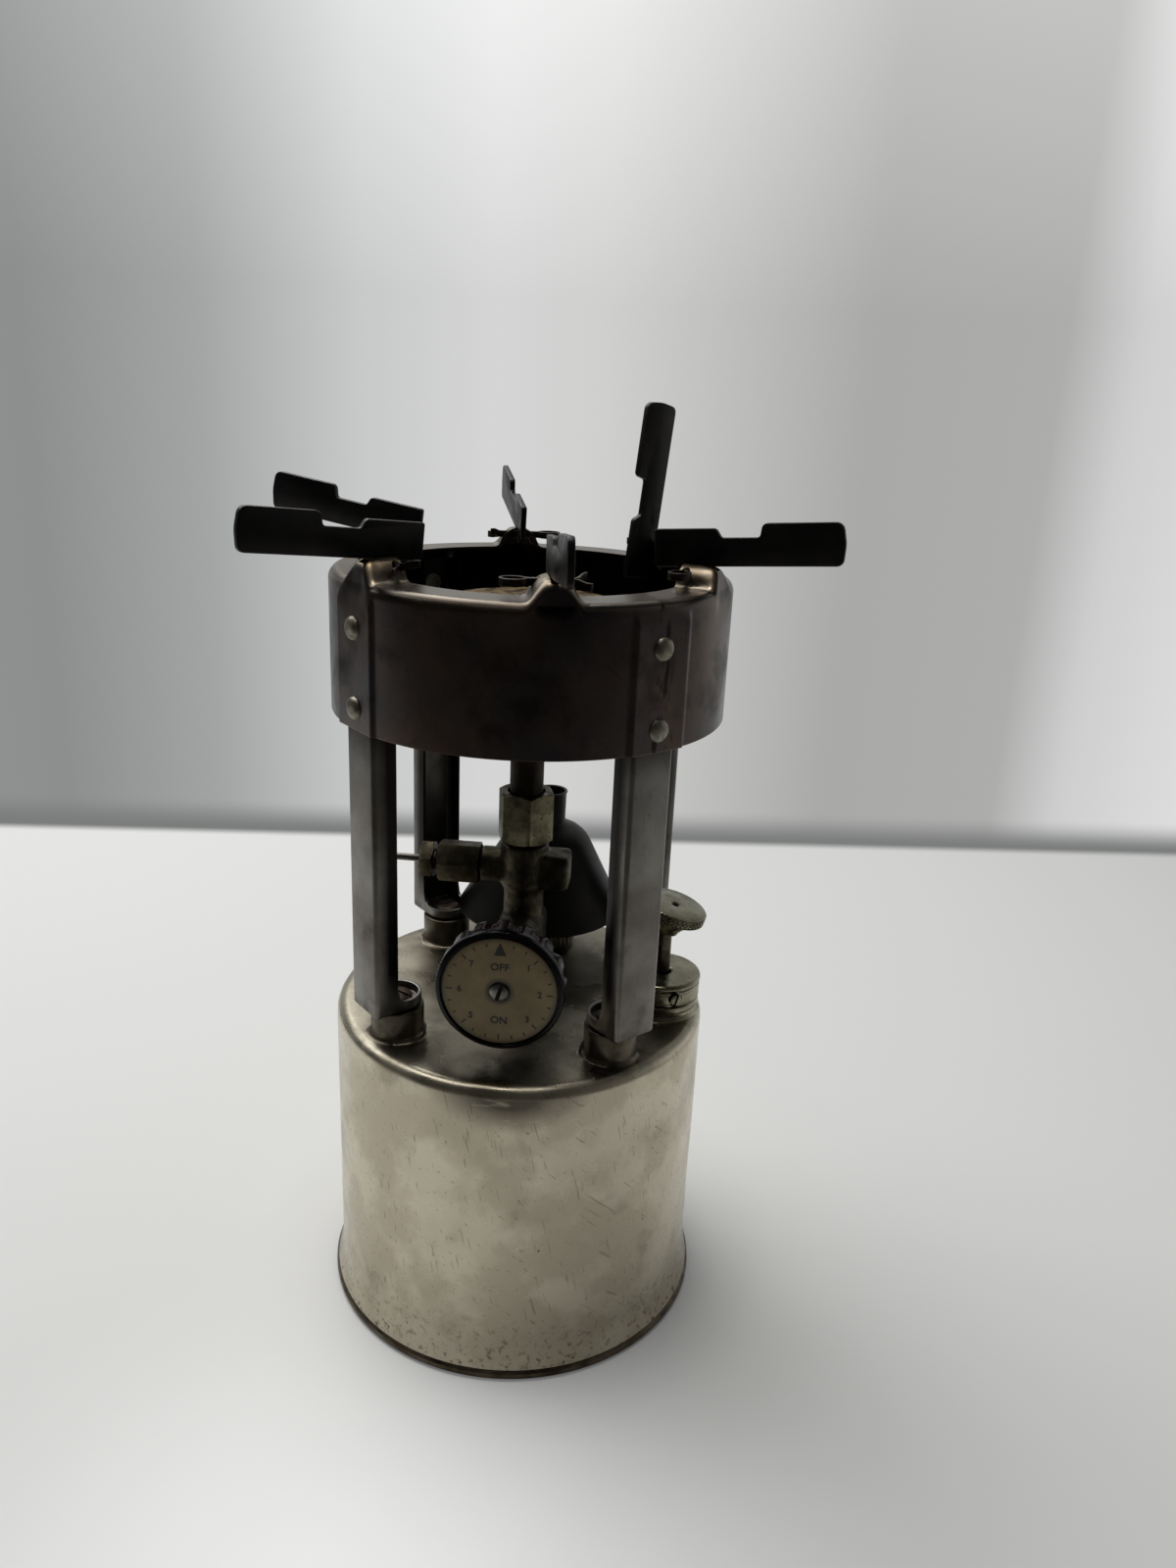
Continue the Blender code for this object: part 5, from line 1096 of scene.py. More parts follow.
# The stove's sub-assemblies
@dataclass
class Tank:
    """The fuel tank: a turned shell with a flared foot, and its base with a rolled bead."""

    radius: float = 48.8
    top: float = TANK_TOP
    wall: float = 0.8
    shoulder: float = 3.0
    flare_height: float = 12.0
    flare: float = 1.4
    seam: float = 3.05
    bead: float = 1.5
    bead_radius: float = 49.3
    plate_height: float = 4.0
    valve_hole: float = 2.7
    pump_hole: float = 8.8
    filler_hole: float = 7.7
    sides: int = 180

    def dents(self, x: float, y: float, z: float) -> Point:
        """Presses shallow dents and a slight waviness into the shell.

        Args:
            x: the point's place across.
            y: the point's place in depth.
            z: the point's height.

        Returns:
            The point's new place.
        """
        radius = math.hypot(x, y)
        if radius > self.radius - self.wall - 1.5 and z < self.top - self.shoulder:
            sway = noise.noise(Vector((x, y, z)) * 0.045) * 0.14 * smooth_step(z, self.seam, 20)
            if y < 0:
                sway -= 0.9 * math.exp(-(((x - 2) / 15) ** 2)) * smooth_step(z, 69, self.top - self.shoulder)
            share = 1 + sway / radius
            return x * share, y * share, z
        dish = 0.0
        if z > self.top - 1.0:
            dish += 0.35 * math.exp(-((x / 13) ** 2) - ((y + 37) / 7) ** 2)
            dish += 0.10 * noise.noise(Vector((x, y, 0)) * 0.06)
        return x, y, z - dish

    def shell(self) -> Piece:
        """Turns the shell, dents it and cuts the pump's and the filler's holes.

        Returns:
            The shell.
        """
        fillet = arc(self.radius - self.shoulder, self.top - self.shoulder, self.shoulder, 90, 0, 8)
        outside = [(self.valve_hole, self.top)]
        outside += [(5 + 4.2 * step, self.top) for step in range(10)] + fillet
        outside += [(self.radius, height) for height in (76, 68, 60, 52, 44, 36, 28, 20)]
        inside = []
        for step in range(6):
            share = step / 5
            height = self.flare_height - (self.flare_height - self.seam) * share
            outside.append((self.radius + self.flare * share**2, height))
            inside.insert(0, (self.radius - self.wall + self.flare * share**2, height))
        inner_top = self.top - self.wall
        inside += [(self.radius - self.wall, 44), (self.radius - self.wall, 76)]
        corner = self.shoulder - self.wall
        inside += arc(self.radius - self.shoulder, self.top - self.shoulder, corner, 0, 90, 4)
        inside += [(25, inner_top), (self.valve_hole, inner_top)]
        shell = press(turn("tank_shell", outside + inside, self.sides), self.dents)
        low, high = self.top - 14.3, self.top + 10.7
        carve(shell, drill(self.pump_hole, low, high, at(PUMP_CENTRE, 0, 0), 64))
        carve(shell, drill(self.filler_hole, low, high, at(0, FILLER_CENTRE, 0), 64))
        return hand_over(shell, Look.TANK, "stove", "fuel_tank")

    def base(self) -> Piece:
        """Turns the base, whose edge is rolled into the bead that the stove stands on.

        Returns:
            The base.
        """
        bead = arc(self.bead_radius, self.bead, self.bead, -200, 96, 18)
        under = [(0, self.plate_height), (43.4, self.plate_height), (44.8, 3.6), (46.6, 1.6)]
        upper = [(48.5, 3.6), (47.2, 4.6), (44.6, self.plate_height + 0.8), (0, self.plate_height + 0.8)]
        base = turn("tank_foot_bead", under + bead + upper, self.sides, closed=False)
        return hand_over(base, Look.BEAD, "stove", "tank_base")

    def build(self) -> None:
        """Builds the shell and the base."""
        self.shell()
        self.base()


@dataclass
class Legs:
    """Four posts soldered on the tank, four channel legs with cup feet, and the screws that hold them."""

    top: float = TANK_TOP
    post_centre: float = POST_CENTRE
    post_radius: float = 6.6
    post_top: float = 92.2
    solder: float = 1.4
    foot: float = 92.5
    lip: float = 95.5
    leg_top: float = 194.0
    outside: float = 47.2
    depth: float = 6.2
    half: float = 6.0
    bend: float = 1.1
    heel: float = 0.9
    sheet: float = 0.8
    sweep: float = 2.4
    screw_hole: float = 1.9
    slot_angles: tuple[float, ...] = (24, 68, 110, -12)

    def post(self) -> Piece:
        """Turns one post with a solder fillet at its foot, at the origin's axis.

        Returns:
            The post.
        """
        low, radius = self.top - 0.05, self.post_radius
        outline = [(self.screw_hole, low)]
        outline += arc(radius + self.solder, low + self.solder, self.solder, 270, 180, 6)
        outline += arc(radius - 0.4, self.post_top - 0.4, 0.4, 0, 90, 3)
        outline.append((self.screw_hole, self.post_top))
        post = turn("post", outline, 64)

        def puddle(x: float, y: float, z: float) -> Point:
            """Makes the solder's edge uneven.

            Args:
                x: the point's place across.
                y: the point's place in depth.
                z: the point's height.

            Returns:
                The point's new place.
            """
            out = math.hypot(x, y)
            if out <= radius + 0.05:
                return x, y, z
            angle = math.atan2(y, x)
            wave = 0.5 * math.sin(3 * angle + 1) + 0.35 * math.sin(5 * angle) + 0.25 * math.sin(9 * angle + 2)
            share = 1 + (out - radius) / out * 0.5 * wave
            return x * share, y * share, z

        return press(post, puddle)

    def plan(self) -> list[Flat]:
        """The leg's closed outline seen from above, outer face towards -Y.

        Returns:
            The outline's points.
        """
        bend, half, outer, centre = self.bend, self.half, -self.outside, -self.post_centre
        start = outer + self.depth
        steps = [start + self.sweep * step / 4 for step in range(5)]
        points = [(-half, y) for y in reversed(steps)]
        points += arc(-half + bend, outer + bend, bend, 180, 270, 4)
        points += arc(half - bend, outer + bend, bend, 270, 360, 4)
        points += [(half, y) for y in steps]
        points += arc(0, centre, half, 0, 180, 20)
        return points

    def leg(self) -> Piece:
        """Folds one leg from sheet: a cup round the screw, and a channel up to the case.

        Returns:
            The leg.
        """
        foot, lip = self.foot, self.lip
        start = -self.outside + self.depth
        leg = draw("leg", [(x, y, foot) for x, y in self.plan()], closed=True)
        with edit_mode(leg):
            bpy.ops.mesh.extrude_region_move(TRANSFORM_OT_translate={"value": spot(0, 0, lip - foot)})

        def rise(x: float, y: float, z: float) -> Point:
            """Sweeps the lip up to the channel's sides.

            Args:
                x: the point's place across.
                y: the point's place in depth.
                z: the point's height.

            Returns:
                The point's new place.
            """
            if z < foot + 1 or y > start + self.sweep:
                return x, y, z
            share = min(1.0, max(0.0, (y - start) / self.sweep))
            lift = self.sweep * 1.3 * (1 - math.sqrt(1 - (1 - share) ** 2))
            return x, y, z + lift

        press(leg, rise)
        self.choose(leg, lambda co: co.z > lip * MM and co.y < (start + 0.01) * MM)
        with edit_mode(leg, kept=True):
            high = lip + self.sweep * 1.3
            rest = spot(0, 0, self.leg_top - high)
            bpy.ops.mesh.extrude_region_move(TRANSFORM_OT_translate={"value": rest})
        self.choose(leg, lambda co: co.z < (foot + 0.01) * MM)
        with edit_mode(leg, kept=True):
            bpy.ops.mesh.edge_face_add()
            bpy.ops.mesh.bevel(offset=self.heel * MM, segments=3, profile=0.5)
            bpy.ops.mesh.select_all(action="SELECT")
            bpy.ops.mesh.normals_make_consistent(inside=False)
        shape(leg, "SOLIDIFY", thickness=self.sheet * MM, offset=-1, use_even_offset=True)
        carve(leg, drill(self.screw_hole, foot - 2, lip, at(0, -self.post_centre, 0)))
        return soften(leg, 0.14, 2, 50)

    def choose(self, piece: Piece, wanted: Callable[[Vector], bool]) -> None:
        """Selects some of the points and the edges between them.

        Args:
            piece: the piece.
            wanted: says of a point's place whether it is one of them.
        """
        mesh = piece.data
        for face in mesh.polygons:
            face.select = False
        for vertex in mesh.vertices:
            vertex.select = wanted(vertex.co)
        for edge in mesh.edges:
            edge.select = all(mesh.vertices[index].select for index in edge.vertices)

    def screw(self) -> Piece:
        """Turns one slotted screw, upright on the axis.

        Returns:
            The screw.
        """
        outline = [(0, 95.4), (1.8, 95.36), (2.9, 95.15), (3.5, 94.75), (3.7, 94.2), (3.7, 93.7)]
        outline += [(3.6, 93.6), (1.6, 93.6), (1.6, 86.8), (1.4, 86.6), (0, 86.6)]
        screw = turn("foot_screw", outline, 40, closed=False)
        carve(screw, block((-5, -0.42, 94.6), (5, 0.42, 97), Matrix()))
        return soften(screw, 0.08, 1, 40)

    def build(self) -> None:
        """Builds one post, leg and screw, and copies them to the four corners."""
        post, leg, screw = self.post(), self.leg(), self.screw()
        for (corner, bearing), angle in zip(LEG_BEARINGS.items(), self.slot_angles):
            out = turned("Z", bearing)
            centre = out @ at(0, -self.post_centre, 0)
            copy = twin(post, f"leg_post_{corner}", centre)
            hand_over(copy, Look.POST, "stove", f"post_{corner}")
            hand_over(twin(leg, f"channel_leg_{corner}", out), Look.LEG, "stove", f"leg_{corner}")
            copy = twin(screw, f"leg_screw_{corner}", centre @ turned("Z", angle))
            hand_over(copy, Look.SCREW, "stove", f"foot_screw_{corner}")
        for pattern in (post, leg, screw):
            bpy.data.objects.remove(pattern)


@dataclass
class Case:
    """The burner case: one drawn ring with flats for the legs and six ears for the arms, and its rivets."""

    radius: float = 48.2
    sheet: float = 0.8
    foot: float = 164.7
    top: float = 198.0
    fillet: float = 2.5
    mouth: float = 38.0
    flat_distance: float = 48.3
    flat_half: float = 7.3
    flat_top: float = 194.0
    ear_half: float = 6.8
    ear_outer: float = 4.5
    ear_inner: float = 5.0
    ear_arch: float = 5.2
    rivet_heights: tuple[float, float] = (187.8, 169.7)
    slot_half: float = 1.1
    pin_hole: float = 1.15
    sides: int = 576

    def lift(self, offset: float, out: float) -> float:
        """How far an ear raises the top.

        Args:
            offset: the place across the ear.
            out: the distance from the stove's axis.

        Returns:
            The rise.
        """
        if abs(offset) >= self.ear_half + 0.8:
            return 0
        bell = self.ear_outer * (1 - smooth_step(abs(offset), 1.5, self.ear_half))
        inside = max(0.0, 1 - (offset / self.ear_arch) ** 2)
        arch = max(self.ear_inner * inside**0.5, bell * 0.62)
        share = smooth_step(out, self.mouth + 3.0, self.radius - 0.8)
        return arch + (bell - arch) * share

    def pressed(self, x: float, y: float, z: float) -> Point:
        """The die's shape: flats at the legs, ears at the arms.

        Args:
            x: the point's place across.
            y: the point's place in depth.
            z: the point's height.

        Returns:
            The point's new place.
        """
        out = math.hypot(x, y)
        bearing = math.degrees(math.atan2(x, -y))
        rise = 0.0
        if z > self.top - 7:
            for ear in EAR_BEARINGS:
                gap = (bearing - ear + 180) % 360 - 180
                if abs(gap) < 16:
                    reach = smooth_step(z, self.top - 7, self.top - self.fillet)
                    rise = max(rise, self.lift(math.sin(math.radians(gap)) * out, out) * reach)
            inward = 1 - 0.3 * rise * smooth_step(out, 42, 46) / out
            x, y = x * inward, y * inward
        share_up = 1 - smooth_step(z, self.flat_top - 1.0, self.flat_top + 2.2)
        if share_up > 0 and out > self.radius - self.sheet - 0.2:
            for leg in LEG_BEARINGS.values():
                gap = (bearing - leg + 180) % 360 - 180
                if abs(gap) < 14:
                    turn_back = math.radians(gap)
                    offset = math.sin(turn_back) * out
                    past = smooth_step(abs(offset), self.flat_half - 0.2, self.flat_half + 0.95)
                    share = share_up * (1 - past)
                    plane = self.flat_distance / math.cos(turn_back)
                    scale = 1 + share * (plane / out - 1)
                    return x * scale, y * scale, z + rise
        return x, y, z + rise

    def ring(self) -> Piece:
        """Turns the ring's sheet, presses it, thickens it, and cuts its slots and pin holes.

        Returns:
            The ring.
        """
        fillet = self.top - self.fillet
        outline = [(self.radius, self.foot)]
        outline += [(self.radius, self.foot + 4 * step) for step in range(1, 7)]
        outline += [(self.radius, height) for height in (190.7, 192, 193, 194, 195, fillet)]
        outline += arc(self.radius - self.fillet, fillet, self.fillet, 12, 90, 7)
        inner = self.radius - self.fillet
        outline += [(inner - (inner - self.mouth) * step / 9, self.top) for step in range(1, 10)]
        ring = draw("case_ring", [(radius, 0, height) for radius, height in outline])
        with edit_mode(ring):
            bpy.ops.mesh.spin(steps=self.sides, angle=FULL_TURN, center=(0, 0, 0), axis=(0, 0, 1))
            tidy_faces()
        press(ring, self.pressed)
        self.face_outwards(ring)
        shape(ring, "SOLIDIFY", thickness=self.sheet * MM, offset=-1, use_even_offset=True)
        for bearing in EAR_BEARINGS:
            out = turned("Z", bearing)
            low, high = self.top + 1.1, self.top + 9
            corners = (-self.slot_half, -46.0, low), (self.slot_half, -self.mouth + 3, high)
            carve(ring, block(*corners, out))
            pin = out @ at(0, -PIN_CENTRE, PIN_HEIGHT) @ turned("Y", 90)
            carve(ring, drill(self.pin_hole, -self.ear_half, self.ear_half, pin, 24))
        return hand_over(ring, Look.CASE, "stove", "burner_case", angle=38)

    def face_outwards(self, ring: Piece) -> None:
        """Turns the sheet's faces so that its outer wall looks away from the axis.

        Args:
            ring: the sheet.
        """
        wall = next(face for face in ring.data.polygons if face.center.z < (self.foot + 4) * MM)
        if wall.normal.dot(wall.center - Vector((0, 0, wall.center.z))) < 0:
            with edit_mode(ring):
                bpy.ops.mesh.flip_normals()

    def rivets(self) -> None:
        """Turns one rivet and sets eight of them."""
        outline = [(0, 1.25), (1.0, 1.2), (1.8, 1.0), (2.3, 0.68), (2.62, 0.26), (2.7, 0.0)]
        outline += [(2.6, -0.12), (1.4, -0.12), (1.4, -2.0), (2.5, -2.0), (2.5, -2.5), (2.2, -2.7), (0, -2.7)]
        rivet = turn("rivet", outline, 36, closed=False)
        for corner, bearing in LEG_BEARINGS.items():
            for place, height in zip(("upper", "lower"), self.rivet_heights):
                there = turned("Z", bearing) @ at(0, -self.flat_distance, height) @ turned("X", 90)
                hand_over(twin(rivet, f"case_rivet_{corner}_{place}", there), Look.RIVET, "stove")
        bpy.data.objects.remove(rivet)

    def build(self) -> None:
        """Builds the ring and its rivets."""
        self.ring()
        self.rivets()


@dataclass
class Grate:
    """Six notched arms on split pins."""

    thickness: float = 1.45
    pin_hole: float = 1.3
    strip: float = 0.56
    strip_width: float = 1.7
    # How far each arm is tilted up, 5.4 degrees or as given by its bearing, and swung, in degrees
    tilt: float = 5.4
    tilts: tuple[tuple[int, float], ...] = ((135, 82.8), (195, 9.4), (255, 7.4))
    swings: tuple[tuple[int, float], ...] = ((15, -1.5), (195, 2.5))

    def arm(self) -> Piece:
        """Cuts one arm: a lobe round the pin, a deep notch above, a bowed outer end.

        Returns:
            The arm, its pin hole at the origin.
        """
        corners = [(-8.2, 1.0, 0.5), (-2.9, 1.0, 0.6)]
        corners += [(x, y, 0) for x, y in arc(0, 0, 2.6, 168, 372, 12)]
        corners += [(2.9, 1.0, 0.6), (34.7, 1.0, 1.5), (35.3, 5.7, 9), (34.7, 10.5, 1.9)]
        corners += [(16.9, 10.5, 1.3), (16.3, 7.4, 0.9), (7.5, 7.4, 0.9), (6.3, 9.5, 1.3)]
        corners += [(-8.2, 9.5, 0.5)]
        outline = [(-self.thickness / 2, -across, up) for across, up in rounded(corners, 4)]
        arm = plate("arm", outline, (self.thickness, 0, 0))
        carve(arm, drill(self.pin_hole, -3, 3, turned("Y", 90), 28))
        return soften(arm, 0.22, 2, 40)

    def pin(self) -> Piece:
        """Folds one split pin from strip: an oval eye at one end, tails spread apart at the other.

        Returns:
            The pin, along X.
        """
        run = [(8.0, -3.3), (6.8, -1.9), (5.6, -0.6), (4.6, -0.3), (0, -0.27), (-5.0, -0.3), (-5.7, -0.75)]
        run += [(-8.2 + 2.75 * x, 2.3 * y) for x, y in arc(0, 0, 1, -42, -318, 17)]
        run += [(-5.7, 0.75), (-5.0, 0.3), (0, 0.27), (4.6, 0.3), (5.5, 0.7), (6.7, 2.1), (7.7, 3.6)]
        pin = draw("pin", [(x, y, -self.strip_width / 2) for x, y in run])
        with edit_mode(pin):
            width = spot(0, 0, self.strip_width)
            bpy.ops.mesh.extrude_region_move(TRANSFORM_OT_translate={"value": width})

        def splayed(x: float, y: float, z: float) -> Point:
            """Lifts the inner tail and drops the outer one."""
            return x, y, z + smooth_step(x, 4.8, 7.2) * (0.9 if y > 0 else -0.5)

        press(pin, splayed)
        shape(pin, "SOLIDIFY", thickness=self.strip * MM, offset=0, use_even_offset=True)
        return soften(pin, 0.12, 2, 50)

    def build(self) -> None:
        """Builds one arm and one pin and sets six of each."""
        arm, pin = self.arm(), self.pin()
        tilts, swings = dict(self.tilts), dict(self.swings)
        for number, bearing in enumerate(EAR_BEARINGS, start=1):
            place = turned("Z", bearing) @ at(0, -PIN_CENTRE, PIN_HEIGHT)
            tilted = place @ turned("Z", swings.get(bearing, 0)) @ turned("X", -tilts.get(bearing, self.tilt))
            body = f"grate_arm_{number}"
            hand_over(twin(arm, f"notched_arm_{number}", tilted), Look.ARM, body, body)
            hand_over(twin(pin, f"hinge_pin_{number}", place), Look.PIN, "stove", f"split_pin_{number}")
        for pattern in (arm, pin):
            bpy.data.objects.remove(pattern)


@dataclass
class Burner:
    """The burner inside the case: bracket, mixing tube, bowl, a stack of rings and the cap."""

    bracket_height: float = 170.0
    bracket_half: float = 10.0
    bracket_reach: float = 45.9
    tab: float = 9.0
    tube_hole: float = 7.8
    screw_hole: float = 2.6
    screw_centre: float = 36
    ring_radius: float = 22.0
    ring_inner: float = 17.5
    ring_foot: float = 184.75
    ring_step: float = 0.72
    ring_wave: float = 0.34
    waves: int = 30

    def bracket(self) -> Piece:
        """Folds the bracket that spans the case and drills its middle.

        Returns:
            The bracket.
        """
        reach, low, half = self.bracket_reach, self.bracket_height, self.bracket_half
        run = [(-reach, low + self.tab)] + arc(-reach + 2, low + 2, 2, 180, 270, 4)
        run += arc(reach - 2, low + 2, 2, 270, 360, 4) + [(reach, low + self.tab)]
        bracket = draw("bracket", [(-half, y, z) for y, z in run])
        with edit_mode(bracket):
            bpy.ops.mesh.extrude_region_move(TRANSFORM_OT_translate={"value": spot(2 * half, 0, 0)})
            tidy_faces()
        shape(bracket, "SOLIDIFY", thickness=1.0 * MM, offset=-1, use_even_offset=True)
        low_point = min(vertex.co.z for vertex in bracket.data.vertices) / MM
        press(bracket, lambda x, y, z: (x, y, z + self.bracket_height - low_point))
        low, high = self.bracket_height - 5, self.bracket_height + 6
        carve(bracket, drill(self.tube_hole, low, high, Matrix(), 48))
        for side in (-1, 1):
            carve(bracket, drill(self.screw_hole, low, high, at(0, side * self.screw_centre, 0), 28))
        soften(bracket, 0.15, 1, 50)
        return hand_over(bracket, Look.SOOTED, "stove", "burner_bracket")

    def wavy_ring(self, name: str, height: float, wave: float, *nodes: str) -> Piece:
        """One ring of the stack.

        Args:
            name: the ring's name.
            height: its foot.
            wave: how high its outer edge waves.
            *nodes: the CAD nodes it stands for.

        Returns:
            The ring.
        """
        outline = [(self.ring_inner + 0.9 * step, height) for step in range(6)]
        ring = draw(name, [(radius, 0, z) for radius, z in outline])
        with edit_mode(ring):
            bpy.ops.mesh.spin(steps=self.waves * 8, angle=FULL_TURN, center=(0, 0, 0), axis=(0, 0, 1))
            tidy_faces()

        def waved(x: float, y: float, z: float) -> Point:
            """Waves the ring, more towards its outer edge."""
            out = smooth_step(math.hypot(x, y), self.ring_inner, self.ring_radius - 1)
            return x, y, z + wave * out * math.cos(self.waves * math.atan2(y, x))

        press(ring, waved)
        shape(ring, "SOLIDIFY", thickness=0.32 * MM, offset=0)
        return hand_over(ring, Look.RING, "stove", *nodes)

    def bowl(self) -> None:
        """Turns the mixing tube and the bowl."""
        tube = [(6.5, 172.3), (12.8, 172.3), (13.0, 172.1), (13.0, 171.5), (12.8, 171.3), (8.1, 171.3)]
        tube += [(7.5, 170.8), (7.5, 161.2), (7.9, 160.6), (7.8, 160.0), (6.8, 160.0), (6.5, 160.6)]
        hand_over(turn("burner_mixing_tube", tube, 64), Look.BOWL, "stove", "mixing_tube")
        outline = [(12.6, 172.6), (13.2, 172.7), (13.6, 174.0), (17.0, 176.6), (20.6, 179.3), (22.2, 180.6)]
        outline += [(22.5, 181.4), (22.5, 183.9), (22.3, 184.2), (21.5, 184.2), (21.3, 183.9), (21.3, 181.8)]
        outline += [(20.8, 180.9), (17.6, 178.5), (14.0, 176.0), (12.0, 175.8), (6.5, 175.8), (6.5, 172.6)]
        bowl = turn("burner_cup", outline, 80)
        bar = block((-7.6, -1.5, 173.4), (7.6, 1.5, 175.6), Matrix())
        carve(bowl, bar, "UNION")
        carve(bowl, drill(3.0, 174, 180.6, Matrix(), 32), "UNION")
        carve(bowl, drill(1.8, 176.0, 182, Matrix(), 24))
        hand_over(bowl, Look.BOWL, "stove", "burner_bowl")

    def cap(self) -> None:
        """Turns the cap with its dish and its slotted screw."""
        outline = [(1.8, 188.5), (3.9, 188.5), (5.2, 189.2), (20.6, 189.2), (21.2, 189.35), (21.2, 189.9)]
        outline += [(20.8, 190.1), (5.6, 190.1), (4.2, 189.4), (1.8, 189.4)]
        cap = turn("burner_top_plate", outline, 96)

        def warped(x: float, y: float, z: float) -> Point:
            """A cap that heat has warped a little."""
            out = math.hypot(x, y) / 21.2
            return x, y, z + 0.12 * out**2 * math.sin(2 * math.atan2(y, x) + 0.6)

        hand_over(press(cap, warped), Look.RING, "stove", "burner_cap")
        outline = [(0, 190.9), (1.6, 190.85), (2.7, 190.55), (3.3, 190.0), (3.4, 189.7), (1.5, 189.7)]
        outline += [(1.5, 176.2), (0, 176.2)]
        screw = turn("burner_screw", outline, 36, closed=False)
        carve(screw, block((-5, -0.4, 190.1), (5, 0.4, 193), turned("Z", 28)))
        hand_over(soften(screw, 0.06, 1, 40), Look.RING, "stove", "burner_cap_screw")

    def build(self) -> None:
        """Builds the burner."""
        self.bracket()
        self.bowl()
        for number in range(1, 7):
            height = self.ring_foot + self.ring_step * (number - 1)
            nodes = ("flame_rings",) if number == 1 else ()
            wave = self.ring_wave if number % 2 == 0 else 0.0
            self.wavy_ring(f"flame_ring_{number}", height, wave, *nodes)
        self.cap()


@dataclass
class Valve:
    """The valve: casting, nuts, knob, generator and tip cleaner, on an axis turned a little."""

    arm_height: float = 120.5
    stem_height: float = STEM_HEIGHT
    turn_degrees: float = VALVE_TURN
    fuel_way: float = 1.8
    stem_way: float = 1.9
    cleaner_way: float = 1.2
    grain: float = 0.42
    flutes: int = 16
    flute_depth: float = 1.15
    print_height: float = 0.06

    def axis(self) -> Matrix:
        """The valve's own upright axis."""
        return turned("Z", self.turn_degrees)

    def forwards(self) -> Matrix:
        """The stem's line, with Z towards the knob and Y up."""
        return self.axis() @ at(0, 0, self.stem_height) @ turned("X", 90)

    def leftwards(self) -> Matrix:
        """The tip cleaner's line, with Z towards the left."""
        return self.axis() @ at(0, 0, self.arm_height) @ turned("Y", -90)

    def casting(self) -> Piece:
        """Joins the casting's turned and square parts, melts them together and drills its ways.

        Returns:
            The casting.
        """
        outline = [(0, 84.4), (7.2, 84.4), (7.4, 84.8), (7.2, 88.0), (6.2, 88.6), (6.2, 96.6), (5.6, 98.2)]
        outline += [(5.3, 106.5), (5.2, 113.6), (5.5, 114.8), (6.2, 116.2), (6.2, 127.2), (5.9, 127.5)]
        outline += [(4.8, 127.5), (4.8, 133.4), (4.5, 133.7), (0, 133.7)]
        casting = turn("valve_casting", outline, 72, closed=False)
        flange = hexagon("flange", 15.0, 84.6, 88.0, 2.0, 30)
        carve(casting, flange, "UNION")
        stem_block = block((-5.9, -7.8, 97.5), (5.9, 6.0, 108.0), Matrix())
        carve(casting, soften(stem_block, 2.2, 4), "UNION")
        left = [(0, 0), (4.66, 0), (4.66, 11.0), (4.4, 11.3), (0, 11.3)]
        left_arm = settle(turn("arm", left, 40, closed=False), turned("Y", -90))
        carve(casting, settle(left_arm, at(0, 0, self.arm_height)), "UNION")
        right = block((0, -4.6, self.arm_height - 4.8), (12.0, 4.6, self.arm_height + 4.6), Matrix())
        carve(casting, soften(right, 1.3, 3), "UNION")
        bonnet = [(0, 0), (5.6, 0), (5.6, 13.4), (5.3, 13.8), (0, 13.8)]
        forwards = at(0, 0, self.stem_height) @ turned("X", 90)
        carve(casting, settle(turn("bonnet", bonnet, 48, closed=False), forwards), "UNION")
        shape(casting, "REMESH", mode="VOXEL", voxel_size=self.grain * MM, adaptivity=0.0)
        shape(casting, "SMOOTH", factor=0.5, iterations=5)
        settle(casting, self.axis())
        carve(casting, drill(self.fuel_way, 80, 140, self.axis()))
        carve(casting, drill(self.stem_way, 0, 16, self.forwards()))
        carve(casting, drill(self.cleaner_way, 0, 14, self.leftwards()))
        return hand_over(casting, Look.GREASY, "stove", "valve_body", angle=60)

    def nuts(self) -> None:
        """The union nut, the packing nut, the gland, the cleaner's nut and the gas tip."""
        union = hexagon("union", 13.0, 128.5, 141.5, 4.9, 17)
        hand_over(settle(union, self.axis()), Look.CAST, "stove", "generator_nut")
        packing = settle(hexagon("stem_packing_nut", 10.5, 14.1, 21.6, self.stem_way, 12), self.forwards())
        hand_over(packing, Look.GREASY, "stove", "valve_packing_nut")
        gland = hexagon("gland", 9.8, 11.6, 22.4, 1.25, 8)
        nipple = [(1.25, 21), (3.4, 21), (3.4, 22.7), (3.1, 23.1), (2.5, 23.2), (2.5, 24.8), (2.3, 25.0)]
        nipple += [(1.25, 25.0)]
        carve(gland, turn("nipple", nipple, 36), "UNION")
        hand_over(settle(gland, self.leftwards()), Look.GREASY, "stove", "cleaner_gland")
        small = hexagon("small_nut", 9.0, 23.8, 27.1, 1.25, 20)
        carve(small, drill(2.8, 23, 25.8, Matrix()))
        hand_over(settle(small, self.leftwards()), Look.GREASY, "stove", "cleaner_packing_nut")
        tip = hexagon("tip", 6.4, 153.3, 156.6, 0.7, 0)
        cone = [(0.7, 156.2), (2.3, 156.2), (1.9, 157.2), (1.3, 158.1), (0.7, 158.1)]
        carve(tip, turn("cone", cone, 32), "UNION")
        hand_over(settle(tip, self.axis()), Look.BRASS, "stove", "gas_tip")

    def generator(self) -> None:
        """Turns the generator tube."""
        outline = [(1.7, 134.0), (4.6, 134.0), (4.6, 135.5), (4.3, 136.0), (4.3, 151.6), (4.2, 152.4)]
        outline += [(3.7, 153.0), (1.7, 153.0)]
        tube = settle(turn("generator", outline, 56), self.axis())
        hand_over(tube, Look.BURNT, "stove", "generator_tube")

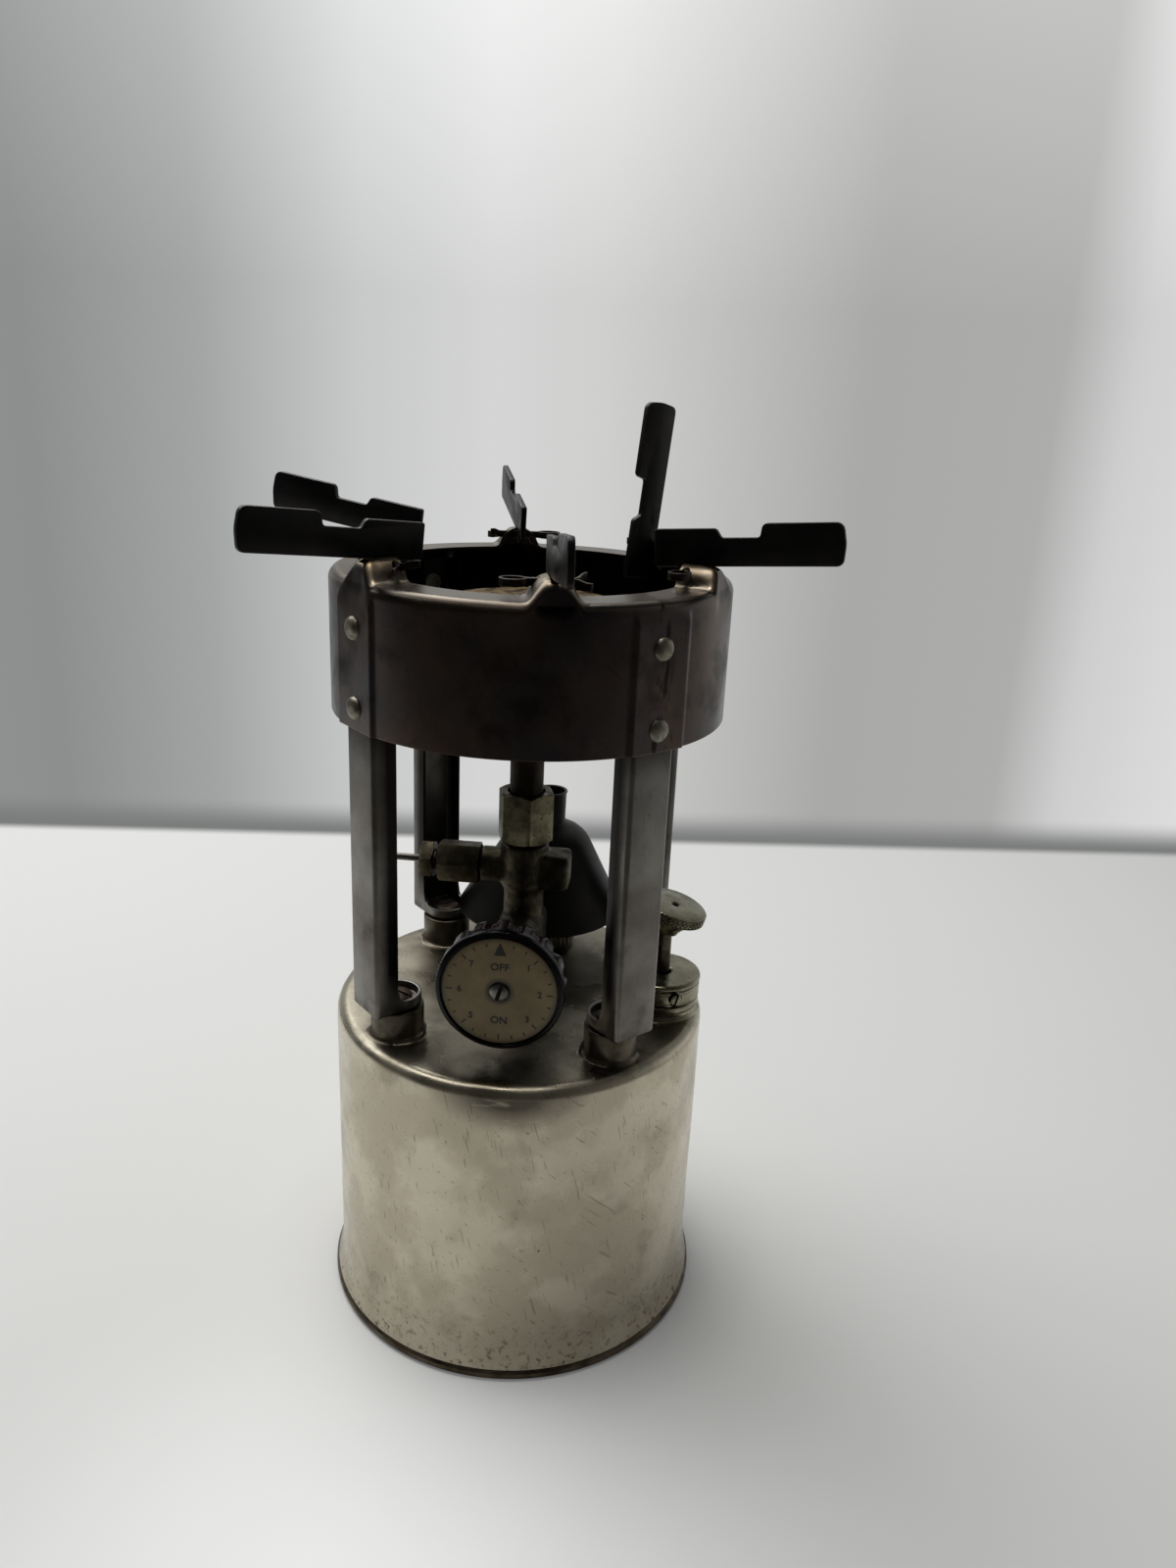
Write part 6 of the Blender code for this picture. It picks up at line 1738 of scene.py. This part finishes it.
    def cleaner(self) -> None:
        """Bends the tip cleaner's rod, with its crank."""
        run = [(-1.2, 0, 0), (-20, 0, 0), (-40.2, 0, 0)]
        run += [(x, 0, z) for x, z in arc(-40.2, -3, 3, 105, 180, 5)]
        run += [(-43.2, 0, -8), (-43.2, 0, -14)]
        rod = tube("rod", run, 0.95, 5)
        rod = settle(rod, self.axis() @ at(0, 0, self.arm_height))
        rod.name = rod.data.name = "tip_cleaner_rod"
        hand_over(rod, Look.STEEL, "cleaner_rod", "cleaner_rod")

    def knob(self) -> None:
        """Turns and flutes the knob, and fits its disc and screw."""
        outline = [(1.9, 28.1), (12.2, 28.1), (13.6, 28.5), (14.6, 29.4), (15.2, 30.4), (15.4, 31.6)]
        outline += [(15.4, 33.0), (15.4, 34.2), (15.4, 35.2), (15.5, 35.8), (15.5, 36.2), (15.5, 37.2)]
        outline += [(15.3, 37.75), (14.9, 38.0), (14.4, 38.1), (14.25, 37.95), (14.2, 37.4), (1.4, 37.4)]
        outline += [(1.4, 32.3), (1.9, 32.3)]
        knob = turn("knob", outline, self.flutes * 14)

        def fluted(x: float, y: float, z: float) -> Point:
            """Presses the flutes into the knob's side.

            Args:
                x: the point's place across.
                y: the point's place in depth.
                z: the point's height.

            Returns:
                The point's new place.
            """
            out = math.hypot(x, y)
            band = smooth_step(out, 9.5, 13.0) * (1 - smooth_step(z, 34.9, 35.9))
            wave = ((1 - math.cos(self.flutes * math.atan2(y, x))) / 2) ** 2.6
            share = 1 - band * wave * self.flute_depth / out
            return x * share, y * share, z

        press(knob, fluted)
        hand_over(settle(knob, self.forwards()), Look.PHENOLIC, "valve_knob", "valve_knob", angle=50)
        disc = [(1.4, 37.88), (5, 37.9), (13.2, 37.92), (13.7, 37.85), (13.85, 37.7), (13.85, 37.5)]
        disc += [(1.4, 37.5)]
        disc_piece = settle(turn("knob_face_disc", disc, 96), self.forwards())
        hand_over(disc_piece, Look.DISC, "valve_knob", "knob_disc")
        screw = [(0, 38.85), (1.0, 38.8), (1.9, 38.55), (2.4, 38.2), (2.5, 37.95), (1.1, 37.95)]
        screw += [(1.1, 33.1), (0, 33.1)]
        screw_piece = turn("knob_face_screw", screw, 40, closed=False)
        carve(screw_piece, block((-0.5, -4, 37.97), (0.5, 4, 41), turned("Z", -16)))
        settle(soften(screw_piece, 0.05, 1, 40), self.forwards())
        hand_over(screw_piece, Look.HEAD, "valve_knob", "knob_screw")

    def word(self, text: str, size: float) -> Piece:
        """One raised word or number, centred on its origin.

        Args:
            text: the word.
            size: its height.

        Returns:
            The word as a mesh.
        """
        bpy.ops.object.select_all(action="DESELECT")
        bpy.ops.object.text_add()
        letters = bpy.context.object
        letters.data.body, letters.data.size = text, size * MM
        letters.data.align_x, letters.data.align_y = "CENTER", "CENTER"
        letters.data.extrude, letters.data.offset = self.print_height / 2 * MM, 0.05 * MM
        letters.data.resolution_u = 3
        pick(letters)
        bpy.ops.object.convert(target="MESH")
        letters = bpy.context.object
        with edit_mode(letters):
            tidy_faces()
        return letters

    def marks(self) -> None:
        """The disc's pointer, ticks, numbers and the words ON and OFF, in low relief."""
        place = self.forwards() @ at(0, 0, 37.9)
        raised = (0, 0, self.print_height)
        pointer = plate("pointer", [(-1.5, 9.5, 0), (1.5, 9.5, 0), (0, 12.9, 0)], raised)
        pieces = [settle(pointer, place)]
        for step in range(1, 24):
            low = 12.8 - (1.5 if step % 3 == 0 else 0.9)
            corners = [(-0.16, low, 0), (0.16, low, 0), (0.16, 12.8, 0), (-0.16, 12.8, 0)]
            pieces.append(settle(plate("tick", corners, raised), place @ turned("Z", -15 * step)))
        words = [("OFF", 0, 6.4, 2.6), ("ON", 0, -7.6, 2.6)]
        for number in (1, 2, 3, 5, 6, 7):
            angle = math.radians(45 * number)
            words.append((str(number), 9.6 * math.sin(angle), 9.6 * math.cos(angle), 2.3))
        for text, x, y, size in words:
            pieces.append(settle(self.word(text, size), place @ at(x, y, self.print_height / 2)))
        bpy.ops.object.select_all(action="DESELECT")
        for piece in pieces:
            piece.select_set(True)
        bpy.context.view_layer.objects.active = pieces[0]
        bpy.ops.object.join()
        marks = bpy.context.object
        marks.name = marks.data.name = "knob_disc_marks"
        hand_over(marks, Look.PRINT, "valve_knob")

    def build(self) -> None:
        """Builds the whole valve."""
        self.casting()
        self.nuts()
        self.generator()
        self.cleaner()
        self.knob()
        self.marks()


@dataclass
class Pump:
    """The hand pump: collar, cap with its side screw, rod and knurled knob, at +X."""

    cap_radius: float = 10.35
    knob_radius: float = 8.6
    knob_top: float = 112.0
    knurls: int = 46
    knurl_depth: float = 0.62
    screw_bearing: float = 25.0
    screw_height: float = 90.6
    tilt_right: float = 16.0
    shift: float = 2.5
    forward: float = 0.8
    lift: float = 1.9

    def place(self) -> Matrix:
        """The pump's axis."""
        return at(PUMP_CENTRE, 0, 0)

    def cap(self) -> None:
        """Turns the barrel's collar and the cap with its rolled edge, groove and screw."""
        collar = [(7.7, 90.6), (8.5, 90.6), (8.5, 88.0), (9.8, 88.0), (10.1, 87.7), (10.1, 86.9)]
        collar += [(9.5, 86.6), (9.5, 86.2), (9.9, 85.9), (9.9, 85.3), (10.4, 84.7), (10.7, 84.25)]
        collar += [(8.5, 84.25), (8.5, 14.0), (1.6, 14.0), (1.6, 14.8), (7.7, 14.8)]
        hand_over(settle(turn("pump_collar", collar, 72), self.place()), Look.FITTING, "stove", "pump_barrel")
        radius = self.cap_radius
        outside = [(2.7, 94.0), (3.1, 94.3), (6.0, 94.3)] + arc(radius - 0.9, 93.4, 0.9, 90, -20, 7)
        grooved = [(0.3, 92.8), (0.4, 92.4), (0.15, 92.2), (0.15, 91.9), (0.3, 91.75), (0.15, 91.6)]
        grooved += [(0.15, 89.3), (0.3, 89.15), (0.15, 89.0), (0.15, 88.7), (0.4, 88.45)]
        outside += [(radius - inward, height) for inward, height in grooved]
        inside = [(9.1, 88.45), (9.1, 92.2), (8.7, 93.2), (2.7, 93.4)]
        cap = turn("pump_screwed_cap", outside + inside, 96)
        settle(cap, self.place())
        side = self.place() @ turned("Z", self.screw_bearing) @ at(0, 0, self.screw_height) @ turned("X", 90)
        carve(cap, drill(1.0, 6, 14, side, 24))
        carve(cap, drill(2.05, 9.5, 14, side, 32))
        hand_over(cap, Look.FITTING, "stove", "pump_cap")
        outline = [(0, 11.0), (1.0, 10.98), (1.4, 10.85), (1.6, 10.6), (1.6, 9.55), (0.8, 9.55), (0.8, 8.9)]
        outline += [(0, 8.9)]
        screw = turn("pump_side_screw", outline, 32, closed=False)
        carve(screw, block((-3, -0.3, 10.25), (3, 0.3, 13), turned("Z", 72)))
        hand_over(settle(soften(screw, 0.05, 1, 40), side), Look.SIDE, "stove", "pump_cap_screw")

    def knob(self) -> None:
        """Turns the plunger's rod and knob, knurls the knob's rim, and sets the knob crooked on the rod."""
        rod = [(1.35, 109.0), (2.1, 109.0), (2.1, 30.0), (1.35, 30.0)]
        rod_piece = settle(turn("plunger_rod", rod, 40), self.place())
        hand_over(rod_piece, Look.ROD, "pump_handle", "pump_rod")
        tilt = turned("Y", self.tilt_right) @ at(0, 0, -self.knob_top)
        tilt = self.place() @ at(self.shift, -self.forward, self.knob_top + self.lift) @ tilt
        radius, top = self.knob_radius, self.knob_top
        rim = [(radius, top - 0.35 - 2.3 * step / 13) for step in range(14)]
        outline = [(1.0, top - 0.5), (1.3, top - 0.1), (1.7, top), (radius - 0.5, top)]
        outline += [(radius - 0.15, top - 0.2), *rim, (radius - 0.2, top - 2.8), (radius - 0.6, top - 2.95)]
        flare = [(6.6, 2.95), (5.9, 3.2), (5.2, 4.8), (4.1, 6.2), (3.5, 7.2), (3.3, 7.9), (2.6, 7.9)]
        flare += [(2.6, 0.9), (1.0, 0.9)]
        outline += [(across, top - down) for across, down in flare]
        knob = turn("plunger_knob", outline, self.knurls * 8)

        def knurled(x: float, y: float, z: float) -> Point:
            """Cuts crossed grooves into the rim.

            Args:
                x: the point's place across.
                y: the point's place in depth.
                z: the point's height.

            Returns:
                The point's new place.
            """
            out = math.hypot(x, y)
            if out < radius - 0.02 or not top - 2.68 < z < top - 0.33:
                return x, y, z
            round_rim = math.atan2(y, x) * self.knurls / 2
            up = (z - top + 1.5) / (FULL_TURN * radius / self.knurls) * math.pi * 0.95
            groove = min(abs(math.sin(round_rim + up)), abs(math.sin(round_rim - up)))
            share = 1 - self.knurl_depth * max(0.0, 1 - groove * 1.4) / out
            return x * share, y * share, z

        press(knob, knurled)
        hand_over(settle(knob, tilt), Look.FITTING, "pump_handle", "pump_knob", angle=30)

    def build(self) -> None:
        """Builds the pump's visible pieces."""
        self.cap()
        self.knob()


@dataclass
class Filler:
    """The filler neck and its fluted cap behind the valve, and the funnel that stands over them."""

    flutes: int = 40
    flute_depth: float = 0.32
    foot: float = 95.8
    height: float = 35.5
    lean: float = 2.2

    def place(self) -> Matrix:
        """The filler's axis."""
        return at(0, FILLER_CENTRE, 0)

    def neck(self) -> None:
        """Turns the neck with its ring of solder, and the fluted cap."""
        outline = [(6.2, 88.3), (7.1, 88.3), (7.4, 88.0)] + arc(8.8, 85.7, 1.4, 180, 270, 4)
        outline += [(7.4, 84.25), (7.4, 81.7), (6.2, 81.7)]
        hand_over(settle(turn("filler_tube", outline, 64), self.place()), Look.POST, "stove", "filler_neck")
        cap = [(8.2, 90.1), (8.2, 85.5), (10.2, 85.5), (10.4, 85.8), (10.4, 88), (10.4, 90.6), (10.1, 91.1)]
        cap += [(9.3, 91.45), (7.6, 91.5), (7.2, 91.3), (6.9, 91.0), (0, 91.0), (0, 90.1)]
        piece = turn("filler_screw_cap", cap, 240, closed=False)

        def fluted(x: float, y: float, z: float) -> Point:
            """Presses fine flutes into the cap's side.

            Args:
                x: the point's place across.
                y: the point's place in depth.
                z: the point's height.

            Returns:
                The point's new place.
            """
            out = math.hypot(x, y)
            band = smooth_step(out, 9.4, 10.3) * smooth_step(z, 85.5, 86.2)
            wave = (1 - math.cos(self.flutes * math.atan2(y, x))) / 2
            share = 1 - band * self.flute_depth * wave / max(out, 1)
            return x * share, y * share, z

        press(piece, fluted)
        hand_over(settle(piece, self.place()), Look.FITTING, "filler_cap", "filler_cap")

    def funnel(self) -> None:
        """Spins the funnel with a rolled mouth and a beaded spout."""
        outer = [(4.5, 35.5), (4.65, 35.2), (4.5, 34.9), (4.4, 34.7), (4.7, 27.6), (4.9, 26.2), (5.6, 25.5)]
        outer += [(7.4, 24.9), (9.4, 23.9), (10.9, 22.7), (11.8, 21.7), (12.6, 20.5), (22.9, 1.6)]
        outer += [(23.2, 0.9), (23.5, 0.5), (23.4, 0.15), (23.1, 0.0)]
        inner = [(22.75, 0.2), (22.6, 0.7), (22.35, 1.3), (12.0, 20.3), (11.2, 21.3), (10.4, 22.2)]
        inner += [(9.0, 23.3), (7.1, 24.3), (5.4, 24.9), (4.4, 25.8), (4.15, 27.0), (3.85, 34.9)]
        inner += [(3.95, 35.4), (4.2, 35.5)]
        funnel = turn("spun_funnel", outer + inner, 120)
        press(funnel, lambda x, y, z: (x + self.lean * z / self.height, y, z))
        settle(funnel, at(0, FILLER_CENTRE, self.foot))
        hand_over(funnel, Look.FUNNEL, "funnel", "funnel")

    def build(self) -> None:
        """Builds the filler and the funnel."""
        self.neck()
        self.funnel()


# Nodes whose plain shape is right, which keep it and get a finish
KEPT = {
    "fuel_pickup_tube": Look.BRASS,
    "valve_stem": Look.STEEL,
    "tip_needle": Look.STEEL,
    "check_valve": Look.BRASS,
    "air_stem": Look.STEEL,
    "leather_nut": Look.BRASS,
    "pump_leather": Look.LEATHER,
    "filler_gasket": Look.RUBBER,
}


@dataclass
class Studio:
    """The pale table, the grey wall behind it, soft light and the photograph's viewpoint."""

    wall_distance: float = 323.6
    wall_bearing: float = 9.19
    table: str = "#DCDCDA"
    # The painted soft shadow at the wall's foot, an emission band
    line: str = "#7B7D7C"
    # A painted pool of light on the paper in front of the stove, for camera rays only
    glow: float = 0.28
    glow_reach: float = 130
    glow_centre: Point = (-3, -115, 0)
    lens: float = 27.045
    # The wall's tones by bearing, in degrees: a lit strip at the left, shade behind, light at the right
    wall: tuple[tuple[float, str], ...] = (
        (-90, "#B0B1B1"), (-31, "#8D8E8E"), (-24, "#A3A4A4"), (-17, "#C8C9C9"), (-11, "#D4D5D4"),
        (-6, "#CFCFCE"), (6, "#A9A9A8"), (14, "#ACACAB"), (17, "#CECECE"), (22, "#DCDCDC"), (90, "#B0B1B1"),
    )
    # What the metal mirrors, from the dark room behind the camera to the wall
    room: tuple[tuple[float, str], ...] = (
        (0.0, "#3A3937"), (0.4, "#4C4B49"), (0.8, "#8E9090"), (1.0, "#B4B6B6"),
    )

    def beyond(self, tree: bpy.types.NodeTree, start: float, end: float) -> Socket:
        """How far a point lies towards the wall.

        Args:
            tree: the floor's nodes.
            start: the distance at which the share is 0, in millimetres.
            end: the distance at which the share is 1.

        Returns:
            The share.
        """
        where = add(tree, "ShaderNodeTexCoord", out="Object")
        angle = math.radians(self.wall_bearing)
        inputs = {0: where, 1: (-math.sin(angle), math.cos(angle), 0)}
        depth = add(tree, "ShaderNodeVectorMath", inputs, operation="DOT_PRODUCT", out="Value")
        inputs = {"Value": depth, 1: start * MM, 2: end * MM, 3: 0.0, 4: 1.0}
        return add(tree, "ShaderNodeMapRange", inputs, interpolation_type="SMOOTHSTEP")

    def paper(self, tree: bpy.types.NodeTree) -> Socket:
        """Paper with a painted glow in front of the stove that only the camera sees, and that metal mirrors
        dim.

        Args:
            tree: the floor's nodes.

        Returns:
            The surface.
        """
        paper = tree.nodes["Principled BSDF"]
        paper.inputs["Base Color"].default_value = linear(self.table)
        paper.inputs["Roughness"].default_value = 0.9
        paper.inputs["Specular IOR Level"].default_value = 0.1
        where = add(tree, "ShaderNodeTexCoord", out="Object")
        inputs = {0: where, 1: spot(*self.glow_centre)}
        away = add(tree, "ShaderNodeVectorMath", inputs, operation="DISTANCE", out="Value")
        inputs = {"Value": away, 1: self.glow_reach * MM, 2: 0.0, 3: 0.0, 4: self.glow}
        glow = add(tree, "ShaderNodeMapRange", inputs, interpolation_type="SMOOTHSTEP")
        camera = add(tree, "ShaderNodeLightPath", out="Is Camera Ray")
        glow = add(tree, "ShaderNodeMath", {0: glow, 1: camera}, operation="MULTIPLY")
        glow = add(tree, "ShaderNodeEmission", {"Strength": glow})
        lit = add(tree, "ShaderNodeAddShader", {0: paper.outputs[0], 1: glow})
        depth = add(tree, "ShaderNodeSeparateXYZ", {0: where}, out=1)
        inputs = {"Value": depth, 1: -120 * MM, 2: -360 * MM, 3: 0.0, 4: 0.9}
        near = add(tree, "ShaderNodeMapRange", inputs, interpolation_type="SMOOTHSTEP")
        glossy = add(tree, "ShaderNodeLightPath", out="Is Glossy Ray")
        dim = add(tree, "ShaderNodeMath", {0: near, 1: glossy}, operation="MULTIPLY")
        room = add(tree, "ShaderNodeEmission", {"Color": linear("#403E3B")})
        return add(tree, "ShaderNodeMixShader", {0: dim, 1: lit, 2: room})

    def floor(self) -> None:
        """A wide pale floor that ends in a painted soft shadow at the wall's foot and lets the wall show
        behind that.
        """
        bpy.ops.object.select_all(action="DESELECT")
        bpy.ops.mesh.primitive_plane_add(size=40)
        floor = bpy.context.object
        floor.name = "studio_floor"
        made = bpy.data.materials.new("matt white paper")
        made.use_nodes = True
        tree = made.node_tree
        wall = add(tree, "ShaderNodeBsdfTransparent")
        shadow = add(tree, "ShaderNodeEmission", {"Color": linear(self.line)})
        far = self.beyond(tree, self.wall_distance + 4, self.wall_distance + 55)
        behind = add(tree, "ShaderNodeMixShader", {0: far, 1: shadow, 2: wall})
        foot = self.beyond(tree, self.wall_distance - 6, self.wall_distance + 6)
        seen = add(tree, "ShaderNodeMixShader", {0: foot, 1: self.paper(tree), 2: behind})
        where = add(tree, "ShaderNodeTexCoord", out="Object")
        away = add(tree, "ShaderNodeVectorMath", {0: where}, operation="LENGTH", out="Value")
        inputs = {"Value": away, 1: 550 * MM, 2: 1300 * MM, 3: 0.0, 4: 1.0}
        away = add(tree, "ShaderNodeMapRange", inputs, interpolation_type="SMOOTHSTEP")
        camera = add(tree, "ShaderNodeLightPath", out="Is Camera Ray")
        away = add(tree, "ShaderNodeMath", {0: away, 1: camera}, operation="MULTIPLY")
        seen = add(tree, "ShaderNodeMixShader", {0: away, 1: seen, 2: wall})
        tree.links.new(seen, tree.nodes["Material Output"].inputs["Surface"])
        floor.data.materials.append(made)

    def world(self) -> None:
        """What the camera sees, what the metal mirrors, and the even light, each by its own rays."""
        world = bpy.data.worlds.new("studio")
        world.use_nodes = True
        bpy.context.scene.world = world
        tree = world.node_tree
        direction = add(tree, "ShaderNodeTexCoord", out="Generated")
        axes = [add(tree, "ShaderNodeSeparateXYZ", {0: direction}, out=axis) for axis in range(3)]
        across, depth, up = axes
        side = add(tree, "ShaderNodeMath", {0: across, 1: depth}, operation="ARCTAN2")
        inputs = {"Value": side, 1: -math.pi / 2, 2: math.pi / 2, 3: 0.0, 4: 1.0}
        side = add(tree, "ShaderNodeMapRange", inputs)
        stops = [((angle + 90) / 180, linear(code)) for angle, code in self.wall]
        wall = add(tree, "ShaderNodeValToRGB", {0: side}, stops)
        rise = add(tree, "ShaderNodeMapRange", {"Value": up, 1: 0.06, 2: 0.26, 3: 1.0, 4: 1.34})
        seen = add(tree, "ShaderNodeBackground", {"Color": wall, "Strength": rise})
        behind = add(tree, "ShaderNodeMapRange", {"Value": depth, 1: -0.5, 2: 0.8, 3: 0.0, 4: 1.0})
        stops = [(place, linear(code)) for place, code in self.room]
        room = add(tree, "ShaderNodeValToRGB", {0: behind}, stops)
        right = add(tree, "ShaderNodeMapRange", {"Value": across, 1: 0.6, 2: 0.95, 3: 1.0, 4: 3.3})
        mirrored = add(tree, "ShaderNodeBackground", {"Color": room, "Strength": right})
        stops = [(0.0, linear("#4A4B4C")), (1.0, linear("#C8CACC"))]
        soft = add(tree, "ShaderNodeValToRGB", {0: behind}, stops)
        light = add(tree, "ShaderNodeBackground", {"Color": soft, "Strength": 0.75})
        glossy = add(tree, "ShaderNodeLightPath", out="Is Glossy Ray")
        through = add(tree, "ShaderNodeLightPath", out="Is Transmission Ray")
        rays = add(tree, "ShaderNodeMath", {0: glossy, 1: through}, operation="MAXIMUM")
        mix = add(tree, "ShaderNodeMixShader", {0: rays, 1: light, 2: mirrored})
        camera = add(tree, "ShaderNodeLightPath", out="Is Camera Ray")
        mix = add(tree, "ShaderNodeMixShader", {0: camera, 1: mix, 2: seen})
        tree.links.new(mix, tree.nodes["World Output"].inputs["Surface"])

    def lamp(self, name: str, place: Point, aim: Point, size: float, power: float, tint: str) -> None:
        """Hangs one square soft lamp.

        Args:
            name: the lamp's name.
            place: where it hangs, in millimetres.
            aim: what it points at, in millimetres.
            size: its side, in metres.
            power: its power, in watts.
            tint: its colour.
        """
        light = bpy.data.lights.new(name, "AREA")
        light.shape, light.size, light.energy = "SQUARE", size, power
        light.color = linear(tint)[:3]
        lamp = bpy.data.objects.new(name, light)
        bpy.context.scene.collection.objects.link(lamp)
        lamp.location = spot(*place)
        lamp.rotation_euler = (spot(*aim) - spot(*place)).to_track_quat("-Z", "Y").to_euler()

    def camera(self) -> None:
        """The photograph's viewpoint, fitted to it by the tank, the case and the arms."""
        data = bpy.data.cameras.new("viewpoint")
        data.lens, data.sensor_width, data.sensor_fit = self.lens, 36, "AUTO"
        data.clip_start, data.clip_end = 0.01, 100
        camera = bpy.data.objects.new("viewpoint", data)
        bpy.context.scene.collection.objects.link(camera)
        camera.location = spot(44.586, -281.503, 240.963)
        camera.rotation_euler = [math.radians(angle) for angle in (71.1533, -2.5145, 6.7169)]
        bpy.context.scene.camera = camera

    def build(self) -> None:
        """Sets the studio up."""
        self.floor()
        self.world()
        self.lamp("overhead softbox", (-430, 380, 980), (0, 60, 60), 1.0, 10.5, "#FFFFFF")
        self.lamp("ceiling lamp", (0, -60, 1200), (0, 0, 60), 0.2, 2.2, "#FFFDF8")
        self.camera()
        bpy.context.scene.view_settings.view_transform = "Standard"


def main() -> None:
    """Loads the frame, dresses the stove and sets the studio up."""
    logging.basicConfig(level=logging.INFO, format="%(message)s")
    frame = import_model()
    for part in (Tank(), Legs(), Case(), Grate(), Burner(), Valve(), Pump(), Filler()):
        part.build()
        log.info("%s is built", type(part).__name__)
    for name, look in KEPT.items():
        dress(frame["nodes"][name], look)
        log.info("%s keeps its shape, as %s", name, look.value[1])
    Studio().build()


if __name__ == "__main__":
    main()
